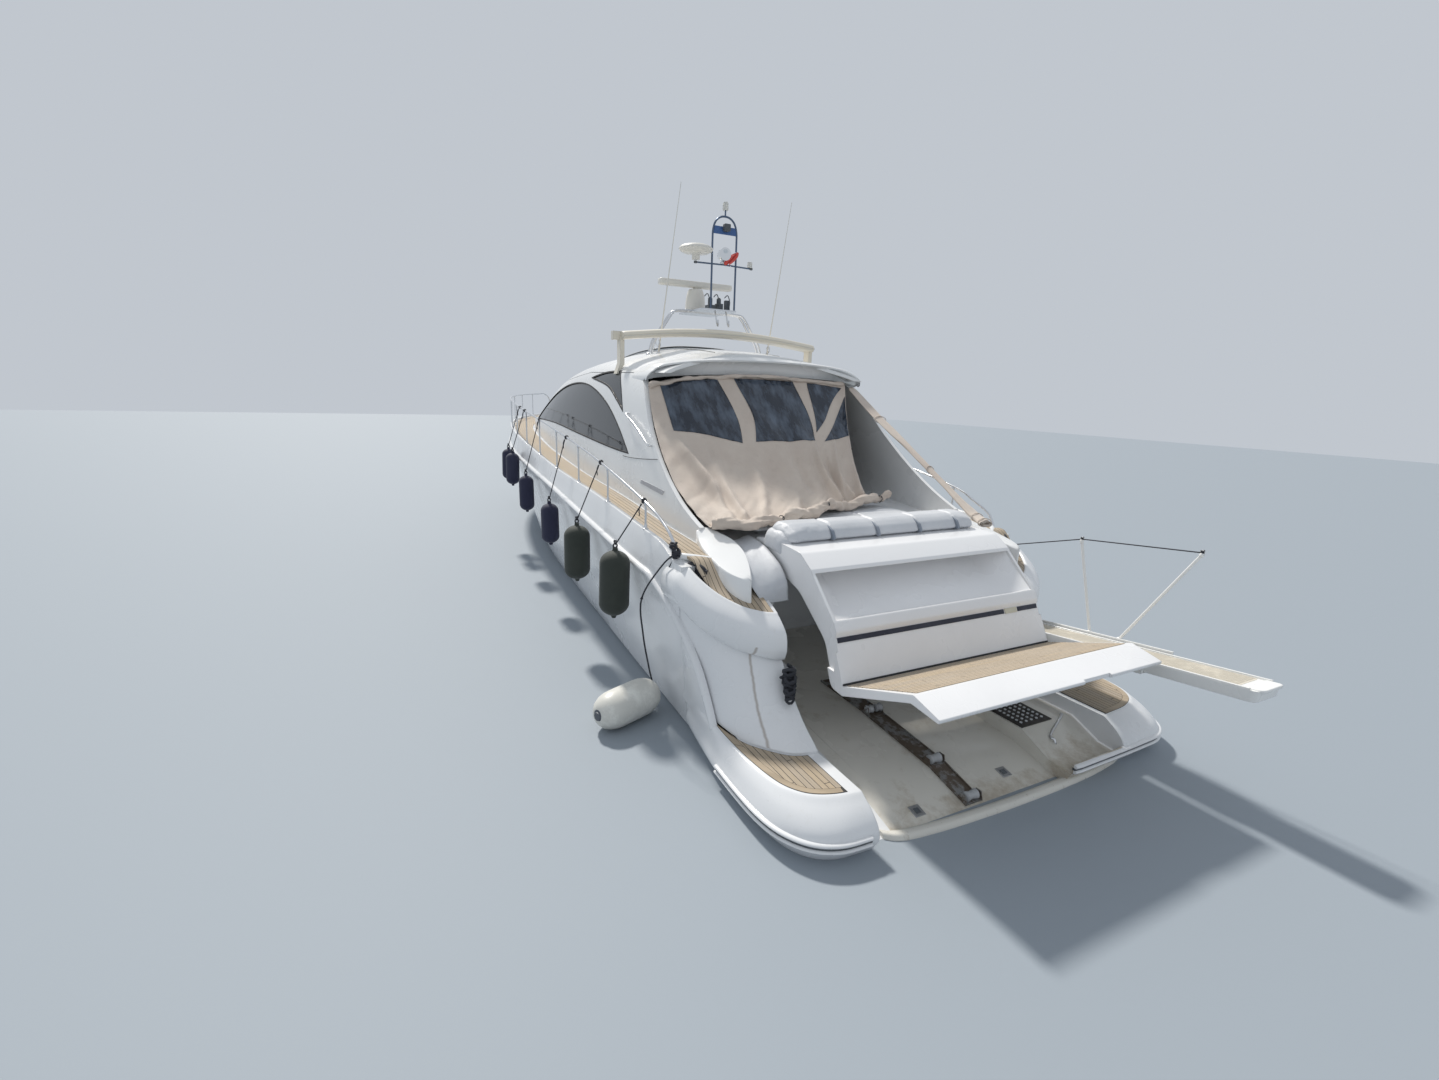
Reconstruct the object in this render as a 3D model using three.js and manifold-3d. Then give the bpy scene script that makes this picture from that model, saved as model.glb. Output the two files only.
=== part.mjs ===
// Motor yacht, a hard-top sports cruiser about 19 m long with a stepped open stern.
// Millimetres. X points to the bow, Y to port and Z up.
// The origin is amidships on the centreline, at the waterline.

import * as THREE from 'three';
import { mergeVertices } from 'three/addons/utils/BufferGeometryUtils.js';
import Module from 'manifold-3d';

const wasm = await Module();
wasm.setup();

// Driving dimensions

const GAP = 0.3;
const TOE_RAIL_HIGH = 60;
const TOE_RAIL_WIDE = 60;
const DECK_CAMBER = 40;
const TEAK_THICK = 15;
const WALL = 55;
const GLASS_IN = 8;
const GLASS_THICK = 14;
const QUARTER_X = -6900;
const TRANSOM_X = -8250;
const PLATFORM_TOP = 400;
const SOLE_Z = 1300;
const SOLE_THICK = 45;
const DOOR_HINGE = { x: -6600, z: 1850 };
const DOOR_HALF = 1330;
const WELL_HALF = DOOR_HALF + 15;
const SLIP = { port: 1600, starboard: -600 };
const WING_X = -3000;
const MAST_X = -2500;
const SIGNAL_X = -2900;
const RADAR = { x: -2230, y: 110, z: 5000 };
// The signal mast and what it carries stand a little to starboard of the centreline.
const SIGNAL_SHIFT = [0, -60, 80];
const SHAFT_TILT = THREE.MathUtils.degToRad(11);
const PROPELLER = { x: -6350, y: 780, z: -820, radius: 340 };
const RUDDER = { x: -7120, y: 800, top: -470, bottom: -1060 };
const PASSERELLE = { x: -7700, y: -1605, z: 870, slope: THREE.MathUtils.degToRad(6.5) };

// Hull stations: x, keel height, chine half-breadth and height,
// rubbing strake half-breadth and height, deck half-breadth and height
const HULL_STATIONS = [
  [9600, 1750, 25, 1880, 60, 2130, 90, 2390],
  [9200, 1080, 170, 1420, 430, 2110, 500, 2385],
  [8500, 350, 440, 980, 900, 2080, 960, 2375],
  [7400, -230, 800, 640, 1400, 2050, 1440, 2360],
  [6000, -560, 1190, 390, 1850, 2010, 1860, 2335],
  [4300, -700, 1560, 220, 2180, 1960, 2160, 2300],
  [2300, -745, 1850, 110, 2380, 1900, 2330, 2225],
  [200, -740, 2010, 50, 2435, 1830, 2370, 2100],
  [-2000, -710, 2070, 20, 2440, 1740, 2370, 1985],
  [-4200, -670, 2100, 0, 2430, 1620, 2350, 1925],
  [-5800, -635, 2120, -10, 2390, 1510, 2310, 1830],
  [-7000, -610, 2130, -20, 2290, 1400, 2250, 1740],
];

// Cabin stations: x, foot half-breadth, side height, side half-breadth,
// roof edge height, roof edge half-breadth, crown height
const CABIN_STATIONS = [
  [7700, 300, 2390, 270, 2400, 200, 2405],
  [6900, 800, 2430, 740, 2450, 620, 2470],
  [5600, 1290, 2490, 1180, 2525, 980, 2560],
  [4500, 1560, 2540, 1440, 2580, 1180, 2630],
  [3700, 1690, 2570, 1570, 2620, 1260, 2690],
  [2900, 1790, 2720, 1620, 2870, 1300, 3010],
  [1900, 1870, 2950, 1650, 3190, 1320, 3390],
  [900, 1920, 3150, 1670, 3450, 1330, 3740],
  [-300, 1945, 3300, 1690, 3616, 1350, 3920],
  [-1700, 1955, 3400, 1700, 3700, 1370, 4020],
  [-3100, 1955, 3420, 1700, 3686, 1380, 3990],
  [-4500, 1945, 3350, 1690, 3584, 1370, 3835],
  [-6000, 1910, 3200, 1680, 3400, 1360, 3600],
  [-7400, 1760, 3000, 1600, 3200, 1300, 3400],
];

// Arch and coaming edge, from the hardtop down to the tip: x, z
const ARCH_EDGE = [
  [-4050, 3560], [-4400, 3330], [-4850, 2870], [-5350, 2480], [-5900, 2160], [-6500, 1930], [-7050, 1790],
  [-7330, 1700],
];

// Plan outline of the quarters at three heights: x, half-breadth
const QUARTER_FOOT = [
  [-6600, 2180], [-7200, 2225], [-7560, 2190], [-7970, 2110], [-8230, 1930], [-8340, 1790], [-8380, 1600],
];
const QUARTER_HEAD = [
  [-6600, 2290], [-6950, 2270], [-7300, 2160], [-7530, 1990], [-7650, 1830], [-7720, 1700], [-7750, 1560],
];
const SHOULDER_TOP = [
  [-6600, 2250], [-6950, 2230], [-7260, 2130], [-7480, 1970], [-7590, 1810], [-7640, 1680], [-7660, 1540],
];

// Plan outline of the bathing platform: x, half-breadth
const PLATFORM_TOP_EDGE = [
  [-7000, 2170], [-7790, 2230], [-8440, 2190], [-8750, 2080], [-8900, 1860], [-8950, 1500], [-8980, 700],
];
const PLATFORM_STRIP = [
  [-7000, 2230], [-7900, 2330], [-8600, 2320], [-8960, 2210], [-9150, 1980], [-9190, 1600], [-9210, 700],
];

// Finishes: colour, roughness, metalness
const FINISH = {
  gelcoat: [0xf1f1ec, 0.25, 0],
  cream: [0xe8e4d8, 0.4, 0],
  teak: [0xb9a88f, 0.75, 0],
  steel: [0xc9ccd0, 0.2, 1],
  bronze: [0x9c7a45, 0.35, 1],
  glass: [0x25292f, 0.1, 0],
  canvas: [0xcdbfae, 0.9, 0],
  vinyl: [0xc3c7cc, 0.55, 0],
  rubber: [0x20242a, 0.7, 0],
  leather: [0xe6dfd0, 0.6, 0],
  iron: [0x6f7378, 0.5, 0.6],
};

const yacht = new THREE.Group();

// Solids

function solidOf(geometry) {
  const bare = geometry.clone();
  bare.deleteAttribute('normal');
  bare.deleteAttribute('uv');
  const merged = mergeVertices(bare, 1e-3);
  const mesh = new wasm.Mesh({
    numProp: 3,
    vertProperties: new Float32Array(merged.attributes.position.array),
    triVerts: new Uint32Array(merged.index.array),
  });
  return new wasm.Manifold(mesh);
}

function geometryOf(solid) {
  const mesh = solid.getMesh();
  const geometry = new THREE.BufferGeometry();
  geometry.setAttribute('position', new THREE.BufferAttribute(new Float32Array(mesh.vertProperties), 3));
  geometry.setIndex(new THREE.BufferAttribute(new Uint32Array(mesh.triVerts), 1));
  geometry.computeVertexNormals();
  return geometry;
}

function union(solids) {
  return solids.reduce((sum, next) => sum.add(next));
}

// Takes a neighbour out of a solid, with a small gap on every side of it.
function clearOf(solid, neighbour, gap = GAP) {
  let result = solid;
  for (const shift of [[gap, 0, 0], [-gap, 0, 0], [0, gap, 0], [0, -gap, 0], [0, 0, gap], [0, 0, -gap]]) {
    result = result.subtract(neighbour.translate(shift));
  }
  return result;
}

// Keeps the largest of the bodies that a cut leaves.
function largest(solid) {
  const bodies = solid.decompose();
  return bodies.reduce((best, next) => (next.volume() > best.volume() ? next : best));
}

// A closed body through rings of equal length; flat says how the end rings lie.
function loft(rings, flat) {
  const count = rings[0].length;
  const positions = rings.flat(2);
  const faces = [];
  for (let r = 0; r + 1 < rings.length; r += 1) {
    for (let i = 0; i < count; i += 1) {
      const a = r * count + i;
      const b = r * count + (i + 1) % count;
      faces.push([a, b, b + count], [a, b + count, a + count]);
    }
  }
  const project = { x: ([, y, z]) => [y, z], y: ([x, , z]) => [x, z], z: ([x, y]) => [x, y] }[flat];
  for (const end of [0, rings.length - 1]) {
    const outline = rings[end].map((point) => new THREE.Vector2(...project(point)));
    for (const [a, b, c] of THREE.ShapeUtils.triangulateShape(outline, [])) {
      const face = [a, b, c].map((i) => end * count + i);
      faces.push(face);
    }
  }
  return solidOf(orient(positions, faces, count, rings.length));
}

// Turns the caps to match the sides, and the whole body to face outwards.
function orient(positions, faces, count, ringCount) {
  const directed = new Set();
  const sides = 2 * count * (ringCount - 1);
  for (const [a, b, c] of faces.slice(0, sides)) {
    directed.add(`${a},${b}`);
    directed.add(`${b},${c}`);
    directed.add(`${c},${a}`);
  }
  const caps = faces.slice(sides);
  const agreed = new Map();
  for (const first of [true, false]) {
    const group = caps.filter(([a]) => (a < count) === first);
    const edges = group.flatMap(([a, b, c]) => [`${a},${b}`, `${b},${c}`, `${c},${a}`]);
    const clash = edges.some((edge) => directed.has(edge));
    agreed.set(first, clash);
  }
  const turned = faces.map((face, i) => {
    if (i < sides || !agreed.get(face[0] < count)) {
      return face;
    }
    return [face[0], face[2], face[1]];
  });
  const at = (i) => new THREE.Vector3(...positions.slice(3 * i, 3 * i + 3));
  const volume = turned.reduce((sum, [a, b, c]) => sum + at(a).dot(at(b).cross(at(c))), 0);
  const outward = volume > 0 ? turned : turned.map(([a, b, c]) => [a, c, b]);
  const geometry = new THREE.BufferGeometry();
  geometry.setAttribute('position', new THREE.Float32BufferAttribute(positions, 3));
  geometry.setIndex(outward.flat());
  return geometry;
}

function extruded(points, depth) {
  const shape = new THREE.Shape(points.map(([a, b]) => new THREE.Vector2(a, b)));
  return new THREE.ExtrudeGeometry(shape, { depth, bevelEnabled: false, curveSegments: 6 });
}

// Prisms of an outline: across the boat in x and z, up in x and y, along it in y and z.
function prismAcross(points, y0, y1) {
  const geometry = extruded(points, y1 - y0);
  geometry.rotateX(Math.PI / 2);
  geometry.translate(0, y1, 0);
  return solidOf(geometry);
}

function prismUp(points, z0, z1) {
  const geometry = extruded(points, z1 - z0);
  geometry.translate(0, 0, z0);
  return solidOf(geometry);
}

function prismAlong(points, x0, x1) {
  const geometry = extruded(points, x1 - x0);
  const axes = new THREE.Matrix4().makeBasis(
    new THREE.Vector3(0, 1, 0),
    new THREE.Vector3(0, 0, 1),
    new THREE.Vector3(1, 0, 0),
  );
  geometry.applyMatrix4(axes);
  geometry.translate(x0, 0, 0);
  return solidOf(geometry);
}

function block([x0, x1], [y0, y1], [z0, z1]) {
  const geometry = new THREE.BoxGeometry(x1 - x0, y1 - y0, z1 - z0);
  geometry.translate((x0 + x1) / 2, (y0 + y1) / 2, (z0 + z1) / 2);
  return solidOf(geometry);
}

function cylinder(radius, from, to, sides = 12, endRadius = radius) {
  const start = new THREE.Vector3(...from);
  const end = new THREE.Vector3(...to);
  const along = end.clone().sub(start);
  const geometry = new THREE.CylinderGeometry(endRadius, radius, along.length(), sides);
  const turn = new THREE.Quaternion().setFromUnitVectors(new THREE.Vector3(0, 1, 0), along.clone().normalize());
  geometry.applyQuaternion(turn);
  const middle = start.add(end).multiplyScalar(0.5);
  geometry.translate(middle.x, middle.y, middle.z);
  return solidOf(geometry);
}

// A round tube through points, bent smoothly or, with sharp corners, in straight runs.
function tube(points, radius, steps, sides = 6, tension = 0.5) {
  const path = new THREE.CatmullRomCurve3(
    points.map((point) => new THREE.Vector3(...point)),
    false,
    'catmullrom',
    tension,
  );
  const section = new THREE.Shape();
  for (let i = 0; i < sides; i += 1) {
    const angle = (2 * Math.PI * i) / sides;
    const place = [radius * Math.cos(angle), radius * Math.sin(angle)];
    if (i === 0) {
      section.moveTo(...place);
    } else {
      section.lineTo(...place);
    }
  }
  section.closePath();
  return solidOf(new THREE.ExtrudeGeometry(section, { steps, bevelEnabled: false, extrudePath: path }));
}

// A turned solid about a line up from a foot point.
function turned(profile, [x, y, z], sides = 16) {
  const points = profile.map(([radius, height]) => new THREE.Vector2(radius, height));
  const geometry = new THREE.LatheGeometry(points, sides);
  geometry.rotateX(Math.PI / 2);
  geometry.translate(x, y, z);
  const solid = solidOf(geometry);
  return solid;
}

function mirrored(solid) {
  return solid.mirror([0, 1, 0]);
}

function bothSides(solid) {
  return solid.add(mirrored(solid));
}

// Adds a piece to the yacht, placed at a pivot where it has one.
function addPiece(name, solid, finish, pivot = [0, 0, 0]) {
  const [color, roughness, metalness] = FINISH[finish];
  const [x, y, z] = pivot;
  const material = new THREE.MeshStandardMaterial({ color, roughness, metalness });
  const mesh = new THREE.Mesh(geometryOf(solid.translate([-x, -y, -z])), material);
  mesh.name = name;
  mesh.position.set(x, y, z);
  yacht.add(mesh);
  return mesh;
}

// Smooth values between the stations of a table, whose first column is x.
function stationAt(table, x) {
  const last = table.length - 1;
  let i = table.findIndex((row) => row[0] <= x);
  i = i < 1 ? (i === 0 ? 1 : last) : i;
  const [p0, p1, p2, p3] = [table[Math.max(i - 2, 0)], table[i - 1], table[i], table[Math.min(i + 1, last)]];
  const t = (x - p1[0]) / (p2[0] - p1[0]);
  return p1.map((value, c) => {
    if (c === 0) {
      return x;
    }
    const span = p2[0] - p1[0];
    const slope1 = p0 === p1 ? (p2[c] - p1[c]) / span : (p2[c] - p0[c]) / (p2[0] - p0[0]);
    const slope2 = p3 === p2 ? (p2[c] - p1[c]) / span : (p3[c] - p1[c]) / (p3[0] - p1[0]);
    const m1 = slope1 * span;
    const m2 = slope2 * span;
    const a = 2 * t ** 3 - 3 * t ** 2 + 1;
    const b = t ** 3 - 2 * t ** 2 + t;
    const d = -2 * t ** 3 + 3 * t ** 2;
    const e = t ** 3 - t ** 2;
    return a * value + b * m1 + d * p2[c] + e * m2;
  });
}

function hullAt(x) {
  const [, keelZ, chineY, chineZ, rubY, rubZ, deckY, deckZ] = stationAt(HULL_STATIONS, x);
  return { keelZ, chineY, chineZ, rubY, rubZ, deckY, deckZ };
}

// Mirrors a half ring that starts and ends on the centreline.
function fullRing(half) {
  const other = half.slice(1, -1).reverse().map(([x, y, z]) => [x, -y, z]);
  return [...half, ...other];
}

// Mirrors an open half outline whose ends are off the centreline.
function fullOutline(half) {
  const other = half.slice().reverse().map(([x, y, ...rest]) => [x, -y, ...rest]);
  return [...half, ...other];
}

// Hull blank: topsides, bottom and cambered deck with its toe rail

function hullRing(x) {
  const { keelZ, chineY, chineZ, rubY, rubZ, deckY, deckZ } = hullAt(x);
  const toe = Math.min(TOE_RAIL_WIDE, deckY / 2);
  return fullRing([
    [x, 0, keelZ],
    [x, chineY * 0.55, keelZ + (chineZ - keelZ) * 0.5],
    [x, chineY, chineZ],
    [x, chineY * 1.02, chineZ + 45],
    [x, (chineY + rubY) / 2 + 0.01 * chineY, (chineZ + rubZ) / 2],
    [x, rubY, rubZ],
    [x, deckY, deckZ + TOE_RAIL_HIGH],
    [x, deckY - toe, deckZ + TOE_RAIL_HIGH],
    [x, deckY - toe - 5, deckZ],
    [x, 0, deckZ + DECK_CAMBER],
  ]);
}

const HULL_X = [9600, 9400, 9200, 8850, 8500, 7950, 7400, 6700, 6000, 5150, 4300, 3300, 2300, 1250, 200, -900,
  -2000, -3100, -4200, -5000, -5800, -6400, QUARTER_X];
const hullBody = loft(HULL_X.map(hullRing), 'x');

// The bottom runs on under the bathing platform to the transom.
function sternRing(x) {
  const { keelZ, chineY, chineZ } = hullAt(Math.max(x, -7000));
  const rise = Math.max(0, (-7000 - x) * 0.02);
  return fullRing([
    [x, 0, keelZ + rise],
    [x, chineY * 0.55, keelZ + rise + (chineZ - keelZ) * 0.5],
    [x, chineY, chineZ + rise],
    [x, chineY * 1.02, chineZ + 45 + rise],
    [x, chineY + 60, PLATFORM_TOP - 60],
    [x, 0, PLATFORM_TOP - 60],
  ]);
}

const sternBottom = loft([QUARTER_X, -7400, TRANSOM_X].map(sternRing), 'x');

// Quarters: the sides sweep round and down from the deck to the bathing platform.
// The heavy moulding along their top slopes down as it goes aft.
function levelRing(outline, z, slope = 0, out = 0) {
  const half = outline.map(([x, y], i) => {
    const before = outline[Math.max(i - 1, 0)];
    const after = outline[Math.min(i + 1, outline.length - 1)];
    const along = new THREE.Vector2(after[0] - before[0], after[1] - before[1]).normalize();
    return [x + along.y * out, y - along.x * out, z + slope * Math.min(0, x + 6900)];
  });
  return fullOutline(half);
}

const SHOULDER_SLOPE = 0.4;
const quarterBlock = loft([
  levelRing(QUARTER_FOOT, PLATFORM_TOP - 100),
  levelRing(QUARTER_FOOT, PLATFORM_TOP + 40),
  levelRing(QUARTER_HEAD, 1330, SHOULDER_SLOPE),
  levelRing(QUARTER_HEAD, 1350, SHOULDER_SLOPE, 45),
  levelRing(QUARTER_HEAD, 1450, SHOULDER_SLOPE, 75),
  levelRing(QUARTER_HEAD, 1570, SHOULDER_SLOPE, 60),
  levelRing(QUARTER_HEAD, 1660, SHOULDER_SLOPE, 15),
  levelRing(SHOULDER_TOP, 1700, SHOULDER_SLOPE, -20),
  levelRing(SHOULDER_TOP, 1700, SHOULDER_SLOPE, -60),
  levelRing(SHOULDER_TOP, 1655, SHOULDER_SLOPE, -75),
], 'z');

// Bathing platform with two rounded wings
const platform = loft([
  levelRing(PLATFORM_STRIP, -170, 0, -260),
  levelRing(PLATFORM_STRIP, -20, 0, -90),
  levelRing(PLATFORM_STRIP, 90, 0, -25),
  levelRing(PLATFORM_STRIP, 120, 0, 0),
  levelRing(PLATFORM_STRIP, 190, 0, 0),
  levelRing(PLATFORM_STRIP, 290, 0, -40),
  levelRing(PLATFORM_TOP_EDGE, 385, 0, 30),
  levelRing(PLATFORM_TOP_EDGE, PLATFORM_TOP, 0, 0),
], 'z');

const hullBlank = union([hullBody, sternBottom, quarterBlock, platform]);

// Cabin blank, drawn in from its skin by an inset

function cabinRing(x, inset) {
  const [, footY, sideZ, sideY, edgeZ, edgeY, crownZ] = stationAt(CABIN_STATIONS, x);
  const footZ = hullAt(Math.max(x, -7000)).deckZ - 200;
  const under = inset > 0 ? 100 : 0;
  return fullRing([
    [x, 0, footZ - 300 - under],
    [x, footY - inset, footZ - under],
    [x, footY - (footY - sideY) * 0.25 - inset, footZ + (sideZ - footZ) * 0.55],
    [x, sideY + 60 - inset, sideZ - inset],
    [x, edgeY + (sideY - edgeY) * 0.55 - inset * 0.7, edgeZ - inset * 0.7],
    [x, edgeY * 0.72, edgeZ + (crownZ - edgeZ) * 0.62 - inset],
    [x, edgeY * 0.38, edgeZ + (crownZ - edgeZ) * 0.93 - inset],
    [x, 0, crownZ - inset],
  ]);
}

const CABIN_X = [7700, 7300, 6900, 6200, 5600, 4500, 3900, 3700, 3300, 2900, 2400, 1900, 1400, 900, 300, -300, -1000,
  -1700, -2400, -3100, -3800, -4500, -5200, -6000, -6700, -7400];

function cabinSkin(inset) {
  const xs = CABIN_X.filter((x) => x < 3800 || inset === 0);
  return loft(xs.map((x) => cabinRing(x, inset)), 'x');
}

const cabinOuter = cabinSkin(0);
const cabinInner = cabinSkin(WALL);
const glassOuter = cabinSkin(GLASS_IN);
const glassInner = cabinSkin(GLASS_IN + GLASS_THICK);
const glassLayer = glassOuter.subtract(glassInner);

// Window outlines on the side, front to back: x, z
const SIDE_WINDOW = [
  [3150, 2600], [2300, 2900], [1300, 3160], [300, 3340], [-700, 3420], [-1600, 3400], [-2400, 3280],
  [-3100, 3080], [-3700, 2800], [-4150, 2520], [-3300, 2530], [-1500, 2590], [300, 2650], [1800, 2640],
];
const UPPER_WINDOW = [[-1750, 3510], [-2500, 3590], [-3180, 3600], [-3500, 3330], [-3720, 3060], [-3380, 3200],
  [-2800, 3390]];
// Windscreen outline in plan: x, half-breadth
const WINDSCREEN = [[3620, 0], [3480, 700], [3100, 1230], [2300, 1290], [1500, 1300], [1120, 1240], [1020, 700],
  [980, 0]];
const SUNROOF = { x: [-2150, -350], y: 720, thick: 26, lap: 45, lift: 20 };

function shrunk(points, inset) {
  const centre = points.reduce(([x, y], [a, b]) => [x + a / points.length, y + b / points.length], [0, 0]);
  return points.map(([a, b]) => {
    const away = new THREE.Vector2(a - centre[0], b - centre[1]);
    const scale = 1 - inset / away.length();
    return [centre[0] + away.x * scale, centre[1] + away.y * scale];
  });
}

function planOutline(half) {
  const other = half.slice(1, -1).reverse().map(([x, y]) => [x, -y]);
  return [...half, ...other];
}

const sideCut = prismAcross(SIDE_WINDOW, 900, 2600);
const upperCut = prismAcross(UPPER_WINDOW, 900, 2600);
const screenCut = prismUp(planOutline(WINDSCREEN), 2500, 4500);
const roofCut = block(SUNROOF.x, [-SUNROOF.y, SUNROOF.y], [3000, 4500]);

// What lies above and behind the arch edge is open to the cockpit.
const OPEN_AFT = [...ARCH_EDGE, [-7330, 1300], [-9000, 1300], [-9000, 5000], [-4050, 5000]];
const openAft = prismAcross(OPEN_AFT, -3000, 3000);
// The hardtop meets the arches along a level seam.
const ROOF_SEAM = [[1150, 3420], [-1500, 3600], [-4480, 3565], [-4480, 5000], [1150, 5000]];
const roofZone = prismAcross(ROOF_SEAM, -3000, 3000);
const hardtopBlank = cabinOuter.subtract(cabinInner).intersect(roofZone);
// The hollow of the cabin stays open aft and below, and the coachroof ahead of it is solid.
const cabinShell = cabinOuter.subtract(cabinInner).subtract(openAft);
const belowRoof = clearOf(cabinShell, roofZone);
const footCut = hullBlank.translate([0, 0, GAP]);

const superstructure = largest(
  belowRoof.subtract(footCut).subtract(bothSides(sideCut)).subtract(bothSides(upperCut)).subtract(screenCut),
);
const hardtop = largest(hardtopBlank.subtract(screenCut).subtract(roofCut).subtract(bothSides(upperCut)));

addPiece('superstructure', superstructure, 'gelcoat');
addPiece('hardtop', hardtop, 'gelcoat');

for (const [side, facing] of [['port', 1], ['starboard', -1]]) {
  const half = block([-8000, 8000], facing > 0 ? [900, 2600] : [-2600, -900], [1000, 5000]);
  const lower = prismAcross(shrunk(SIDE_WINDOW, 4), -2600, 2600).intersect(half);
  const upper = prismAcross(shrunk(UPPER_WINDOW, 4), -2600, 2600).intersect(half);
  addPiece(`side_window_${side}`, largest(glassLayer.intersect(lower).subtract(screenCut)), 'glass');
  addPiece(`upper_window_${side}`, largest(glassLayer.intersect(upper)), 'glass');
}
const screen = prismUp(shrunk(planOutline(WINDSCREEN), 4), 2500, 4500);
addPiece('windscreen', largest(glassLayer.intersect(screen)), 'glass');

// Sunroof: a panel that follows the roof and slides aft over it
const [roofFront, roofAft] = [SUNROOF.x[1] + SUNROOF.lap, SUNROOF.x[0] - SUNROOF.lap];
const roofPanelHalf = SUNROOF.y + SUNROOF.lap;
const roofPanelZone = block([roofAft, roofFront], [-roofPanelHalf, roofPanelHalf], [3000, 4500]);
const sunroof = cabinOuter.translate([0, 0, SUNROOF.lift + SUNROOF.thick])
  .subtract(cabinOuter.translate([0, 0, SUNROOF.lift])).intersect(roofPanelZone);
addPiece('sunroof', largest(sunroof), 'glass');

// Hull with its cockpit well, engine bay, garage, slipway and passerelle slot

const WELL = [[2900, 0], [2900, 1150], [1700, 1480], [0, 1600], [-5250, 1600], [-5250, 0]];
const cockpitWell = prismUp(planOutline(WELL), SOLE_Z, 4000);
const BAY_FLOOR = [[-1450, -120], [-1150, -230], [-900, -300], [-600, -300], [0, -460], [600, -300], [900, -300],
  [1150, -230], [1450, -120]];
const engineBay = prismAlong([...BAY_FLOOR, [1450, SOLE_Z + 10], [-1450, SOLE_Z + 10]], -4200, -1800);
const SLIP_PROFILE = [[-9500, -110], [-9060, 0], [-8600, 110], [-7600, 180], [-5400, 200], [-5400, 1200],
  [-6500, 1560], [-9500, 1560]];
const slipway = prismAcross(SLIP_PROFILE, SLIP.starboard, SLIP.port)
  .intersect(block([-9500, -5300], [SLIP.starboard, WELL_HALF - 4], [-400, 1600])
    .add(block([-9500, -7548], [SLIP.starboard, SLIP.port], [-400, 1600])));
const doorWell = block([-9500, -6560], [-WELL_HALF, WELL_HALF], [PLATFORM_TOP + 3, 2600]);
// The closed door's shelf and lip lie in this recess of the platform.
const SHELF_RECESS = [[-7590, 265], [-8655, 265], [-8960, 125], [-9500, 90], [-9500, 900], [-7590, 900]];
const shelfRecess = prismAcross(SHELF_RECESS, -DOOR_HALF - 28, SLIP.starboard + 20);
// Steps to the deck on each side of the door: aft limit of each tread, half-breadth, tread height
const STEPS = [[-7555, 1612, PLATFORM_TOP + 6], [-7330, 1562, 760], [-7120, 1542, 1135]];
const sideSteps = bothSides(union(
  STEPS.map(([x, y, z]) => block([-9500, x], [DOOR_HALF - 10, y], [z, 2600])),
));
const SLOT_PROFILE = [[-5300, 520], [-8600, 520], [-8600, 1080], [-5300, 1080]];
const passerelleSlot = prismAcross(SLOT_PROFILE, -1865, -1360);

function shaftPoint(along, side) {
  const x = PROPELLER.x + along * Math.cos(SHAFT_TILT);
  return [x, side * PROPELLER.y, PROPELLER.z + along * Math.sin(SHAFT_TILT)];
}

const hollows = union([cockpitWell, engineBay, slipway, doorWell, shelfRecess, sideSteps, passerelleSlot]);
let hull = hullBlank.subtract(hollows);
for (const side of [1, -1]) {
  hull = hull.subtract(cylinder(42, shaftPoint(1500, side), shaftPoint(2500, side), 10));
  const stockY = side * RUDDER.y;
  hull = hull.subtract(cylinder(44, [RUDDER.x, stockY, -700], [RUDDER.x, stockY, 20], 10));
}
hull = largest(hull);
addPiece('hull', hull, 'gelcoat');

// Rubbing strake round the bow, dropping to the platform at each quarter

const STRAKE_AFT = [[-6300, 2350, 1450], [-6800, 2290, 1210], [-7250, 2245, 860], [-7500, 2220, 520]];
function strakePath() {
  const port = HULL_X.filter((x) => x > -6200 && x < 9550).map((x) => [x, hullAt(x).rubY, hullAt(x).rubZ]);
  const half = [...STRAKE_AFT.slice().reverse(), ...port.reverse()];
  const other = half.slice().reverse().map(([x, y, z]) => [x, -y, z]);
  return [...half, [9640, 0, 2130], ...other];
}

function strakeRing([x, y, z], i, path) {
  const before = path[Math.max(i - 1, 0)];
  const after = path[Math.min(i + 1, path.length - 1)];
  const along = new THREE.Vector3(after[0] - before[0], after[1] - before[1], after[2] - before[2]).normalize();
  const out = new THREE.Vector3(-along.y, along.x, 0).normalize();
  const up = along.clone().cross(out).normalize().multiplyScalar(Math.sign(along.clone().cross(out).z));
  return [[4, -38], [46, -18], [46, 18], [4, 38]].map(([a, b]) => [
    x + out.x * a + up.x * b,
    y + out.y * a + up.y * b,
    z + up.z * b,
  ]);
}

const strake = loft(strakePath().map(strakeRing), 'y');
addPiece('rubbing_strake', largest(clearOf(strake, hullBlank)), 'gelcoat');

// Teak laid on the side decks and the foredeck

const deckEdge = HULL_X.filter((x) => x < 9300 && x > -6850).map((x) => [x, hullAt(x).deckY - 110]);
const deckOutline = [[9330, 0], ...deckEdge, [-6850, 2110], [-6850, 0]];
const cabinFoot = CABIN_X.filter((x) => x < 7750).map((x) => [x, stationAt(CABIN_STATIONS, x)[1] + 25]);
const footOutline = [[7760, 0], ...cabinFoot, [-7400, 0]];
const cabinPlan = prismUp(planOutline(footOutline), 1400, 2800);
const teakPlan = prismUp(planOutline(deckOutline), 1500, 2700).subtract(cabinPlan);
const teak = hullBlank.translate([0, 0, TEAK_THICK]).intersect(teakPlan).subtract(footCut);
addPiece('teak_deck', largest(clearOf(teak, superstructure)), 'teak');

// Cockpit sole over the engine bay, and the cabin furniture on it

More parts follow.
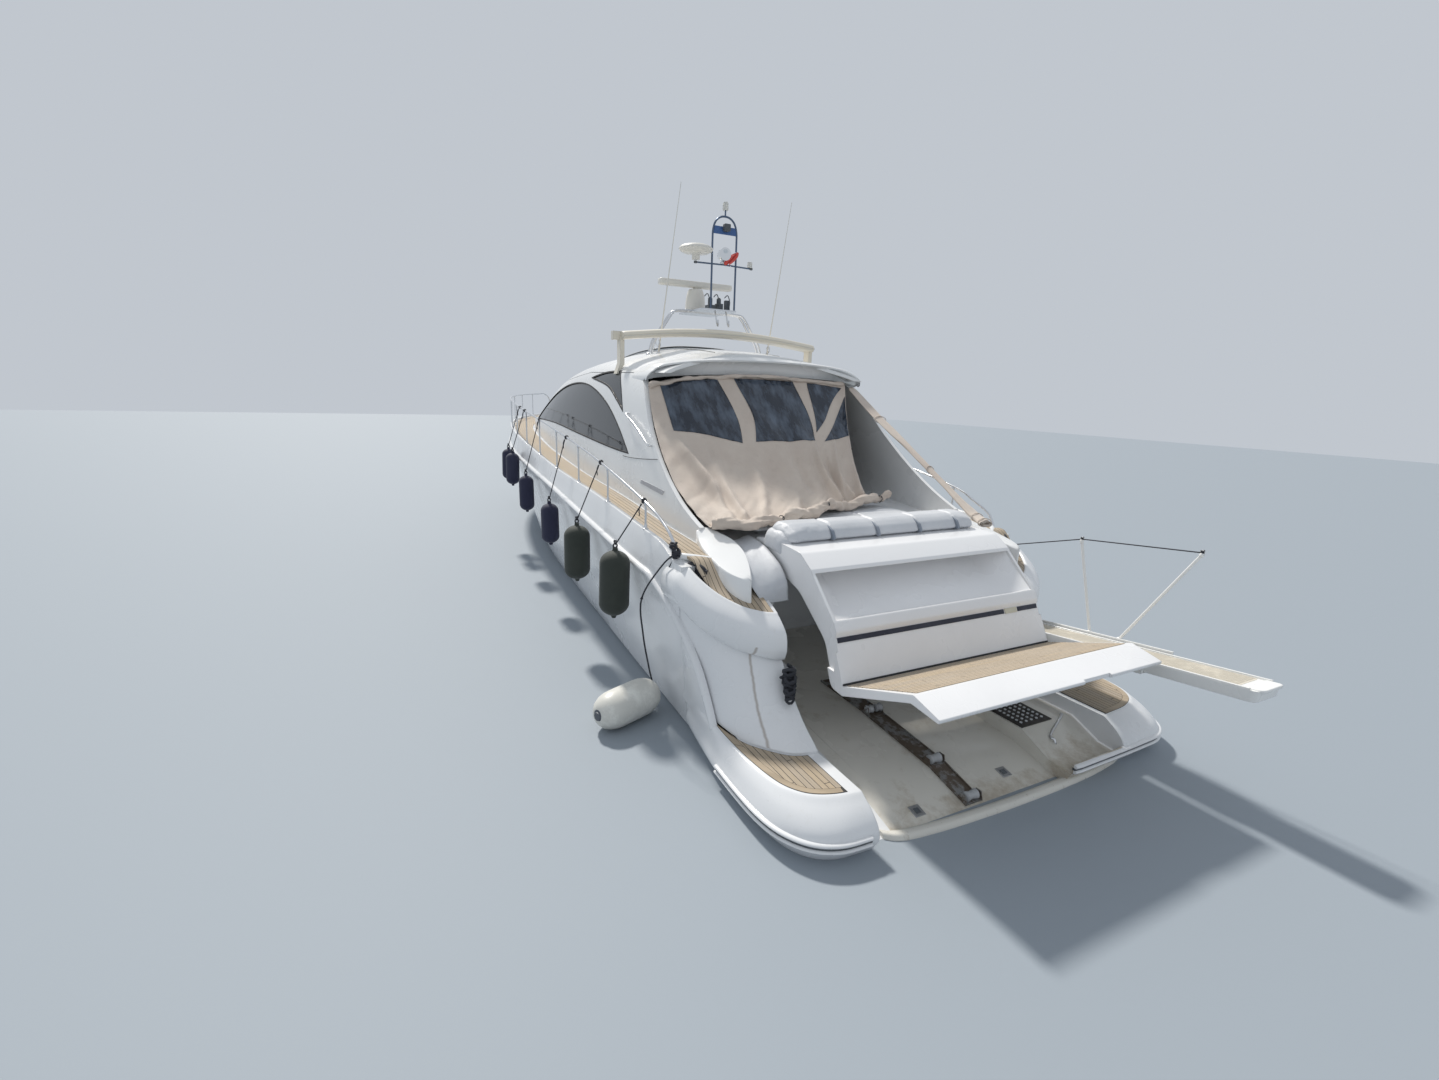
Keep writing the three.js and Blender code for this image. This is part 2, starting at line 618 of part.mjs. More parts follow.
const solePlan = planOutline(WELL.map(([x, y]) => [x, Math.max(0, y - 2)]));
const sole = prismUp(solePlan, SOLE_Z + 1, SOLE_Z + SOLE_THICK)
  .intersect(block([-5248, 2898], [-1598, 1598], [SOLE_Z, SOLE_Z + SOLE_THICK]));
addPiece('cockpit_sole', sole, 'teak');
const floorZ = SOLE_Z + SOLE_THICK + 1;

for (const [side, facing] of [['port', 1], ['starboard', -1]]) {
  const middle = facing * 750;
  const engine = block([-3950, -2050], [middle - 430, middle + 430], [-80, 1060]);
  const feet = [-3800, -2350].map((x) => block([x, x + 160], [middle - 140, middle + 140], [-299, -60]));
  addPiece(`engine_${side}`, union([engine, ...feet]), 'iron');
}

const dash = prismAcross([[2350, floorZ], [1000, floorZ], [1000, 2080], [1250, 2330], [2350, 2440]], -1130, 1130);
const legRoom = prismAcross([[1300, floorZ - 10], [900, floorZ - 10], [900, 2000], [1300, 2000]], 100, 1400);
addPiece('helm_console', dash.subtract(legRoom), 'cream');

const WHEEL = { x: 960, y: -640, z: 2230, radius: 210, rim: 17, tilt: THREE.MathUtils.degToRad(30) };
function steeringWheel() {
  const rim = new THREE.TorusGeometry(WHEEL.radius, WHEEL.rim, 5, 16);
  const spokes = [90, 210, 330].map((degrees) => {
    const angle = THREE.MathUtils.degToRad(degrees);
    const reach = [WHEEL.radius * Math.cos(angle), WHEEL.radius * Math.sin(angle), 0];
    return cylinder(14, [0, 0, 0], reach, 6);
  });
  const hub = cylinder(45, [0, 0, -70], [0, 0, 22], 10);
  const facingAft = union([solidOf(rim), hub, ...spokes]);
  const turn = THREE.MathUtils.radToDeg(WHEEL.tilt) - 90;
  return facingAft.rotate([0, turn, 0]).translate([WHEEL.x, WHEEL.y, WHEEL.z]);
}
addPiece('steering_wheel', clearOf(steeringWheel(), dash, 6), 'rubber', [WHEEL.x, WHEEL.y, WHEEL.z]);

const helmSeat = union([
  block([-60, 420], [-1180, -80], [1820, 1960]),
  prismAcross([[-60, 1850], [-190, 1850], [-330, 2560], [-200, 2580], [-60, 1960]], -1180, -80),
  block([20, 380], [-900, -360], [floorZ, 1830]),
]);
addPiece('helm_seat', helmSeat, 'leather');

const dinette = union([
  block([-3000, -480], [930, 1530], [floorZ, 1770]),
  block([-3000, -2450], [280, 1000], [floorZ, 1770]),
  block([-3000, -480], [1380, 1530], [1760, 2220]),
  block([-3000, -2870], [280, 1530], [1760, 2220]),
]);
addPiece('dinette_seat', dinette, 'leather');

const table = union([
  block([-2250, -1150], [80, 780], [2010, 2050]),
  block([-1760, -1640], [370, 490], [floorZ, 2020]),
  block([-1900, -1500], [230, 630], [floorZ, floorZ + 30]),
]);
addPiece('dinette_table', table, 'teak');

addPiece('wet_bar', block([-2900, -1100], [-1530, -980], [floorZ, 2230]), 'cream');

const aftBench = union([
  block([-5200, -4550], [-1250, 1250], [floorZ, 1760]),
  prismAcross([[-5200, 1750], [-4980, 1750], [-5060, 2080], [-5200, 2080]], -1250, 1250),
]);
addPiece('aft_bench', aftBench, 'leather');

// Sunpad on the garage roof, ahead of the stern door
const sunpadFoot = hullAt(-6000).deckZ + DECK_CAMBER;
const sunpad = block([-6480, -5290], [-1240, 1240], [sunpadFoot - 60, sunpadFoot + 90]);
addPiece('sunpad', largest(sunpad.subtract(hullBlank.translate([0, 0, 2]))), 'vinyl');

// Stern door, drawn as it stands raised; its outline in the boat's x and z

const DOOR_PROFILE = [
  [-6640, 1880], [-6800, 1905], [-7150, 1925], [-7470, 1912], [-7665, 1795], [-7690, 1760], [-8060, 1415],
  [-8108, 1345], [-8100, 1290], [-8280, 915], [-9100, 1225], [-9375, 1155], [-9370, 1125], [-9085, 1150],
  [-8290, 830], [-8120, 840], [-7960, 1210], [-7500, 1540], [-6800, 1740], [-6640, 1760],
];
const DOOR_RECESS = [[-7700, 1765], [-7330, 1705], [-7985, 1405], [-8060, 1430], [-8150, 1500], [-7900, 1765]];
const doorShell = prismAcross(DOOR_PROFILE, -DOOR_HALF, DOOR_HALF);
const recess = prismAcross(DOOR_RECESS, -DOOR_HALF + 140, DOOR_HALF - 140);
const shelfTrim = bothSides(prismUp([[-9500, 1310], [-9500, 1500], [-9200, 1500]], 900, 1400));
const noseTrim = bothSides(block([-8150, -6500], [DOOR_HALF - 25, DOOR_HALF + 50], [1000, 2100]));
const door = doorShell.subtract(recess).subtract(shelfTrim).subtract(noseTrim);
addPiece('stern_door', largest(door), 'gelcoat', [DOOR_HINGE.x, 0, DOOR_HINGE.z]);

const BOLSTER = [[-6760, 1890], [-6760, 2040], [-6830, 2100], [-7060, 2100], [-7220, 2040], [-7290, 1900]];
const bolster = clearOf(prismAcross(BOLSTER, -1290, 1290), door, 2);
addPiece('bolster', largest(bolster), 'vinyl');

// Keel rollers in a channel down the slipway

const rollerY = (SLIP.port + SLIP.starboard) / 2 - 70;
const CHANNEL = [[-9040, 6], [-8600, 113], [-7600, 183], [-6900, 188], [-6900, 210], [-7600, 205], [-8600, 135],
  [-9040, 28]];
const rollers = [[-9000, 60], [-8560, 155], [-7720, 225]].map(([x, z]) => cylinder(45, [x, rollerY - 70, z],
  [x, rollerY + 70, z], 10));
const rollerBed = union([prismAcross(CHANNEL, rollerY - 95, rollerY + 95), ...rollers]);
addPiece('slipway_rollers', largest(clearOf(rollerBed, hull, 1)), 'iron');

// Running gear

// A blade's section: places along its chord and through its thickness
const BLADE_SECTION = [[-1, -0.45], [-1, 0.45], [0, 1], [1, 0.45], [1, -0.45], [0, -1]];
for (const [side, facing] of [['port', 1], ['starboard', -1]]) {
  const centre = [PROPELLER.x, facing * PROPELLER.y, PROPELLER.z];
  const blades = Array.from({ length: 4 }, (_, i) => {
    const rings = [[60, 105, 35], [150, 150, 38], [250, 150, 45], [320, 95, 52], [338, 40, 55]].map(
      ([radius, chord, pitch]) => {
        const angle = THREE.MathUtils.degToRad(pitch * facing);
        const thick = radius < 300 ? 13 : 10;
        return BLADE_SECTION.map(([a, b]) => {
          const across = a * chord * Math.sin(angle) - b * thick * Math.cos(angle) * facing;
          const fore = a * chord * Math.cos(angle) + b * thick * Math.sin(angle) * facing;
          return [fore, across, radius];
        });
      },
    );
    return loft(rings, 'z').rotate([i * 90 + 20, 0, 0]);
  });
  const hub = cylinder(72, [-120, 0, 0], [110, 0, 0], 14).add(cylinder(72, [-119, 0, 0], [-190, 0, 0], 14, 22));
  const shaft = cylinder(30, [100, 0, 0], [2450, 0, 0], 10);
  const turning = union([hub, shaft, ...blades]).rotate([0, -THREE.MathUtils.radToDeg(SHAFT_TILT), 0]);
  addPiece(`propeller_${side}`, turning.translate(centre), 'bronze', centre);

  const barrel = cylinder(62, shaftPoint(180, facing), shaftPoint(430, facing), 14);
  const bore = cylinder(36, shaftPoint(100, facing), shaftPoint(520, facing), 14);
  const strutTop = [-6040, facing * (PROPELLER.y - 180), -250];
  const strutFoot = [[-110, -14], [0, -22], [110, -14], [110, 14], [0, 22], [-110, 14]];
  const [bx, by, bz] = shaftPoint(305, facing);
  const strut = loft([
    strutFoot.map(([a, b]) => [bx + a, by + b, bz + 10]),
    strutFoot.map(([a, b]) => [strutTop[0] + a, strutTop[1] + b, strutTop[2]]),
  ], 'z');
  const bracket = barrel.add(strut).subtract(bore);
  addPiece(`shaft_bracket_${side}`, largest(clearOf(bracket, hullBlank)), 'bronze');

  const blade = loft([
    [[140, 0], [60, 34], [-120, 26], [-330, 4], [-330, -4], [-120, -26], [60, -34]],
    [[110, 0], [40, 26], [-110, 20], [-270, 4], [-270, -4], [-110, -20], [40, -26]],
  ].map((outline, i) => outline.map(([a, b]) => [a, b, i === 0 ? RUDDER.top : RUDDER.bottom])), 'z');
  const stock = cylinder(36, [0, 0, RUDDER.top - 100], [0, 0, -90], 10);
  const rudder = blade.add(stock).translate([RUDDER.x, facing * RUDDER.y, 0]);
  addPiece(`rudder_${side}`, rudder, 'bronze', [RUDDER.x, facing * RUDDER.y, RUDDER.top]);

  const TAB = { x: TRANSOM_X - 12, z: -330, long: 340, inner: 620, outer: 1330 };
  const plate = prismAcross([[TAB.x, TAB.z], [TAB.x - TAB.long, TAB.z - 12], [TAB.x - TAB.long, TAB.z + 6],
    [TAB.x - 30, TAB.z + 34], [TAB.x, TAB.z + 34]], TAB.inner, TAB.outer);
  const tab = facing > 0 ? plate : mirrored(plate);
  addPiece(`trim_tab_${side}`, tab, 'steel', [TAB.x, facing * (TAB.inner + TAB.outer) / 2, TAB.z + 17]);
}

// Guard rails: a top rail on stanchions from the bow to each quarter

const STANCHIONS = [8700, 7700, 6500, 5200, 3800, 2400, 1000, -400, -1800, -3200, -4600, -5900];
function railPoint(x, high) {
  const { deckY, deckZ } = hullAt(x);
  return [x, deckY - 32, deckZ + high];
}

function railHigh(x) {
  return 690 - 345 * Math.max(0, (-400 - x) / 5500) ** 1.8;
}

const railRun = [9050, ...STANCHIONS].map((x) => railPoint(x, railHigh(x)));
const railBow = [[9480, 150, hullAt(9200).deckZ + 560], [9330, 330, hullAt(9200).deckZ + 690]];
const railNose = [[9500, 95, hullAt(9300).deckZ + 40], [9505, 110, hullAt(9300).deckZ + 300]];
const railTail = [[-6300, 2240, 2040], [-6560, 2235, 1920], [-6680, 2225, 1760]];
const topRail = tube([...railNose, ...railBow, ...railRun, ...railTail], 16, 46, 6);
const posts = STANCHIONS.map((x) => cylinder(13, railPoint(x, TOE_RAIL_HIGH - 20), railPoint(x, railHigh(x)), 6));
const portRail = clearOf(union([topRail, ...posts]), hullBlank);
addPiece('guard_rail_port', largest(portRail), 'steel');
addPiece('guard_rail_starboard', largest(mirrored(portRail)), 'steel');

// Ground tackle

const bowZ = hullAt(9000).deckZ + DECK_CAMBER;
const rollerArm = union([
  block([9250, 9830], [-75, -55], [bowZ + 5, bowZ + 95]),
  block([9250, 9830], [55, 75], [bowZ + 5, bowZ + 95]),
  block([9150, 9700], [-75, 75], [bowZ + 5, bowZ + 22]),
  cylinder(42, [9780, -70, bowZ + 60], [9780, 70, bowZ + 60], 12),
]);
addPiece('bow_roller', largest(clearOf(rollerArm, hullBlank.add(teak))), 'steel');
const shank = prismAcross([[9050, bowZ + 118], [9720, bowZ + 118], [9880, bowZ - 90], [9935, bowZ - 150],
  [9965, bowZ - 60], [9760, bowZ + 150], [9050, bowZ + 150]], -14, 14);
const fluke = loft([
  [[9990, 0, bowZ - 40], [9960, 150, bowZ - 110], [9935, 0, bowZ - 150], [9960, -150, bowZ - 110]],
  [[9760, 0, bowZ - 330], [9745, 60, bowZ - 350], [9735, 0, bowZ - 360], [9745, -60, bowZ - 350]],
], 'z');
addPiece('anchor', largest(clearOf(shank.add(fluke), union([rollerArm, hullBlank]), 2)), 'steel');
const windlass = union([
  cylinder(120, [8560, 0, bowZ + 1], [8560, 0, bowZ + 50], 16),
  cylinder(80, [8560, 0, bowZ + 40], [8560, 0, bowZ + 150], 12),
  cylinder(105, [8560, 0, bowZ + 150], [8560, 0, bowZ + 190], 12),
  block([8560, 8800], [-70, 70], [bowZ + 30, bowZ + 110]),
]);
const teakedDeck = hullBlank.add(teak);
addPiece('windlass', largest(clearOf(windlass, teakedDeck)), 'steel');

// Foredeck hatch on the coachroof
const HATCH = { x: [5480, 6080], half: 290 };
const hatchZ = stationAt(CABIN_STATIONS, 5780)[6];
const hatchLid = block(HATCH.x, [-HATCH.half, HATCH.half], [hatchZ - 60, hatchZ + 50]);
const hatch = hatchLid.intersect(cabinOuter.translate([0, 0, 34])).subtract(cabinOuter.translate([0, 0, 6]));
const hatchPivot = [HATCH.x[0] - 12, 0, hatchZ + 18];
addPiece('foredeck_hatch', largest(hatch), 'glass', hatchPivot);

// Roof wing across the hardtop, on a leg at each end

const wingSection = [[180, 15], [120, 70], [-20, 100], [-150, 85], [-190, 40], [-155, -20], [100, -20]];
const wingRings = [[-1640, 4060], [-1500, 4082], [-750, 4160], [0, 4190], [750, 4160], [1500, 4082], [1640, 4060]].map(
  ([y, z]) => wingSection.map(([a, b]) => [WING_X + a, y, z + b]),
);
const wingLeg = prismAlong([[1600, 4060], [1600, 3700], [1690, 3560], [1720, 3560], [1665, 3720], [1665, 4090],
  [1600, 4090]], WING_X - 90, WING_X + 60);
const hornPost = union([block([WING_X - 60, WING_X + 40], [1640, 1760], [4040, 4160])]);
const wing = union([loft(wingRings, 'y'), bothSides(wingLeg), hornPost]);
addPiece('roof_wing', largest(clearOf(wing, cabinOuter)), 'gelcoat');

// Mast frame of bent tubes that carries the radar and the signal mast

const roofAt = (x, y) => {
  const [, , , , edgeZ, edgeY, crownZ] = stationAt(CABIN_STATIONS, x);
  return crownZ - (crownZ - edgeZ) * (y / edgeY) ** 2;
};
const hoops = [MAST_X - 55, MAST_X + 55].map((x) => tube([
  [x, 1000, roofAt(x, 1000) - 30],
  [x, 930, 4110],
  [x, 780, 4330],
  [x, 640, 4530],
  [x, 500, 4585],
  [x, 0, 4590],
  [x, -500, 4585],
  [x, -640, 4530],
  [x, -780, 4330],
  [x, -930, 4110],
  [x, -1000, roofAt(x, 1000) - 30],
], 19, 20, 6));
const shelf = block([SIGNAL_X - 60, RADAR.x + 190], [-290, 330], [4578, 4600]);
const footPads = bothSides(block([MAST_X - 110, MAST_X + 110], [950, 1050], [roofAt(MAST_X, 1000) - 60,
  roofAt(MAST_X, 1000) + 30]));
const mastFrame = largest(clearOf(union([...hoops, shelf, footPads]), cabinOuter));
addPiece('mast_frame', mastFrame, 'steel');

const pedestal = turned([[0, 4602], [150, 4602], [165, 4660], [150, 4850], [110, 4960], [0, 4960]],
  [RADAR.x, RADAR.y, 0], 12);
addPiece('radar_pedestal', largest(clearOf(pedestal, mastFrame)), 'gelcoat');
const bar = prismAlong([[-620, 4985], [620, 4985], [640, 5035], [620, 5085], [-620, 5085], [-640, 5035]], -75, 75)
  .translate([RADAR.x, RADAR.y, 0]);
const barPost = cylinder(48, [RADAR.x, RADAR.y, 4966], [RADAR.x, RADAR.y, 5000], 12);
const scanner = bar.add(barPost);
addPiece('radar_scanner', scanner, 'gelcoat', [RADAR.x, RADAR.y, RADAR.z]);

const signalTube = tube([
  [SIGNAL_X, 205, 4521], [SIGNAL_X, 205, 5000], [SIGNAL_X, 205, 5500], [SIGNAL_X, 200, 5690],
  [SIGNAL_X, 130, 5815], [SIGNAL_X, 0, 5860], [SIGNAL_X, -130, 5815], [SIGNAL_X, -200, 5690],
  [SIGNAL_X, -205, 5500], [SIGNAL_X, -205, 5000], [SIGNAL_X, -205, 4521],
], 15, 24, 6);
const signalMast = union([
  signalTube,
  tube([[SIGNAL_X, 480, 5170], [SIGNAL_X, 0, 5180], [SIGNAL_X, -480, 5170]], 12, 2, 6),
  block([SIGNAL_X - 12, SIGNAL_X + 12], [-200, 200], [5600, 5720]),
  cylinder(12, [SIGNAL_X, 0, 5850], [SIGNAL_X, 0, 5950], 6),
  turned([[0, 5945], [42, 5950], [48, 6010], [36, 6060], [0, 6070]], [SIGNAL_X, 0, 0], 10),
  turned([[0, 5180], [40, 5185], [44, 5260], [0, 5275]], [SIGNAL_X, -455, 0], 8),
]).translate(SIGNAL_SHIFT);
addPiece('signal_mast', signalMast, 'steel');

const dome = turned([[0, 5205], [60, 5205], [60, 5290], [200, 5300], [262, 5345], [225, 5390], [110, 5418], [0, 5422]],
  [SIGNAL_X, 475, 0], 16).translate(SIGNAL_SHIFT);
addPiece('antenna_dome', clearOf(dome, signalMast), 'gelcoat');
const searchlight = union([
  cylinder(95, [SIGNAL_X + 70, 20, 5320], [SIGNAL_X - 90, 20, 5320], 14),
  cylinder(28, [SIGNAL_X, 20, 5196], [SIGNAL_X, 20, 5300], 8),
]).translate(SIGNAL_SHIFT);
addPiece('searchlight', clearOf(searchlight, signalMast), 'steel');

const WHIP = { x: -2780, y: 960, long: 2450, lean: -0.13 };
for (const [side, facing] of [['port', 1], ['starboard', -1]]) {
  const foot = [WHIP.x, facing * WHIP.y, roofAt(WHIP.x, WHIP.y) - 20];
  const tip = [WHIP.x - 40, facing * WHIP.y + WHIP.lean * WHIP.long, foot[2] + WHIP.long];
  const knee = [WHIP.x - 3, facing * WHIP.y + WHIP.lean * 170, foot[2] + 170];
  const whip = union([cylinder(26, foot, knee, 8), cylinder(12, knee, tip, 6, 5)]);
  addPiece(`whip_antenna_${side}`, largest(clearOf(whip, cabinOuter)), 'gelcoat');
}

// Passerelle out of the starboard quarter: a fixed channel with two rope posts, and a plank that slides in it

const PLANK = { half: 195, side: 32, room: 10, reach: 2410 };
const CHANNEL_REACH = 1520;
function along(distance, rise = 0) {
  const { x, z, slope } = PASSERELLE;
  return [x - distance * Math.cos(slope) - rise * Math.sin(slope), z + distance * Math.sin(slope)
    + rise * Math.cos(slope)];
}

function plank(from, to, low, high, half) {
  const outline = [along(from, low), along(to, low), along(to, high), along(from, high)];
  return prismAcross(outline, PASSERELLE.y - half, PASSERELLE.y + half);
}

// Rope posts: foot and head along the plank
const ROPE_POSTS = [[700, 320], [980, 1460]];
const postY = PASSERELLE.y - PLANK.half - PLANK.side - 6;
const ropePosts = ROPE_POSTS.map(([foot, head]) => {
  const [footX, footZ] = along(foot, 10);
  const [headX, headZ] = along(head, 1035);
  return cylinder(15, [footX, postY, footZ], [headX, postY, headZ], 8);
});
const channel = plank(-2150, CHANNEL_REACH, -98, 60, PLANK.half + PLANK.side)
  .subtract(plank(-2200, CHANNEL_REACH + 40, -86, 80, PLANK.half + PLANK.room));
addPiece('passerelle_case', union([channel, ...ropePosts]), 'gelcoat');
addPiece('passerelle_plank', plank(-60, PLANK.reach, -80, 36, PLANK.half), 'gelcoat');

// Canvas over the cockpit, hung from the hardtop and laid on the coaming and sunpad

const CANVAS_THICK = 26;
const canvasRows = [
  [[-4520, 1560, 3560], [-4560, 800, 3690], [-4570, 0, 3730], [-4560, -800, 3690], [-4530, -1330, 3620]],
  [[-5000, 1620, 2840], [-5060, 820, 2960], [-5060, 0, 2980], [-5020, -560, 2960], [-4980, -1020, 2900]],
  [[-5560, 1630, 2400], [-5560, 820, 2450], [-5520, 0, 2440], [-5480, -420, 2430], [-5430, -820, 2400]],
  [[-6200, 1600, 2110], [-6080, 840, 2110], [-5960, 0, 2100], [-5860, -500, 2090], [-5760, -960, 2080]],
  [[-6600, 1440, 2040], [-6420, 840, 2040], [-6260, 0, 2040], [-6080, -700, 2040], [-5900, -1200, 2030]],
];
const canvasRings = canvasRows.map((row) => [
  ...row,
  ...row.slice().reverse().map(([x, y, z]) => [x + CANVAS_THICK * 0.7, y, z - CANVAS_THICK * 0.7]),
]);
addPiece('canvas_enclosure', loft(canvasRings, 'x'), 'canvas');
const flapRings = [[-4560, -1440, 3590], [-5700, -1560, 2790], [-6850, -1600, 2010], [-7150, -1590, 1880]].map(
  ([x, y, z]) => [[0, 60, 0], [-50, 60, 60], [-50, -60, 60], [0, -60, 0]].map(([a, b, c]) => [x + a, y + b, z + c]),
);
addPiece('canvas_flap', largest(clearOf(loft(flapRings, 'x'), union([superstructure, hardtop]), 3)), 'canvas');

// Fenders: name, x, top of the body, length, radius
const FENDERS = [
  ['fender_1', 1800, 2050, 700, 130],
  ['fender_2', 1150, 2030, 700, 130],
  ['fender_3', -450, 1780, 700, 130],
  ['fender_4', -2500, 1620, 680, 135],
  ['fender_5', -4320, 1650, 770, 165],
  ['fender_6', -5850, 1680, 780, 165],
];
for (const [name, x, top, length, radius] of FENDERS) {
  const y = hullAt(x).rubY + 52 + radius;
  const [, railY, railZ] = railPoint(x, railHigh(x));
  const body = turned([[0, 0], [radius * 0.55, 10], [radius * 0.9, 70], [radius, 150], [radius, length - 150],
    [radius * 0.9, length - 70], [radius * 0.4, length - 12], [0, length]], [x, y, top - length], 10);
  const eye = cylinder(26, [x, y, top - 12], [x, y, top + 60], 6);
  const { deckY, deckZ } = hullAt(x);
  const lanyardPath = [[x, y, top + 40], [x, deckY + 12, deckZ + TOE_RAIL_HIGH + 22], [x, railY + 30, railZ - 30]];
  const lanyard = tube(lanyardPath, 8, 4, 5);
  addPiece(name, largest(clearOf(union([body, eye, lanyard]), hullBlank)), 'rubber');
}
// A fat white float lies out from the quarter on the water.
const FLOAT = { x: -6400, y: 2330, z: 200, turn: 23 };
const floater = turned([[0, 0], [60, 8], [120, 50], [170, 120], [195, 220], [195, 580], [170, 680], [120, 750],
  [60, 792], [0, 800]], [0, 0, 0], 12).rotate([-90, 0, FLOAT.turn]).translate([FLOAT.x, FLOAT.y, FLOAT.z]);
addPiece('fender_7', largest(clearOf(floater, hullBlank)), 'gelcoat');

export default yacht;
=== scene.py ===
# Motor yacht, a hard-top sports cruiser with an open stepped stern, dressed for rendering.
# Metres. X points to the bow, Y to port and Z up; the origin is amidships on the waterline.

import math
import random

import bmesh
import bpy
from mathutils import Matrix, Vector, noise


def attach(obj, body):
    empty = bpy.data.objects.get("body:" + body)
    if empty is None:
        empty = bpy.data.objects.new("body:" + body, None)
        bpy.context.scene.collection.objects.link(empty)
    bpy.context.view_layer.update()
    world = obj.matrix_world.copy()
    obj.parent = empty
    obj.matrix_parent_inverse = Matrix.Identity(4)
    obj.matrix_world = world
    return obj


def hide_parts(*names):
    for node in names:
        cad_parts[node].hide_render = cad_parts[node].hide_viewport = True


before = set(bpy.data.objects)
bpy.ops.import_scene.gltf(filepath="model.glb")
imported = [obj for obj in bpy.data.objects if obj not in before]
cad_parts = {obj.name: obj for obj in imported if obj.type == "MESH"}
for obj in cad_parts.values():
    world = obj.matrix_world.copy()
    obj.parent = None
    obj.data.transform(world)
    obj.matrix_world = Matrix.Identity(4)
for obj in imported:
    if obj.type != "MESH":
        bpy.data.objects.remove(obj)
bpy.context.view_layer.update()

# Camera: where the photograph was taken, from a neighbouring berth off the port quarter.
CAMERA_PLACE = Vector((-12.267, 4.571, 3.375))
CAMERA_YAW = math.radians(-26.71)
CAMERA_DOWN = math.radians(13.36)
CAMERA_ROLL = math.radians(-1.89)
IMAGE_WIDTH = 1439
FOCAL_PIXELS = 630.07

camera = bpy.data.cameras.new("photo_camera")
camera.sensor_width = 36
camera.lens = FOCAL_PIXELS / IMAGE_WIDTH * camera.sensor_width
camera.clip_end = 500
camera_object = bpy.data.objects.new("photo_camera", camera)
ahead = Vector((
    math.cos(CAMERA_YAW) * math.cos(CAMERA_DOWN),
    math.sin(CAMERA_YAW) * math.cos(CAMERA_DOWN),
    -math.sin(CAMERA_DOWN),
))
level = Vector((math.sin(CAMERA_YAW), -math.cos(CAMERA_YAW), 0))
below = ahead.cross(level)
right = math.cos(CAMERA_ROLL) * level + math.sin(CAMERA_ROLL) * below
down = math.cos(CAMERA_ROLL) * below - math.sin(CAMERA_ROLL) * level
camera_turn = Matrix((right, -down, -ahead)).transposed().to_4x4()
camera_object.matrix_world = Matrix.Translation(CAMERA_PLACE) @ camera_turn
bpy.context.scene.collection.objects.link(camera_object)
bpy.context.scene.camera = camera_object

# Floor at the waterline, and a high soft sun from ahead under a bright even sky.
FLOOR_HALF = 60
SUN_TOWARDS = Vector((0.9, 0.04, 1.0))

floor_mesh = bpy.data.meshes.new("floor")
floor_mesh.from_pydata([(-FLOOR_HALF, -FLOOR_HALF, 0), (FLOOR_HALF, -FLOOR_HALF, 0),
                        (FLOOR_HALF, FLOOR_HALF, 0), (-FLOOR_HALF, FLOOR_HALF, 0)], [], [(0, 1, 2, 3)])
floor = bpy.data.objects.new("floor", floor_mesh)
bpy.context.scene.collection.objects.link(floor)
floor_finish = bpy.data.materials.new("pale_floor")
floor_finish.use_nodes = True
floor_finish.node_tree.nodes["Principled BSDF"].inputs["Base Color"].default_value = (0.3, 0.34, 0.38, 1)
floor_finish.node_tree.nodes["Principled BSDF"].inputs["Roughness"].default_value = 0.7
floor_mesh.materials.append(floor_finish)

sun = bpy.data.lights.new("sun", "SUN")
sun.energy = 3.4
sun.angle = math.radians(5)
sun.color = (1.0, 0.96, 0.9)
sun_object = bpy.data.objects.new("sun", sun)
sun_object.matrix_world = SUN_TOWARDS.to_track_quat("Z", "Y").to_matrix().to_4x4()
bpy.context.scene.collection.objects.link(sun_object)
sky = bpy.data.worlds.new("sky")
sky.use_nodes = True
sky.node_tree.nodes["Background"].inputs["Color"].default_value = (0.86, 0.92, 1.0, 1)
sky.node_tree.nodes["Background"].inputs["Strength"].default_value = 0.62
bpy.context.scene.world = sky
bpy.context.scene.view_settings.view_transform = "Standard"

# Hull: one moulding of white gelcoat over glass fibre, with its deck, toe rail, rounded quarters and
# bathing platform. The cockpit, the garage and the slipway behind it are open, as in the mould.
TOE_RAIL_HIGH = 0.06
TOE_RAIL_WIDE = 0.06
DECK_CAMBER = 0.04
QUARTER_X = -6.9
TRANSOM_X = -8.25
PLATFORM_TOP = 0.4
SOLE_Z = 1.3
DOOR_HALF = 1.33
WELL_HALF = DOOR_HALF + 0.015
SLIP_PORT = 1.6
SLIP_STARBOARD = -0.6

# x, keel height, chine half-breadth and height, strake half-breadth and height, deck half-breadth and height
HULL_STATIONS = [
    (9.6, 1.75, 0.025, 1.88, 0.06, 2.13, 0.09, 2.39),
    (9.2, 1.08, 0.17, 1.42, 0.43, 2.11, 0.5, 2.385),
    (8.5, 0.35, 0.44, 0.98, 0.9, 2.08, 0.96, 2.375),
    (7.4, -0.23, 0.8, 0.64, 1.4, 2.05, 1.44, 2.36),
    (6.0, -0.56, 1.19, 0.39, 1.85, 2.01, 1.86, 2.335),
    (4.3, -0.7, 1.56, 0.22, 2.18, 1.96, 2.16, 2.3),
    (2.3, -0.745, 1.85, 0.11, 2.38, 1.9, 2.33, 2.225),
    (0.2, -0.74, 2.01, 0.05, 2.435, 1.83, 2.37, 2.1),
    (-2.0, -0.71, 2.07, 0.02, 2.44, 1.74, 2.37, 1.985),
    (-4.2, -0.67, 2.1, 0.0, 2.43, 1.62, 2.35, 1.925),
    (-5.8, -0.635, 2.12, -0.01, 2.39, 1.51, 2.31, 1.83),
    (-7.0, -0.61, 2.13, -0.02, 2.29, 1.4, 2.25, 1.74),
]
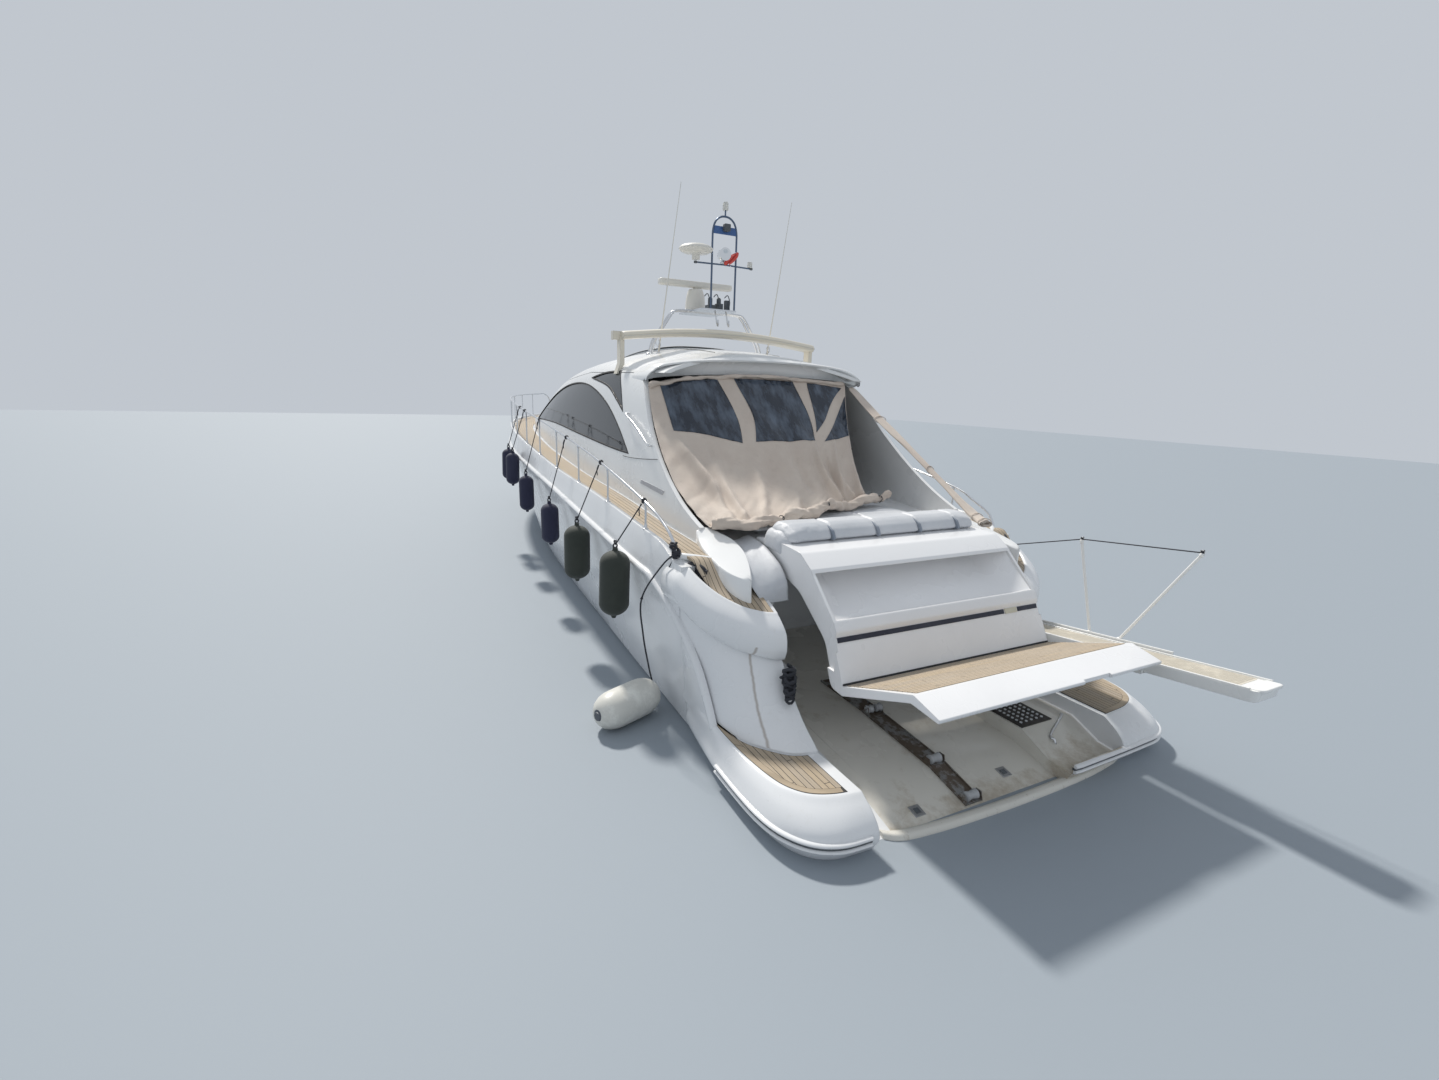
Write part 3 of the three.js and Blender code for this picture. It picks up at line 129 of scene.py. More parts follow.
# Plan outlines, x and half-breadth: the quarters at foot and head, and the platform at its top and its strip
QUARTER_FOOT = [(-6.6, 2.18), (-7.2, 2.225), (-7.56, 2.19), (-7.97, 2.11), (-8.23, 1.93), (-8.34, 1.79),
                (-8.38, 1.6)]
QUARTER_HEAD = [(-6.6, 2.29), (-6.95, 2.27), (-7.3, 2.16), (-7.53, 1.99), (-7.65, 1.83), (-7.72, 1.7),
                (-7.75, 1.56)]
SHOULDER_TOP = [(-6.6, 2.25), (-6.95, 2.23), (-7.26, 2.13), (-7.48, 1.97), (-7.59, 1.81), (-7.64, 1.68),
                (-7.66, 1.54)]
PLATFORM_EDGE = [(-7.0, 2.17), (-7.79, 2.23), (-8.44, 2.19), (-8.75, 2.08), (-8.9, 1.86), (-8.95, 1.5),
                 (-8.98, 0.7)]
PLATFORM_STRIP = [(-7.0, 2.23), (-7.9, 2.33), (-8.6, 2.32), (-8.96, 2.21), (-9.15, 1.98), (-9.19, 1.6),
                  (-9.21, 0.7)]
SHOULDER_SLOPE = 0.4


def between(table, x):
    """Smooth values between the stations of a table that runs down in x, its first column."""
    last = len(table) - 1
    i = next((k for k, row in enumerate(table) if row[0] <= x), last)
    i = max(i, 1)
    before, low, high, after = table[max(i - 2, 0)], table[i - 1], table[i], table[min(i + 1, last)]
    span = high[0] - low[0]
    t = (x - low[0]) / span
    values = []
    for c in range(1, len(low)):
        straight = (high[c] - low[c]) / span
        slope_low = straight if before is low else (high[c] - before[c]) / (high[0] - before[0])
        slope_high = straight if after is high else (after[c] - low[c]) / (after[0] - low[0])
        values.append((2 * t ** 3 - 3 * t ** 2 + 1) * low[c] + (t ** 3 - 2 * t ** 2 + t) * slope_low * span
                      + (3 * t ** 2 - 2 * t ** 3) * high[c] + (t ** 3 - t ** 2) * slope_high * span)
    return values


def smooth_line(points, steps=6):
    """A smooth line through points, with so many steps between each two."""
    knots = [Vector(point) for point in points]
    line = []
    for i in range(len(knots) - 1):
        before, low, high = knots[max(i - 1, 0)], knots[i], knots[i + 1]
        after = knots[min(i + 2, len(knots) - 1)]
        for k in range(steps):
            t = k / steps
            line.append(0.5 * (2 * low + (high - before) * t + (2 * before - 5 * low + 4 * high - after)
                               * t ** 2
                               + (3 * low - before - 3 * high + after) * t ** 3))
    line.append(knots[-1])
    return line


def evenly(start, stop, count):
    """So many values from start to stop, both included."""
    return [start + (stop - start) * k / (count - 1) for k in range(count)]


def lofted(rings, ends=True):
    """A skin through rings of equal length, closed at both ends."""
    count = len(rings[0])
    points = [tuple(point) for ring in rings for point in ring]
    faces = []
    for r in range(len(rings) - 1):
        for i in range(count):
            a = r * count + i
            b = r * count + (i + 1) % count
            faces.append((a, b, b + count, a + count))
    if ends:
        faces.append(tuple(range(count)))
        faces.append(tuple(range(len(points) - count, len(points))))
    return points, faces


def grid_faces(rows, columns):
    """The faces of a sheet of so many rows and columns, whose points are listed row by row."""
    corners = [r * (columns + 1) + c for r in range(rows) for c in range(columns)]
    return [(a, a + 1, a + columns + 2, a + columns + 1) for a in corners]


def prism(outline, axis, low, high):
    """An outline drawn across x, y or z, from one height along it to another."""
    place = {
        "x": lambda a, b, h: (h, a, b),
        "y": lambda a, b, h: (a, h, b),
        "z": lambda a, b, h: (a, b, h),
    }[axis]
    return lofted([[place(a, b, height) for a, b in outline] for height in (low, high)])


def box(x, y, z):
    return prism([(x[0], y[0]), (x[1], y[0]), (x[1], y[1]), (x[0], y[1])], "z", *z)


def both_sides(half):
    """Mirrors a half ring that starts and ends on the centreline."""
    return half + [(x, -y, z) for x, y, z in reversed(half[1:-1])]


def made(name, *shapes):
    """One closed mesh object of several shapes, its doubles merged and its faces turned out."""
    work = bmesh.new()
    for points, faces in shapes:
        corners = [work.verts.new(point) for point in points]
        for face in faces:
            work.faces.new([corners[i] for i in face])
    bmesh.ops.remove_doubles(work, verts=work.verts, dist=1e-5)
    bmesh.ops.recalc_face_normals(work, faces=work.faces)
    mesh = bpy.data.meshes.new(name)
    work.to_mesh(mesh)
    work.free()
    piece = bpy.data.objects.new(name, mesh)
    bpy.context.scene.collection.objects.link(piece)
    return piece


def carve(piece, operation, *tools, solver="MANIFOLD"):
    """Cuts, joins or crosses a piece with tools, and deletes the tools."""
    for tool in tools:
        step = piece.modifiers.new("step", "BOOLEAN")
        step.object = tool
        step.operation = operation
        step.solver = solver
    bpy.context.view_layer.update()
    result = bpy.data.meshes.new_from_object(piece.evaluated_get(bpy.context.evaluated_depsgraph_get()))
    piece.modifiers.clear()
    old = piece.data
    piece.data = result
    bpy.data.meshes.remove(old)
    for tool in tools:
        bpy.data.meshes.remove(tool.data)
    return piece


def smoothed(piece, angle=32):
    """Shades a piece smooth, apart from edges sharper than an angle in degrees."""
    piece.data.shade_smooth()
    piece.data.set_sharp_from_angle(angle=math.radians(angle))
    return piece


def hull_values(x):
    return between(HULL_STATIONS, max(x, -7.0))


def bend(start, middle, end, steps):
    """A shallow curve through three points, without its last."""
    line = []
    for k in range(steps):
        t = k / steps
        line.append(tuple(a * (2 * t - 1) * (t - 1) + b * 4 * t * (1 - t) + c * t * (2 * t - 1)
                          for a, b, c in zip(start, middle, end)))
    return line


def hull_section(x):
    """Half a section from the keel round the chine, the strake and the toe rail to the middle of the deck."""
    keel_z, chine_y, chine_z, rub_y, rub_z, deck_y, deck_z = hull_values(x)
    toe = min(TOE_RAIL_WIDE, deck_y / 2)
    top = deck_z + TOE_RAIL_HIGH
    round_off = min(0.014, toe / 4)
    half = bend((0, keel_z), (chine_y * 0.55, keel_z + (chine_z - keel_z) * 0.5), (chine_y, chine_z), 6)
    half += [(chine_y, chine_z)]
    half += bend((chine_y * 1.02, chine_z + 0.045),
                 ((chine_y + rub_y) / 2 + 0.01 * chine_y, (chine_z + rub_z) / 2),
                 (rub_y, rub_z), 10)
    half += [(rub_y + (deck_y - rub_y) * t, rub_z + (top - round_off - rub_z) * t)
             for t in (0, 0.33, 0.67, 1)]
    half += [(deck_y - round_off * 0.3, top - round_off * 0.3), (deck_y - round_off, top)]
    half += [(deck_y - toe + round_off, top), (deck_y - toe + round_off * 0.3, top - round_off * 0.3)]
    half += [(deck_y - toe, top - round_off), (deck_y - toe - 0.005, deck_z)]
    half += [((deck_y - toe - 0.005) * (1 - t), deck_z + DECK_CAMBER * t) for t in (0.25, 0.5, 0.75, 1)]
    return half


def section_ring(x, half):
    return both_sides([(x, y, z) for y, z in half])


nose = [(9.6 + 0.07 * math.sin(math.radians(a)), math.cos(math.radians(a))) for a in (88, 70, 50, 30, 15)]
nose_rings = [section_ring(x, [(y * narrow, z) for y, z in hull_section(9.6)]) for x, narrow in nose]
hull_rings = [section_ring(x, hull_section(x)) for x in evenly(9.6, QUARTER_X, 120)]


def stern_ring(x):
    """The bottom runs on under the bathing platform to the transom."""
    keel_z, chine_y, chine_z = hull_values(x)[:3]
    rise = max(0, (-7.0 - x) * 0.02)
    half = bend((0, keel_z + rise), (chine_y * 0.55, keel_z + rise + (chine_z - keel_z) * 0.5),
                (chine_y, chine_z + rise), 6)
    half += [(chine_y, chine_z + rise), (chine_y * 1.02, chine_z + 0.045 + rise)]
    half += [(chine_y + 0.06, PLATFORM_TOP - 0.06), (0, PLATFORM_TOP - 0.06)]
    return section_ring(x, half)


def level_ring(outline, z, slope=0.0, out=0.0):
    """A level or sloping ring round a plan outline, moved out from it and mirrored."""
    line = smooth_line(outline, 8)
    half = []
    for i, (x, y) in enumerate(line):
        along = (line[min(i + 1, len(line) - 1)] - line[max(i - 1, 0)]).normalized()
        half.append((x + along.y * out, y - along.x * out, z + slope * min(0, x + 6.9)))
    return half + [(x, -y, height) for x, y, height in reversed(half)]


def mixed(low, high, t):
    """An outline part of the way from one to another of as many points."""
    return [tuple(a + (b - a) * t for a, b in zip(p, q)) for p, q in zip(low, high)]


# The wall of a quarter leans in and hollows slightly; the fat moulding on it is round outside.
quarter_rings = [level_ring(QUARTER_FOOT, z) for z in (PLATFORM_TOP - 0.1, PLATFORM_TOP + 0.02)]
for step in evenly(0.08, 1, 12):
    wall_z = PLATFORM_TOP + 0.04 + (1.33 - PLATFORM_TOP - 0.04) * step
    quarter_rings.append(level_ring(mixed(QUARTER_FOOT, QUARTER_HEAD, step ** 0.9), wall_z,
                                    SHOULDER_SLOPE * step))
MOULDING = smooth_line([(1.336, 0.02), (1.36, 0.05), (1.45, 0.075), (1.56, 0.062), (1.64, 0.03),
                        (1.69, -0.018), (1.705, -0.045), (1.69, -0.066), (1.655, -0.075)], 3)
for moulding_z, moulding_out in MOULDING:
    shoulder = min(1, max(0, (moulding_z - 1.6) / 0.09))
    quarter_rings.append(level_ring(mixed(QUARTER_HEAD, SHOULDER_TOP, shoulder), moulding_z, SHOULDER_SLOPE,
                                    moulding_out))
PLATFORM_SIDE = smooth_line([(-0.17, -0.26, 0), (-0.02, -0.09, 0), (0.09, -0.02, 0), (0.125, 0, 0),
                             (0.185, 0, 0), (0.25, -0.015, 0.08), (0.32, 0.0, 0.45), (0.37, 0.02, 0.86),
                             (0.393, 0.012, 0.98), (0.4, 0, 1)], 3)
platform_rings = [level_ring(mixed(PLATFORM_STRIP, PLATFORM_EDGE, top), z, 0, out)
                  for z, out, top in PLATFORM_SIDE]

hull = made("yacht_hull", lofted(nose_rings + hull_rings))
carve(
    hull,
    "UNION",
    made("stern_bottom", lofted([stern_ring(x) for x in evenly(QUARTER_X + 0.01, TRANSOM_X, 12)])),
    made("quarters", lofted(quarter_rings)),
    made("platform", lofted(platform_rings)),
)

WELL = [(2.9, 0), (2.9, 1.15), (1.7, 1.48), (0, 1.6), (-5.25, 1.6), (-5.25, 0)]
SLIP_PROFILE = [(-9.5, -0.11), (-9.06, 0), (-8.6, 0.11), (-7.6, 0.18), (-5.4, 0.2), (-5.4, 1.2), (-6.5, 1.56),
                (-9.5, 1.56)]
SHELF_RECESS = [(-7.59, 0.265), (-8.655, 0.265), (-8.96, 0.125), (-9.5, 0.09), (-9.5, 0.9), (-7.59, 0.9)]
SIDE_STEPS = [(-7.555, 1.612, PLATFORM_TOP + 0.006), (-7.33, 1.562, 0.76), (-7.12, 1.542, 1.135)]
well_plan = WELL + [(x, -y) for x, y in reversed(WELL[1:-1])]
engine_bay = [(-1.45, -0.12), (-1.15, -0.23), (-0.9, -0.3), (-0.6, -0.3), (0, -0.46), (0.6, -0.3),
              (0.9, -0.3), (1.15, -0.23), (1.45, -0.12), (1.45, SOLE_Z + 0.01), (-1.45, SOLE_Z + 0.01)]
hollows = [
    prism(well_plan, "z", SOLE_Z, 4),
    prism(engine_bay, "x", -4.2, -1.8),
    prism(SLIP_PROFILE, "y", SLIP_STARBOARD, WELL_HALF - 0.004),
    box((-9.5, -6.56), (-WELL_HALF, WELL_HALF), (PLATFORM_TOP + 0.003, 2.6)),
    prism(SHELF_RECESS, "y", -DOOR_HALF - 0.028, SLIP_STARBOARD + 0.02),
    prism([(-5.3, 0.52), (-8.6, 0.52), (-8.6, 1.08), (-5.3, 1.08)], "y", -1.865, -1.36),
]
hollows += [prism(SLIP_PROFILE[:3] + [(-7.548, 0.18), (-7.548, 1.56), (-9.5, 1.56)], "y", 1.2, SLIP_PORT)]
for step_x, step_y, step_z in SIDE_STEPS:
    hollows += [box((-9.5, step_x), sorted((side * 1.32, side * step_y)), (step_z, 2.6)) for side in (1, -1)]
carve(hull, "DIFFERENCE", *[made(f"hollow_{i}", shape) for i, shape in enumerate(hollows)])


def shader(tree, kind, inputs=None, **settings):
    """A shader node, its inputs set, or linked where they are another node's output."""
    new = tree.nodes.new("ShaderNode" + kind)
    for key, value in settings.items():
        setattr(new, key, value)
    for key, value in (inputs or {}).items():
        if isinstance(value, bpy.types.NodeSocket):
            tree.links.new(value, new.inputs[key])
        else:
            new.inputs[key].default_value = value
    return new


def blank_finish(name):
    """A new material with its node tree and its shader."""
    finish = bpy.data.materials.new(name)
    finish.use_nodes = True
    return finish, finish.node_tree, finish.node_tree.nodes["Principled BSDF"]


def sum_of(tree, operation, first, second, clamp=False):
    return shader(tree, "Math", {0: first, 1: second}, operation=operation, use_clamp=clamp).outputs[0]


def plus(tree, first, second, clamp=False):
    return sum_of(tree, "ADD", first, second, clamp)


def times(tree, first, second, clamp=False):
    return sum_of(tree, "MULTIPLY", first, second, clamp)


def between_colours(tree, factor, first, second):
    """A colour between two, by a factor; each is a colour or an output."""
    mix = shader(tree, "Mix", {0: factor, 6: first, 7: second}, data_type="RGBA")
    return mix.outputs[2]


def stretch(tree, low, high, value):
    """A value stretched so that low becomes nought and high becomes one."""
    return shader(tree, "MapRange", {"Value": value, "From Min": low, "From Max": high}).outputs[0]


def object_place(tree, scale=(1, 1, 1)):
    place = shader(tree, "TexCoord").outputs["Object"]
    return shader(tree, "Mapping", {"Vector": place, "Scale": scale}).outputs[0]


def clouds(tree, place, scale, detail=3.0, roughness=0.5):
    return shader(tree, "TexNoise",
                  {"Vector": place, "Scale": scale, "Detail": detail, "Roughness": roughness}).outputs[0]


def link(tree, output, target):
    tree.links.new(output, target)


def slipway_wear(tree, place, base):
    """Cream on the slipway's floor, browned in patches and along its lip, and a rust run to port."""
    x, y, z = shader(tree, "SeparateXYZ", {0: place}).outputs[:3]

    def inside(value, low, high):
        above = sum_of(tree, "GREATER_THAN", value, low)
        return times(tree, above, sum_of(tree, "LESS_THAN", value, high))

    floor = times(tree, inside(z, -0.2, 0.3), inside(y, -1.33, 1.33))
    floor = times(tree, floor, inside(x, -9.2, -5.4))
    mud = clouds(tree, place, 3.4, 6.0, 0.72)
    lip = times(tree, stretch(tree, -8.75, -9.1, x), 0.22)
    brown = times(tree, stretch(tree, 0.56, 0.82, plus(tree, mud, lip)), 0.7, True)
    cream = between_colours(tree, brown, (0.74, 0.71, 0.64, 1), (0.38, 0.3, 0.2, 1))
    base = between_colours(tree, floor, base, cream)
    drift = times(tree, clouds(tree, object_place(tree, (1, 1, 4)), 5.0, 3.0), 0.02)
    run_y = plus(tree, times(tree, z, -0.15), plus(tree, drift, 2.03))
    near = sum_of(tree, "ABSOLUTE", sum_of(tree, "SUBTRACT", y, run_y), 0.0)
    run = times(tree, stretch(tree, 0.016, 0.003, near), inside(z, 0.42, 1.14))
    run = times(tree, times(tree, run, inside(x, -8.4, -7.5)), 0.55, True)
    return between_colours(tree, run, base, (0.2, 0.13, 0.07, 1))


def gelcoat(name, colour, worn=(0.6, 0.58, 0.52), grime=0.25, gloss=0.2, bottom_paint=False):
    """Polished gelcoat: slightly clouded, chalky in places, with faint run marks and softened edges."""
    finish, tree, surface = blank_finish(name)
    place = object_place(tree)
    patches = clouds(tree, place, 0.9, 4.0, 0.6)
    base = between_colours(tree, stretch(tree, 0.45, 0.85, patches), (*colour, 1),
                           (*[c * 0.93 for c in colour], 1))
    runs = clouds(tree, object_place(tree, (7, 7, 0.45)), 1.6, 5.0, 0.65)
    marks = times(tree, stretch(tree, 0.6, 0.82, runs), grime, True)
    base = between_colours(tree, marks, base, (*worn, 1))
    specks = clouds(tree, place, 42.0, 2.0)
    base = between_colours(tree, times(tree, stretch(tree, 0.66, 0.8, specks), grime * 0.6, True), base,
                           (*[c * 0.6 for c in worn], 1))
    if bottom_paint:
        height = shader(tree, "SeparateXYZ", {0: place}).outputs[2]
        base = between_colours(tree, sum_of(tree, "LESS_THAN", height, -0.012), base, (0.012, 0.016, 0.03, 1))
        base = slipway_wear(tree, place, base)
    link(tree, base, surface.inputs["Base Color"])
    link(tree, sum_of(tree, "MULTIPLY_ADD", stretch(tree, 0.3, 0.8, patches), 0.16),
         surface.inputs["Roughness"])
    surface.inputs["Roughness"].links[0].from_node.inputs[2].default_value = gloss
    surface.inputs["Coat Weight"].default_value = 0.35
    surface.inputs["Coat Roughness"].default_value = 0.08
    soft_edge = shader(tree, "Bevel", {"Radius": 0.012}, samples=4)
    waves = plus(tree, clouds(tree, place, 2.2, 2.0), times(tree, specks, 0.05))
    skin = shader(tree, "Bump",
                  {"Strength": 0.12, "Distance": 0.02, "Height": waves, "Normal": soft_edge.outputs[0]})
    link(tree, skin.outputs[0], surface.inputs["Normal"])
    return finish


def fitted(piece, finish, slot, *nodes, body="boat"):
    """Gives a piece its finish, lets it ride, and puts it in place of CAD nodes; the slot is not used."""
    piece.data.materials.clear()
    piece.data.materials.append(finish)
    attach(piece, body)
    if nodes:
        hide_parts(*nodes)
    return piece


rail_ends = [made("rail_end", prism([(-6.2, 1.875), (-6.45, 1.815), (-6.75, 1.715), (-7.0, 1.7), (-7.0, 2.1),
                                     (-6.2, 2.1)], "y",
                                    *sorted((facing * 1.9, facing * 2.5)))) for facing in (1, -1)]
carve(hull, "DIFFERENCE", *rail_ends)
hull_gelcoat = gelcoat("hull_gelcoat", (0.8, 0.81, 0.82), bottom_paint=True)
fitted(smoothed(hull), hull_gelcoat, "gelcoat", "hull")

# Superstructure and hardtop: one curved shell of gelcoat laminate, seamed under the roof. The arches
# sweep down from the hardtop into the cockpit coamings.
WALL = 0.055
# x, foot half-breadth, side height and half-breadth, roof edge height and half-breadth, crown height
CABIN_STATIONS = [
    (7.7, 0.3, 2.39, 0.27, 2.4, 0.2, 2.405),
    (6.9, 0.8, 2.43, 0.74, 2.45, 0.62, 2.47),
    (5.6, 1.29, 2.49, 1.18, 2.525, 0.98, 2.56),
    (4.5, 1.56, 2.54, 1.44, 2.58, 1.18, 2.63),
    (3.7, 1.69, 2.57, 1.57, 2.62, 1.26, 2.69),
    (2.9, 1.79, 2.72, 1.62, 2.87, 1.3, 3.01),
    (1.9, 1.87, 2.95, 1.65, 3.19, 1.32, 3.39),
    (0.9, 1.92, 3.15, 1.67, 3.45, 1.33, 3.74),
    (-0.3, 1.945, 3.3, 1.69, 3.616, 1.35, 3.92),
    (-1.7, 1.955, 3.4, 1.7, 3.7, 1.37, 4.02),
    (-3.1, 1.955, 3.42, 1.7, 3.686, 1.38, 3.99),
    (-4.5, 1.945, 3.35, 1.69, 3.584, 1.37, 3.835),
    (-6.0, 1.91, 3.2, 1.68, 3.4, 1.36, 3.6),
    (-7.4, 1.76, 3.0, 1.6, 3.2, 1.3, 3.4),
]
ARCH_EDGE = [(-4.05, 3.56), (-4.4, 3.33), (-4.85, 2.87), (-5.35, 2.48), (-5.9, 2.16), (-6.5, 1.93),
             (-7.05, 1.79), (-7.33, 1.7)]
ROOF_SEAM = [(1.15, 3.42), (-1.5, 3.6), (-4.6, 3.565)]
SEAM = 0.006


def cabin_section(x, inset):
    foot_y, side_z, side_y, edge_z, edge_y, crown_z = between(CABIN_STATIONS, x)
    foot_z = hull_values(x)[6] - 0.2
    under = 0.1 if inset > 0 else 0
    rise = crown_z - edge_z
    skin = [
        (foot_y - inset, foot_z - under),
        (foot_y - (foot_y - side_y) * 0.25 - inset, foot_z + (side_z - foot_z) * 0.55),
        (side_y + 0.06 - inset, side_z - inset),
        (edge_y + (side_y - edge_y) * 0.55 - inset * 0.7, edge_z - inset * 0.7),
        (edge_y * 0.72, edge_z + rise * 0.62 - inset),
        (edge_y * 0.38, edge_z + rise * 0.93 - inset),
        (0, crown_z - inset),
        (-edge_y * 0.38, edge_z + rise * 0.93 - inset),
    ]
    curve = [tuple(point) for point in smooth_line(skin, 6)[:37]]
    return [(0, foot_z - 0.3 - under)] + curve


def cabin_skin(name, inset, front=7.7):
    return made(name, lofted([section_ring(x, cabin_section(x, inset)) for x in evenly(front, -7.4, 110)]))


def grown(outline, out):
    """A closed outline moved outwards, or inwards where the distance is negative."""
    area = sum(a[0] * b[1] - b[0] * a[1] for a, b in zip(outline, outline[1:] + outline[:1]))
    turn = math.copysign(1, area)
    moved = []
    for i, (a, b) in enumerate(outline):
        before = Vector(outline[i - 1])
        after = Vector(outline[(i + 1) % len(outline)])
        here = Vector((a, b))
        side_in = (here - before).normalized()
        side_out = (after - here).normalized()
        along = (side_in + side_out).normalized()
        reach = out * turn / max(0.35, along.dot(side_out))
        moved.append((a + along.y * reach, b - along.x * reach))
    return moved


def flat(line):
    return [tuple(point) for point in line]


SIDE_WINDOW_TOP = [(3.15, 2.6), (2.3, 2.9), (1.3, 3.16), (0.3, 3.34), (-0.7, 3.42), (-1.6, 3.4), (-2.4, 3.28),
                   (-3.1, 3.08), (-3.7, 2.8), (-4.15, 2.52)]
SIDE_WINDOW_FOOT = [(-4.15, 2.52), (-3.3, 2.53), (-1.5, 2.59), (0.3, 2.65), (1.8, 2.64), (3.15, 2.6)]
UPPER_WINDOW_TOP = [(-1.75, 3.51), (-2.5, 3.59), (-3.18, 3.6)]
UPPER_WINDOW_AFT = [(-3.18, 3.6), (-3.5, 3.33), (-3.72, 3.06)]
UPPER_WINDOW_FOOT = [(-3.72, 3.06), (-3.38, 3.2), (-2.8, 3.39), (-1.75, 3.51)]
WINDSCREEN = [(3.62, 0), (3.48, 0.7), (3.1, 1.23), (2.3, 1.29), (1.5, 1.3), (1.12, 1.24), (1.02, 0.7),
              (0.98, 0)]
side_window = flat(smooth_line(SIDE_WINDOW_TOP, 5)[:-1] + smooth_line(SIDE_WINDOW_FOOT, 4)[:-1])
upper_window = flat(smooth_line(UPPER_WINDOW_TOP, 5)[:-1] + smooth_line(UPPER_WINDOW_AFT, 5)[:-1]
                    + smooth_line(UPPER_WINDOW_FOOT, 5)[:-1])
screen_half = flat(smooth_line([(3.62, -0.7)] + WINDSCREEN + [(0.98, -0.7)], 4)[4:-4])
windscreen = screen_half + [(x, -y) for x, y in reversed(screen_half[1:-1])]


def window_tool(outline, facing, out=0.0):
    return made("window_tool", prism(grown(outline, out), "y", *sorted((facing * 0.9, facing * 2.6))))


def screen_tool(out=0.0):
    return made("screen_tool", prism(grown(windscreen, out), "z", 2.5, 4.5))


def window_tools():
    tools = [window_tool(outline, facing) for outline in (side_window, upper_window) for facing in (1, -1)]
    return tools + [screen_tool()]


SUNROOF_X = (-2.15, -0.35)
SUNROOF_HALF = 0.72
open_aft = flat(smooth_line(ARCH_EDGE, 6)) + [(-7.33, 1.3), (-9.0, 1.3), (-9.0, 5.0), (-4.05, 5.0)]
above_seam = ROOF_SEAM + [(-4.6, 5), (1.15, 5)]
superstructure = cabin_skin("cabin_shell", 0)
carve(superstructure, "DIFFERENCE", cabin_skin("inside", WALL, 3.79),
      made("aft_tool", prism(open_aft, "y", -3, 3)),
      made("roof_tool", prism(grown(above_seam, SEAM), "y", -3, 3)), *window_tools())
roof_edge = [(-4.2 - 0.3 * (y / 1.4) ** 2, y) for y in evenly(-1.75, 1.75, 25)]
hardtop = cabin_skin("hardtop_shell", 0)
carve(hardtop, "INTERSECT", made("roof_zone", prism(above_seam, "y", -3, 3)))
carve(hardtop, "DIFFERENCE", cabin_skin("inside", WALL, 3.79),
      made("roof_edge_tool", prism(roof_edge + [(-9, 1.75), (-9, -1.75)], "z", 3, 5)),
      made("sunroof_tool", box(SUNROOF_X, (-SUNROOF_HALF, SUNROOF_HALF), (3.1, 4.5))), *window_tools())

# Each coaming ends in a pointed turtle back over the quarter, and the hardtop in a visor that is hollow below
COAMING_CUT = -6.4
# x, half-breadth and height of its outer edge, then of its inner upper edge
COAMING_END = [(-6.38, 1.89, 1.93, 1.74, 1.96), (-6.5, 1.915, 1.87, 1.67, 1.925),
               (-6.65, 1.942, 1.825, 1.6, 1.885), (-6.8, 1.957, 1.795, 1.585, 1.845),
               (-6.95, 1.962, 1.765, 1.6, 1.805), (-7.1, 1.958, 1.735, 1.645, 1.765),
               (-7.23, 1.938, 1.712, 1.695, 1.73), (-7.33, 1.9, 1.693, 1.74, 1.702),
               (-7.4, 1.845, 1.678, 1.775, 1.682), (-7.425, 1.81, 1.668, 1.79, 1.668)]
carve(superstructure, "DIFFERENCE", made("end_tool", box((-7.6, COAMING_CUT), (-2.2, 2.2), (1.2, 2.2))))
for facing in (1, -1):
    end_rings = []
    for x, y_out, z_out, y_in, z_in in smooth_line(COAMING_END, 4):
        bulge_y, bulge_z = (y_out + y_in) / 2, (z_out + z_in) / 2 + 0.016
        ring = [(y_in - 0.012, 1.4), (y_out - 0.012, 1.4), (y_out, z_out - 0.012),
                (y_out - 0.008, z_out + 0.002), (bulge_y, bulge_z), (y_in + 0.01, z_in), (y_in, z_in - 0.01)]
        end_rings.append([(x, facing * y, z) for y, z in ring])
    carve(superstructure, "UNION", made("coaming_end", lofted(end_rings)))

# y, height of the visor's lip and of its underside where it meets the canvas
VISOR = [(1.715, 3.5, 3.47), (1.7, 3.545, 3.48), (1.63, 3.61, 3.49), (1.48, 3.69, 3.52), (1.02, 3.755, 3.56),
         (0.47, 3.79, 3.585), (-0.19, 3.8, 3.59), (-0.82, 3.785, 3.585), (-1.3, 3.745, 3.565),
         (-1.55, 3.68, 3.54), (-1.7, 3.6, 3.51), (-1.715, 3.53, 3.49)]


def visor_ring(y, lip_z, under_z):
    """From the roof's skin over the rounded lip, and forward under it to the canvas."""
    reach = 1 - (abs(y) / 1.8) ** 6
    lip_x = -4.34 - 0.06 * reach
    top_z = max(lip_z + 0.005, cabin_height(-3.75, min(abs(y), 1.69)) - 0.01)
    return [(-3.75, y, top_z), (-4.1, y, (top_z + lip_z) / 2 + 0.012), (lip_x + 0.03, y, lip_z + 0.004),
            (lip_x, y, lip_z - 0.012), (lip_x + 0.01, y, lip_z - 0.032), (lip_x + 0.05, y, lip_z - 0.04),
            (-4.27, y, (lip_z + under_z) / 2), (-4.24, y, under_z), (-4.15, y, under_z - 0.005),
            (-3.75, y, under_z)]


def cabin_height(x, y):
    """Height of the cabin's skin at a place on the roof."""
    curve = cabin_section(x, 0)[1:]
    for (y_out, z_out), (y_in, z_in) in zip(curve, curve[1:]):
        if y_in <= y <= y_out and z_out > 3:
            return z_out + (z_in - z_out) * (y_out - y) / (y_out - y_in)
    return curve[-1][1]


visor_rows = smooth_line(VISOR, 5)
visor = made("hardtop_visor", lofted([visor_ring(*row) for row in visor_rows]))
cabin_gelcoat = gelcoat("cabin_gelcoat", (0.84, 0.845, 0.84), grime=0.14)
fitted(smoothed(visor, 40), cabin_gelcoat, "gelcoat")
fitted(smoothed(superstructure), cabin_gelcoat, "gelcoat", "superstructure")
fitted(smoothed(hardtop), cabin_gelcoat, "gelcoat", "hardtop")

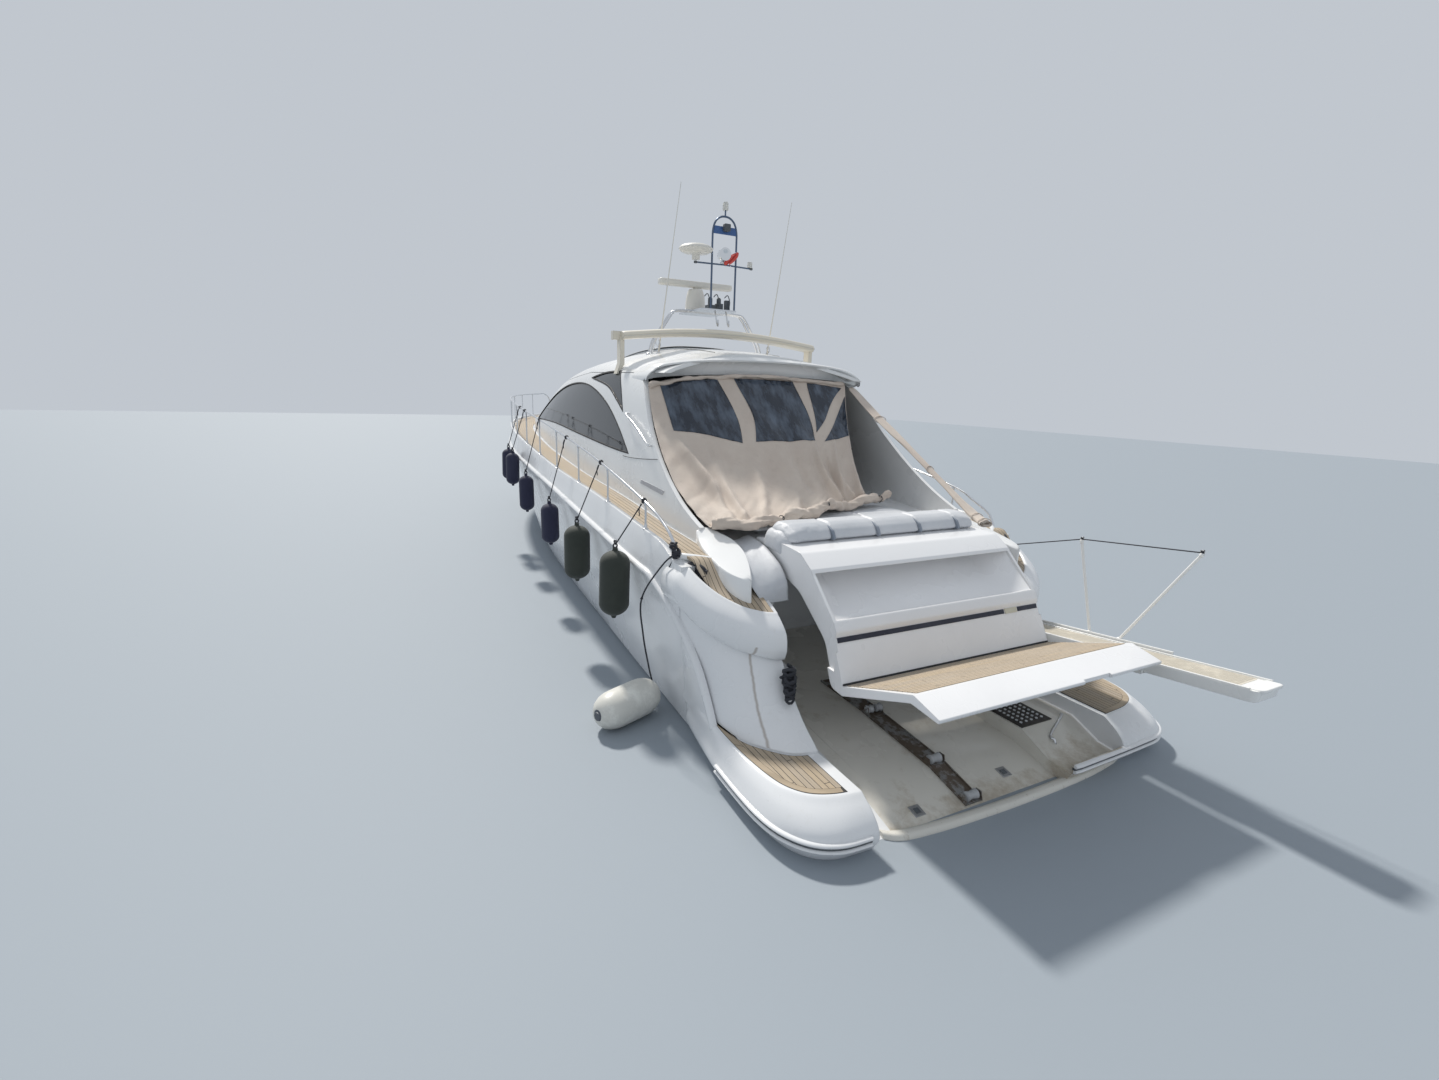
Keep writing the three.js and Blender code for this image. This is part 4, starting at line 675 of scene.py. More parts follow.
# Windows: dark tinted panes bonded flush into the shell, each in a thin black rubber gasket.
GLASS_IN = 0.008
GLASS_THICK = 0.014


def tinted_glass(name, colour, see_through):
    finish, tree, surface = blank_finish(name)
    place = object_place(tree)
    haze = clouds(tree, place, 3.0, 4.0)
    surface.inputs["Base Color"].default_value = (*colour, 1)
    link(tree, sum_of(tree, "MULTIPLY_ADD", haze, 0.07), surface.inputs["Roughness"])
    surface.inputs["Roughness"].links[0].from_node.inputs[2].default_value = 0.03
    surface.inputs["IOR"].default_value = 1.5
    surface.inputs["Transmission Weight"].default_value = see_through
    waves = shader(tree, "Bump",
                   {"Strength": 0.05, "Distance": 0.02, "Height": clouds(tree, place, 1.5, 1.0)})
    link(tree, waves.outputs[0], surface.inputs["Normal"])
    return finish


def rubber(name, colour, roughness=0.6):
    """Moulded rubber or plastic with a dusty, slightly pitted face."""
    finish, tree, surface = blank_finish(name)
    place = object_place(tree)
    dust = clouds(tree, place, 5.0, 5.0, 0.7)
    lighter = tuple(min(1, c * 1.5 + 0.03) for c in colour)
    base = between_colours(tree, stretch(tree, 0.5, 0.9, dust), (*colour, 1), (*lighter, 1))
    link(tree, base, surface.inputs["Base Color"])
    surface.inputs["Roughness"].default_value = roughness
    pits = shader(tree, "Bump",
                  {"Strength": 0.25, "Distance": 0.002, "Height": clouds(tree, place, 160.0, 2.0)})
    link(tree, pits.outputs[0], surface.inputs["Normal"])
    return finish


pane_glass = tinted_glass("pane_glass", (0.045, 0.05, 0.055), 0.18)
gasket_rubber = rubber("gasket_rubber", (0.02, 0.02, 0.022))


def layer(name, outer, inner, zone):
    """The part of a thin skin of the cabin that lies in a zone."""
    skin = cabin_skin(name, outer, 3.79)
    carve(skin, "DIFFERENCE", cabin_skin("inside", inner, 3.79))
    return carve(skin, "INTERSECT", zone)


def pane(name, zone, node):
    glass = layer(name, GLASS_IN, GLASS_IN + GLASS_THICK, zone)
    fitted(smoothed(glass), pane_glass, "tinted_glass", node)


def gasket(name, outer_zone, inner_zone):
    ring = layer(name, -0.003, 0.03, outer_zone)
    fitted(smoothed(carve(ring, "DIFFERENCE", inner_zone)), gasket_rubber, "tread")


for side, facing in (("port", 1), ("starboard", -1)):
    for opening, outline in (("side_window", side_window), ("upper_window", upper_window)):
        pane(f"{opening}_{side}_pane", window_tool(outline, facing, -0.002), f"{opening}_{side}")
        gasket(f"{opening}_{side}_gasket", window_tool(outline, facing, 0.012),
               window_tool(outline, facing, -0.01))
pane("windscreen_pane", screen_tool(-0.002), "windscreen")
gasket("windscreen_gasket", screen_tool(0.014), screen_tool(-0.014))

# Rubbing strake: a rounded extrusion along the topsides that drops to the platform at each quarter.
# A second one goes round the platform, two white beads with a grey insert between them.
STRAKE_DROP = [(-6.3, 2.35, 1.45), (-6.8, 2.29, 1.21), (-7.25, 2.245, 0.86), (-7.5, 2.22, 0.52),
               (-7.62, 2.22, 0.36)]


def swept(path, profile):
    """A profile, given as places outwards and upwards, carried along a path with its outside to port."""
    rings = []
    for i, here in enumerate(path):
        along = (path[min(i + 1, len(path) - 1)] - path[max(i - 1, 0)]).normalized()
        out = Vector((-along.y, along.x, 0)).normalized()
        up = along.cross(out)
        up *= math.copysign(1, up.z)
        rings.append([here + out * a + up * b for a, b in profile])
    return lofted(rings)


def rounded_bead(reach, half, sides=7):
    """Half a round, standing out to a reach, with its back a little inside the wall."""
    bead = [(reach * math.cos(a), half * math.sin(a)) for a in evenly(-math.pi / 2, math.pi / 2, sides)]
    return [(-0.02, -half)] + bead + [(-0.02, half)]


topside_run = [Vector((x, hull_values(x)[3], hull_values(x)[4])) for x in evenly(-6.1, 9.5, 90)]
port_strake = smooth_line(STRAKE_DROP[::-1] + [tuple(topside_run[0])], 6)[:-1] + topside_run
starboard_strake = [Vector((p.x, -p.y, p.z)) for p in reversed(port_strake)]
strake_path = port_strake + [Vector((9.62, 0.055, 2.13)), Vector((9.655, 0, 2.13)),
                             Vector((9.62, -0.055, 2.13))]
strake = made("strake", swept(strake_path + starboard_strake, rounded_bead(0.046, 0.036)))
fitted(smoothed(strake, 50), hull_gelcoat, "gelcoat", "rubbing_strake")
strip_line = smooth_line([(x, y, 0.155) for x, y in PLATFORM_STRIP[1:]], 8)
strip_port = [p for p in reversed(strip_line) if p.y > SLIP_PORT + 0.02]
strip_starboard = [Vector((p.x, -p.y, p.z)) for p in strip_line] + [Vector((-9.205, -0.62, 0.155))]
trim_rubber = rubber("trim_rubber", (0.09, 0.1, 0.11))
for lift, reach, half, name in ((0.026, 0.03, 0.017, "upper"), (-0.026, 0.03, 0.017, "lower"),
                                (0, 0.016, 0.014, "insert")):
    bead = made(f"platform_strip_{name}", *[
        swept([p + Vector((0, 0, lift)) for p in run], rounded_bead(reach, half))
        for run in (strip_port, strip_starboard)
    ])
    fitted(smoothed(bead, 50), trim_rubber if name == "insert" else hull_gelcoat, "gelcoat")

# Teak: weathered strips laid fore and aft in dark caulking on the side decks, the quarters, the
# platform and the shelf of the stern door, each field inside a margin plank.
TEAK_THICK = 0.015
PLANK_WIDE = 0.052


def teak(name, tan, grey):
    """Weathered teak that reads the piece's own map: along the planks, and across them, in metres."""
    finish, tree, surface = blank_finish(name)
    place = shader(tree, "UVMap", uv_map="planks").outputs[0]
    parts = shader(tree, "SeparateXYZ", {0: place})
    across = sum_of(tree, "DIVIDE", parts.outputs[1], PLANK_WIDE)
    plank = sum_of(tree, "FLOOR", across, 0.0)
    in_plank = sum_of(tree, "FRACT", across, 0.0)
    seam = sum_of(tree, "GREATER_THAN",
                  sum_of(tree, "ABSOLUTE", sum_of(tree, "SUBTRACT", in_plank, 0.5), 0.0), 0.445)
    shifted = plus(tree, sum_of(tree, "DIVIDE", parts.outputs[0], 1.7), times(tree, plank, 0.387))
    butt = sum_of(tree, "LESS_THAN", sum_of(tree, "FRACT", shifted, 0.0), 0.004)
    caulk = sum_of(tree, "MAXIMUM", seam, butt)
    board = shader(tree, "CombineXYZ", {0: plank, 1: sum_of(tree, "FLOOR", shifted, 0.0)}).outputs[0]
    tone = shader(tree, "TexWhiteNoise", {"Vector": board}, noise_dimensions="3D").outputs[0]
    grain_place = shader(tree, "Mapping", {"Vector": place, "Scale": (4.0, 120.0, 1.0)}).outputs[0]
    grain = clouds(tree, grain_place, 1.0, 4.0, 0.7)
    wear = clouds(tree, place, 1.3, 4.0, 0.6)
    wood = between_colours(tree, tone, (*tan, 1), (*grey, 1))
    wood = between_colours(tree, stretch(tree, 0.35, 0.75, grain), wood, (*[c * 0.62 for c in tan], 1))
    wood = between_colours(tree, times(tree, stretch(tree, 0.45, 0.8, wear), 0.5, True), wood,
                           (*[c * 1.15 for c in grey], 1))
    base = between_colours(tree, caulk, wood, (0.035, 0.032, 0.03, 1))
    link(tree, base, surface.inputs["Base Color"])
    surface.inputs["Roughness"].default_value = 0.78
    height = sum_of(tree, "SUBTRACT", times(tree, grain, 0.25), caulk)
    skin = shader(tree, "Bump", {"Strength": 0.5, "Distance": 0.003, "Height": height})
    link(tree, skin.outputs[0], surface.inputs["Normal"])
    return finish


def laid(piece, lie):
    """Writes the map of a teak piece; lie gives a point's place along and across the planks."""
    mesh = piece.data
    planks = mesh.uv_layers.new(name="planks")
    for corner in mesh.loops:
        planks.data[corner.index].uv = lie(mesh.vertices[corner.vertex_index].co)
    return piece


deck_teak = teak("deck_teak", (0.5, 0.4, 0.28), (0.43, 0.37, 0.3))
caulk_rubber = rubber("caulk_rubber", (0.03, 0.028, 0.026))


def side_deck_rows(facing):
    """Rows across one side of the deck, from its inner edge at the cabin to the margin outboard."""
    rows = []
    for x in evenly(9.33, -6.85, 130):
        deck_y, deck_z = hull_values(x)[5:]
        outer = deck_y - 0.11
        inner = 0 if x > 7.72 else min(outer - 0.02, between(CABIN_STATIONS, x)[0] + 0.025)
        edge = deck_y - TOE_RAIL_WIDE - 0.005
        rows.append([(x, facing * y, deck_z + DECK_CAMBER * (1 - y / edge)) for y in evenly(inner, outer, 9)])
    return rows


def slab(rows, thick):
    """A closed slab on rows of points, as thick above them."""
    rings = []
    for row in rows:
        top = [(x, y, z + thick) for x, y, z in row]
        low = [(x, y, z - 0.01) for x, y, z in reversed(row)]
        rings.append(top + low)
    return lofted(rings)


side_teak = made("side_deck_teak", slab(side_deck_rows(1), TEAK_THICK), slab(side_deck_rows(-1), TEAK_THICK))
laid(side_teak, lambda p: (p.x, hull_values(p.x)[5] - abs(p.y)))
fitted(smoothed(side_teak), deck_teak, "teak", "teak_deck")


def shoulder_floor(x):
    """Height of the quarter's own deck, which runs down from the side deck."""
    run_down = max(0.0, min(1.0, (x + 7.25) / 0.4))
    return 1.655 + SHOULDER_SLOPE * min(0, x + 6.9) + 0.115 * run_down ** 2 * (3 - 2 * run_down)


quarter_rows = []
shoulder_line = [p for p in smooth_line(SHOULDER_TOP, 8) if p.x < -6.8]
for point in shoulder_line:
    outer = point.y - 0.085
    if outer < 1.66:
        break
    quarter_rows.append([(point.x, y, shoulder_floor(point.x)) for y in evenly(1.625, outer, 7)])
quarter_teak = made("quarter_teak", slab(quarter_rows, 0.012),
                    slab([[(x, -y, z) for x, y, z in row] for row in quarter_rows], 0.012))
laid(quarter_teak, lambda p: (p.x, 2.3 - abs(p.y)))
fitted(smoothed(quarter_teak), deck_teak, "teak")


def moved_line(line, out):
    """An open plan line moved outwards by a distance."""
    moved = []
    for i, here in enumerate(line):
        along = (line[min(i + 1, len(line) - 1)] - line[max(i - 1, 0)]).normalized()
        moved.append(Vector((here.x + along.y * out, here.y - along.x * out)))
    return moved


def wing_field(out_edge, in_edge, inner_y):
    """The outline of teak between the platform's edge and a quarter's foot, as far in as a half-breadth."""
    outer = [p for p in moved_line(smooth_line(PLATFORM_EDGE, 10), out_edge) if p.x < -7.5 and p.y > inner_y]
    inner = [p for p in moved_line(smooth_line(QUARTER_FOOT, 10), in_edge) if p.x < -7.5 and p.y > inner_y]
    last = outer[-1]
    corner = [Vector((last.x - 0.002, inner_y))]
    inner_corner = [] if inner[-1].y < inner_y + 0.01 else [Vector((inner[-1].x - 0.01, inner_y))]
    return flat(outer + corner + inner_corner + inner[::-1])


MARGIN = 0.055
for side, facing, inner_y in (("port", 1, 1.71), ("starboard", -1, 1.42)):
    for part, out_edge, in_edge, top, finish in (
        ("bed", -0.018, 0.012, PLATFORM_TOP + 0.0035, caulk_rubber),
        ("planks", -0.018 - MARGIN - 0.005, 0.02, PLATFORM_TOP + 0.006, deck_teak),
    ):
        outline = [(x, facing * y)
                   for x, y in wing_field(out_edge, in_edge, inner_y + (0.01 if part == "planks" else 0))]
        inlay = made(f"platform_teak_{part}_{side}", prism(outline, "z", PLATFORM_TOP - 0.02, top))
        if part == "planks":
            laid(inlay, lambda p: (p.x, abs(p.y)))
        fitted(inlay, finish, "teak")
    edge_line = [p for p in smooth_line(PLATFORM_EDGE, 10) if p.x < -7.5 and p.y > inner_y + 0.01]
    outer, inner = moved_line(edge_line, -0.02), moved_line(edge_line, -0.02 - MARGIN)
    margin_rows = [[(a.x, facing * a.y, PLATFORM_TOP), (b.x, facing * b.y, PLATFORM_TOP)]
                   for a, b in zip(outer, inner)]
    margin = made(f"platform_margin_{side}", slab(margin_rows, 0.006))
    laid(margin, lambda p: (p.x - p.y, 0.026))
    fitted(margin, deck_teak, "teak")

# Stern door: one moulding hinged at its forward edge, raised over the slipway. A fat beam, a bare
# hollow, a round band over a flat panel, and the teak-topped shelf with its wide sloping lip.
DOOR_PROFILE = [
    (-6.64, 1.88, 0.02), (-6.8, 1.905, 0.2), (-7.15, 1.925, 0.4), (-7.47, 1.912, 0.12), (-7.665, 1.795, 0.03),
    (-7.69, 1.76, 0.02), (-8.06, 1.415, 0.07), (-8.108, 1.345, 0.04), (-8.1, 1.29, 0.012),
    (-8.28, 0.915, 0.012),
    (-9.1, 1.225, 0.01), (-9.375, 1.155, 0.008), (-9.37, 1.125, 0.008), (-9.085, 1.15, 0.02),
    (-8.29, 0.83, 0.03),
    (-8.12, 0.84, 0.1), (-7.96, 1.21, 0.3), (-7.5, 1.54, 0.3), (-6.8, 1.74, 0.02), (-6.64, 1.76, 0.02),
]
DOOR_HOLLOW = [(-7.70, 1.765), (-7.33, 1.705), (-7.62, 1.53), (-7.985, 1.405), (-8.06, 1.43), (-8.15, 1.5),
               (-7.9, 1.765)]
DOOR_HOLLOW_SHALLOW = [(-7.70, 1.765), (-7.66, 1.755), (-7.8, 1.62), (-8.03, 1.43), (-8.06, 1.43),
                       (-8.15, 1.5), (-7.9, 1.765)]


def rounded(corners, steps=5):
    """An outline with its corners, each with a radius, turned to arcs."""
    line = []
    count = len(corners)
    for i, (a, b, radius) in enumerate(corners):
        here = Vector((a, b))
        before = Vector(corners[i - 1][:2]) - here
        after = Vector(corners[(i + 1) % count][:2]) - here
        half = before.angle(after) / 2
        reach = min(radius / math.tan(half), 0.45 * before.length, 0.45 * after.length)
        start = here + before.normalized() * reach
        end = here + after.normalized() * reach
        for t in evenly(0, 1, steps):
            line.append(tuple(start * (1 - t) ** 2 + here * 2 * t * (1 - t) + end * t ** 2))
    return line


def at_y(outline, y):
    return [(a, y, b) for a, b in outline]


door = made("stern_door_moulding", prism(rounded(DOOR_PROFILE), "y", -DOOR_HALF, DOOR_HALF))
hollow_tool = made("door_hollow",
                   lofted([at_y(DOOR_HOLLOW_SHALLOW, -1.27), at_y(DOOR_HOLLOW, -1.0), at_y(DOOR_HOLLOW, 1.0),
                                          at_y(DOOR_HOLLOW_SHALLOW, 1.27)]))
NOTCH = [(-9.45, -0.28), (-9.352, -0.28), (-9.352, -0.62), (-9.45, -0.62)]
nose_trims = [made("nose_trim", box((-8.15, -6.5), sorted((side * 1.305, side * 1.4)), (1.0, 2.1)))
              for side in (1, -1)]
carve(door, "DIFFERENCE", hollow_tool, made("notch", prism(NOTCH, "z", 1.05, 1.3)), *nose_trims)
fitted(smoothed(door, 28), gelcoat("door_gelcoat", (0.85, 0.85, 0.855), grime=0.12), "gelcoat", "stern_door",
       body="stern_door")

# The panel's blank dark stripe with a small plate at its starboard end, and the dark joint at its foot
panel_top, panel_foot = Vector((-8.103, 0, 1.29)), Vector((-8.277, 0, 0.918))
panel_down = (panel_foot - panel_top).normalized()
panel_out = Vector((panel_down.z, 0, -panel_down.x))
panel_out *= -math.copysign(1, panel_out.x)


def panel_slab(y, low, high, thick):
    """A thin slab on the door's flat panel, between two distances down it."""
    rings = []
    for side_y in y:
        corners = [(low, -0.004), (high, -0.004), (high, thick), (low, thick)]
        rings.append([panel_top + Vector((0, side_y, 0)) + panel_down * a + panel_out * b
                      for a, b in corners])
    return lofted(rings)


stripe = made("door_stripe", panel_slab((-1.29, -1.0), 0.0, 0.046, 0.003),
              panel_slab((-0.8, 1.29), 0.0, 0.046, 0.003))
fitted(stripe, rubber("stripe_blue_black", (0.012, 0.014, 0.03), 0.3), "gelcoat", body="stern_door")


def metal(name, colour, roughness, brushed=0.0, stain=0.15):
    """Bright metal with fine scratches and a few water stains."""
    finish, tree, surface = blank_finish(name)
    place = object_place(tree)
    spots = clouds(tree, place, 14.0, 5.0, 0.7)
    base = between_colours(tree, times(tree, stretch(tree, 0.55, 0.8, spots), stain, True), (*colour, 1),
                           (*[c * 0.45 for c in colour], 1))
    link(tree, base, surface.inputs["Base Color"])
    surface.inputs["Metallic"].default_value = 1.0
    link(tree, sum_of(tree, "MULTIPLY_ADD", spots, 0.22), surface.inputs["Roughness"])
    surface.inputs["Roughness"].links[0].from_node.inputs[2].default_value = roughness
    fine = clouds(tree, object_place(tree, (200, 200, 12)), 1.0, 2.0)
    skin = shader(tree, "Bump", {"Strength": 0.04 + brushed, "Distance": 0.001, "Height": fine})
    link(tree, skin.outputs[0], surface.inputs["Normal"])
    return finish


polished_steel = metal("polished_steel", (0.72, 0.73, 0.75), 0.1)
plate = made("door_plate", panel_slab((-0.985, -0.815), -0.002, 0.05, 0.005))
fitted(plate, metal("pale_brass", (0.62, 0.58, 0.46), 0.3), "polished_steel", body="stern_door")
foot_joint = made("door_foot_joint", panel_slab((-1.32, 1.32), 0.395, 0.412, 0.012))
fitted(foot_joint, gasket_rubber, "tread", body="stern_door")

# Teak on the shelf, its planks athwart
shelf_start, shelf_end = Vector((-8.31, 0, 0.926)), Vector((-9.07, 0, 1.213))
shelf_rise = (shelf_end - shelf_start).normalized()
shelf_up = Vector((-shelf_rise.z, 0, shelf_rise.x)) * -1
shelf_rows = [[shelf_start.lerp(shelf_end, t) + Vector((0, y, 0))
               for y in evenly(-1.3 + 0.03 * t, 1.3 - 0.03 * t, 3)]
              for t in evenly(0, 1, 4)]
shelf_teak = made("shelf_teak", lofted([
    [p + shelf_up * 0.006 for p in row] + [p - shelf_up * 0.01 for p in reversed(row)] for row in shelf_rows
]))
laid(shelf_teak, lambda p: (p.y, (Vector((p.x, 0, p.z)) - shelf_start).dot(shelf_rise) + 0.01))
fitted(shelf_teak, deck_teak, "teak", body="stern_door")

# Bolster and sunpad: foam pads in silver-grey vinyl behind the cockpit, with sewn cross channels.
VINYL_VOXEL = 0.018


def woven(name, colour, other, thread=0.0016, sheen=0.2, dirt=0.2):
    """Woven or coated cloth with its thread, uneven fading and a little dirt."""
    finish, tree, surface = blank_finish(name)
    place = object_place(tree)
    fade = clouds(tree, place, 1.7, 5.0, 0.65)
    base = between_colours(tree, stretch(tree, 0.35, 0.75, fade), (*colour, 1), (*other, 1))
    smudge = clouds(tree, place, 9.0, 5.0, 0.7)
    base = between_colours(tree, times(tree, stretch(tree, 0.55, 0.85, smudge), dirt, True), base,
                           (*[c * 0.5 for c in other], 1))
    link(tree, base, surface.inputs["Base Color"])
    surface.inputs["Roughness"].default_value = 0.75
    surface.inputs["Sheen Weight"].default_value = sheen
    wave = {"Vector": place, "Scale": 0.4 / thread, "Distortion": 0.4}
    warp = shader(tree, "TexWave", wave, bands_direction="Y").outputs[1]
    weft = shader(tree, "TexWave", wave, bands_direction="DIAGONAL").outputs[1]
    weave = shader(tree, "Bump", {"Strength": 0.25, "Distance": 0.001, "Height": plus(tree, warp, weft)})
    creases = shader(tree, "Bump",
                     {"Strength": 0.35, "Distance": 0.012, "Height": clouds(tree, place, 7.0, 5.0, 0.6),
                                    "Normal": weave.outputs[0]})
    link(tree, creases.outputs[0], surface.inputs["Normal"])
    return finish


def puffed(piece, pressure=4.0, most=0.02, voxel=VINYL_VOXEL):
    """Fills a pad: remeshed, blown up as cloth with no point moving further than a cap, then subdivided."""
    remesh = piece.modifiers.new("remesh", "REMESH")
    remesh.mode = "VOXEL"
    remesh.voxel_size = voxel
    applied(piece)
    start = [v.co.copy() for v in piece.data.vertices]
    cloth = piece.modifiers.new("cloth", "CLOTH")
    cloth.settings.use_pressure = True
    cloth.settings.uniform_pressure_force = pressure
    cloth.settings.effector_weights.gravity = 0
    cloth.point_cache.frame_start = 1
    cloth.point_cache.frame_end = 20
    for moment in range(1, 21):
        bpy.context.scene.frame_set(moment)
    applied(piece)
    for vertex, place in zip(piece.data.vertices, start):
        push = vertex.co - place
        if push.length > most:
            vertex.co = place + push.normalized() * most
    bpy.context.scene.frame_set(1)
    piece.modifiers.new("round", "SUBSURF")
    return applied(smoothed(piece, 60))


def applied(piece):
    """Makes what a piece's modifiers give its mesh."""
    bpy.context.view_layer.update()
    result = bpy.data.meshes.new_from_object(piece.evaluated_get(bpy.context.evaluated_depsgraph_get()))
    piece.modifiers.clear()
    piece.data = result
    return piece


def channelled(piece, lines, depth, half, axis=1):
    """Sews channels into a pad: draws its skin in near each line across an axis."""
    for vertex in piece.data.vertices:
        for line in lines:
            near = abs(vertex.co[axis] - line) / half
            if near < 1:
                vertex.co -= vertex.normal * depth * (1 - near ** 2) ** 2
    return piece


silver_vinyl = woven("silver_vinyl", (0.56, 0.58, 0.61), (0.66, 0.67, 0.69), thread=0.003,
                     sheen=0.1, dirt=0.25)
silver_vinyl.node_tree.nodes["Principled BSDF"].inputs["Roughness"].default_value = 0.42
BOLSTER = [(-6.78, 1.915, 0.05), (-6.78, 2.03, 0.06), (-6.85, 2.075, 0.06), (-7.06, 2.075, 0.06),
           (-7.2, 2.03, 0.06), (-7.26, 1.94, 0.03)]
BOLSTER_CHANNELS = (-0.98, -0.42, 0.16, 0.74)
bolster_rings = []
for y in evenly(-1.275, 1.275, 41):
    end = max(0.0, (abs(y) - 1.2) / 0.075)
    narrow = 1 - 0.25 * end ** 2
    bolster_rings.append([(y_x * narrow - 7.0 * (1 - narrow), y, y_z * narrow + 1.93 * (1 - narrow))
                          for y_x, y_z in rounded(BOLSTER)])
bolster = puffed(made("bolster_pad", lofted(bolster_rings)), most=0.022)
channelled(bolster, BOLSTER_CHANNELS, 0.016, 0.035)
fitted(bolster, silver_vinyl, "silver_vinyl", "bolster", body="stern_door")
end_pad_rings = []
for y in evenly(1.2, 1.315, 9):
    shrink = 1 - 0.32 * ((y - 1.2) / 0.115) ** 3
    end_pad_rings.append([(-6.98 + (a + 6.98) * shrink, y,
                           1.87 + (b - 1.87) * shrink - 0.5 * (y - 1.2) ** 1.5)
                          for a, b in rounded([(-7.21, 1.8, 0.05), (-7.19, 1.96, 0.09), (-7.06, 2.04, 0.08),
                                               (-6.8, 2.03, 0.08), (-6.72, 1.82, 0.05)])])
end_pad = puffed(made("bolster_end_pad", lofted(end_pad_rings)), most=0.02)
fitted(end_pad, silver_vinyl, "silver_vinyl", body="stern_door")
straps = []
for y in BOLSTER_CHANNELS:
    strap_line = grown([(a, b) for a, b in rounded(BOLSTER)], 0.004)
    ring = lambda depth, side: [(a, y + side, b) for a, b in grown(strap_line, depth)]
    straps.append(lofted([ring(-0.012, -0.012), ring(0.0, -0.011), ring(0.0, 0.011), ring(-0.012, 0.012)]))
strap_piece = made("bolster_straps", *straps)
fitted(smoothed(strap_piece), woven("strap_web", (0.2, 0.24, 0.3), (0.28, 0.31, 0.36), thread=0.002),
       "silver_vinyl",
       body="stern_door")

SUNPAD = ((-6.46, -5.31), (-1.22, 1.22), (1.882, 1.928))
sunpad = made("sunpad_pad", box(*SUNPAD))
sunpad = puffed(sunpad, most=0.02, voxel=0.022)
for low, high in ((-6.1, -6.08), (-5.72, -5.7)):
    channelled(sunpad, ((low + high) / 2,), 0.014, 0.03, axis=0)
channelled(sunpad, (-0.41, 0.41), 0.014, 0.03)
fitted(sunpad, silver_vinyl, "silver_vinyl", "sunpad")

# Canvas over the cockpit: acrylic cloth in one piece, hung from the hardtop's rear lip, pulled back over
# the coaming and dropped on the sunpad, with four clear vinyl windows sewn into it.
CANVAS_TOP = [(-4.4, 1.71, 3.42), (-4.33, 1.33, 3.5), (-4.29, 0.82, 3.565), (-4.27, 0.29, 3.58),
              (-4.27, -0.39, 3.585), (-4.3, -0.95, 3.57), (-4.36, -1.42, 3.54)]
CANVAS_WAIST = [(-4.88, 1.79, 2.88), (-4.86, 1.22, 2.95), (-4.85, 0.6, 2.98), (-4.84, 0, 2.98),
                (-4.83, -0.5, 2.97), (-4.82, -0.92, 2.95), (-4.8, -1.2, 2.93)]
CANVAS_KNEE = [(-5.4, 1.83, 2.475), (-5.46, 1.25, 2.46), (-5.44, 0.65, 2.47), (-5.42, 0.1, 2.46),
               (-5.4, -0.32, 2.45), (-5.36, -0.66, 2.44), (-5.32, -0.98, 2.42)]
CANVAS_LOW = [(-5.95, 1.82, 2.155), (-6.06, 1.3, 2.12), (-6.0, 0.75, 2.12), (-5.92, 0.2, 2.12),
              (-5.84, -0.22, 2.12), (-5.78, -0.55, 2.11), (-5.72, -0.86, 2.1)]
CANVAS_HEM = [(-6.45, 1.76, 1.985), (-6.6, 1.42, 1.93), (-6.52, 0.95, 2.0), (-6.32, 0.4, 2.0),
              (-6.1, -0.1, 2.0), (-5.92, -0.65, 2.0), (-5.74, -1.25, 2.0)]
CANVAS_THICK = 0.004
# Each window's corners across and down: top port, top starboard, foot starboard, foot port
VINYL_WINDOWS = (((0.083, 0.035), (0.367, 0.03), (0.31, 0.365), (0.08, 0.27)),
                 ((0.45, 0.03), (0.7, 0.035), (0.675, 0.35), (0.365, 0.36)),
                 ((0.77, 0.04), (0.965, 0.05), (0.79, 0.22), (0.7, 0.3)),
                 ((0.985, 0.1), (0.988, 0.1), (0.985, 0.31), (0.745, 0.35)))
# Deep folds: place across, depth, width, and where each starts and ends on the way down
CANVAS_FOLDS = ((0.1, 0.1, 0.018, 0.28, 0.97), (0.145, -0.05, 0.016, 0.32, 0.92),
                (0.195, 0.09, 0.02, 0.36, 1.0), (0.29, 0.05, 0.022, 0.42, 0.95),
                (0.42, 0.04, 0.02, 0.62, 1.0), (0.55, -0.04, 0.025, 0.32, 0.75),
                (0.69, 0.11, 0.018, 0.33, 1.0), (0.735, -0.055, 0.016, 0.4, 0.95),
                (0.79, 0.06, 0.018, 0.3, 0.8), (0.84, 0.07, 0.022, 0.55, 0.9), (0.93, 0.07, 0.018, 0.45, 1.0))


def canvas_point(across, down):
    """A point of the canvas; across runs from nought at port to one, and down from the roof to the hem."""
    rows = [canvas_across[k](across) for k in range(5)]
    return along_knots(rows, down)


def along_knots(knots, t):
    """A point along smooth knots, where t runs from nought to one."""
    spans = len(knots) - 1
    i = min(int(t * spans), spans - 1)
    u = t * spans - i
    before, low, high, after = knots[max(i - 1, 0)], knots[i], knots[i + 1], knots[min(i + 2, spans)]
    return 0.5 * (2 * low + (high - before) * u + (2 * before - 5 * low + 4 * high - after) * u ** 2
                  + (3 * low - before - 3 * high + after) * u ** 3)


canvas_rows = [[Vector(p) for p in row]
               for row in (CANVAS_TOP, CANVAS_WAIST, CANVAS_KNEE, CANVAS_LOW, CANVAS_HEM)]
canvas_across = [lambda t, row=row: along_knots(row, t) for row in canvas_rows]


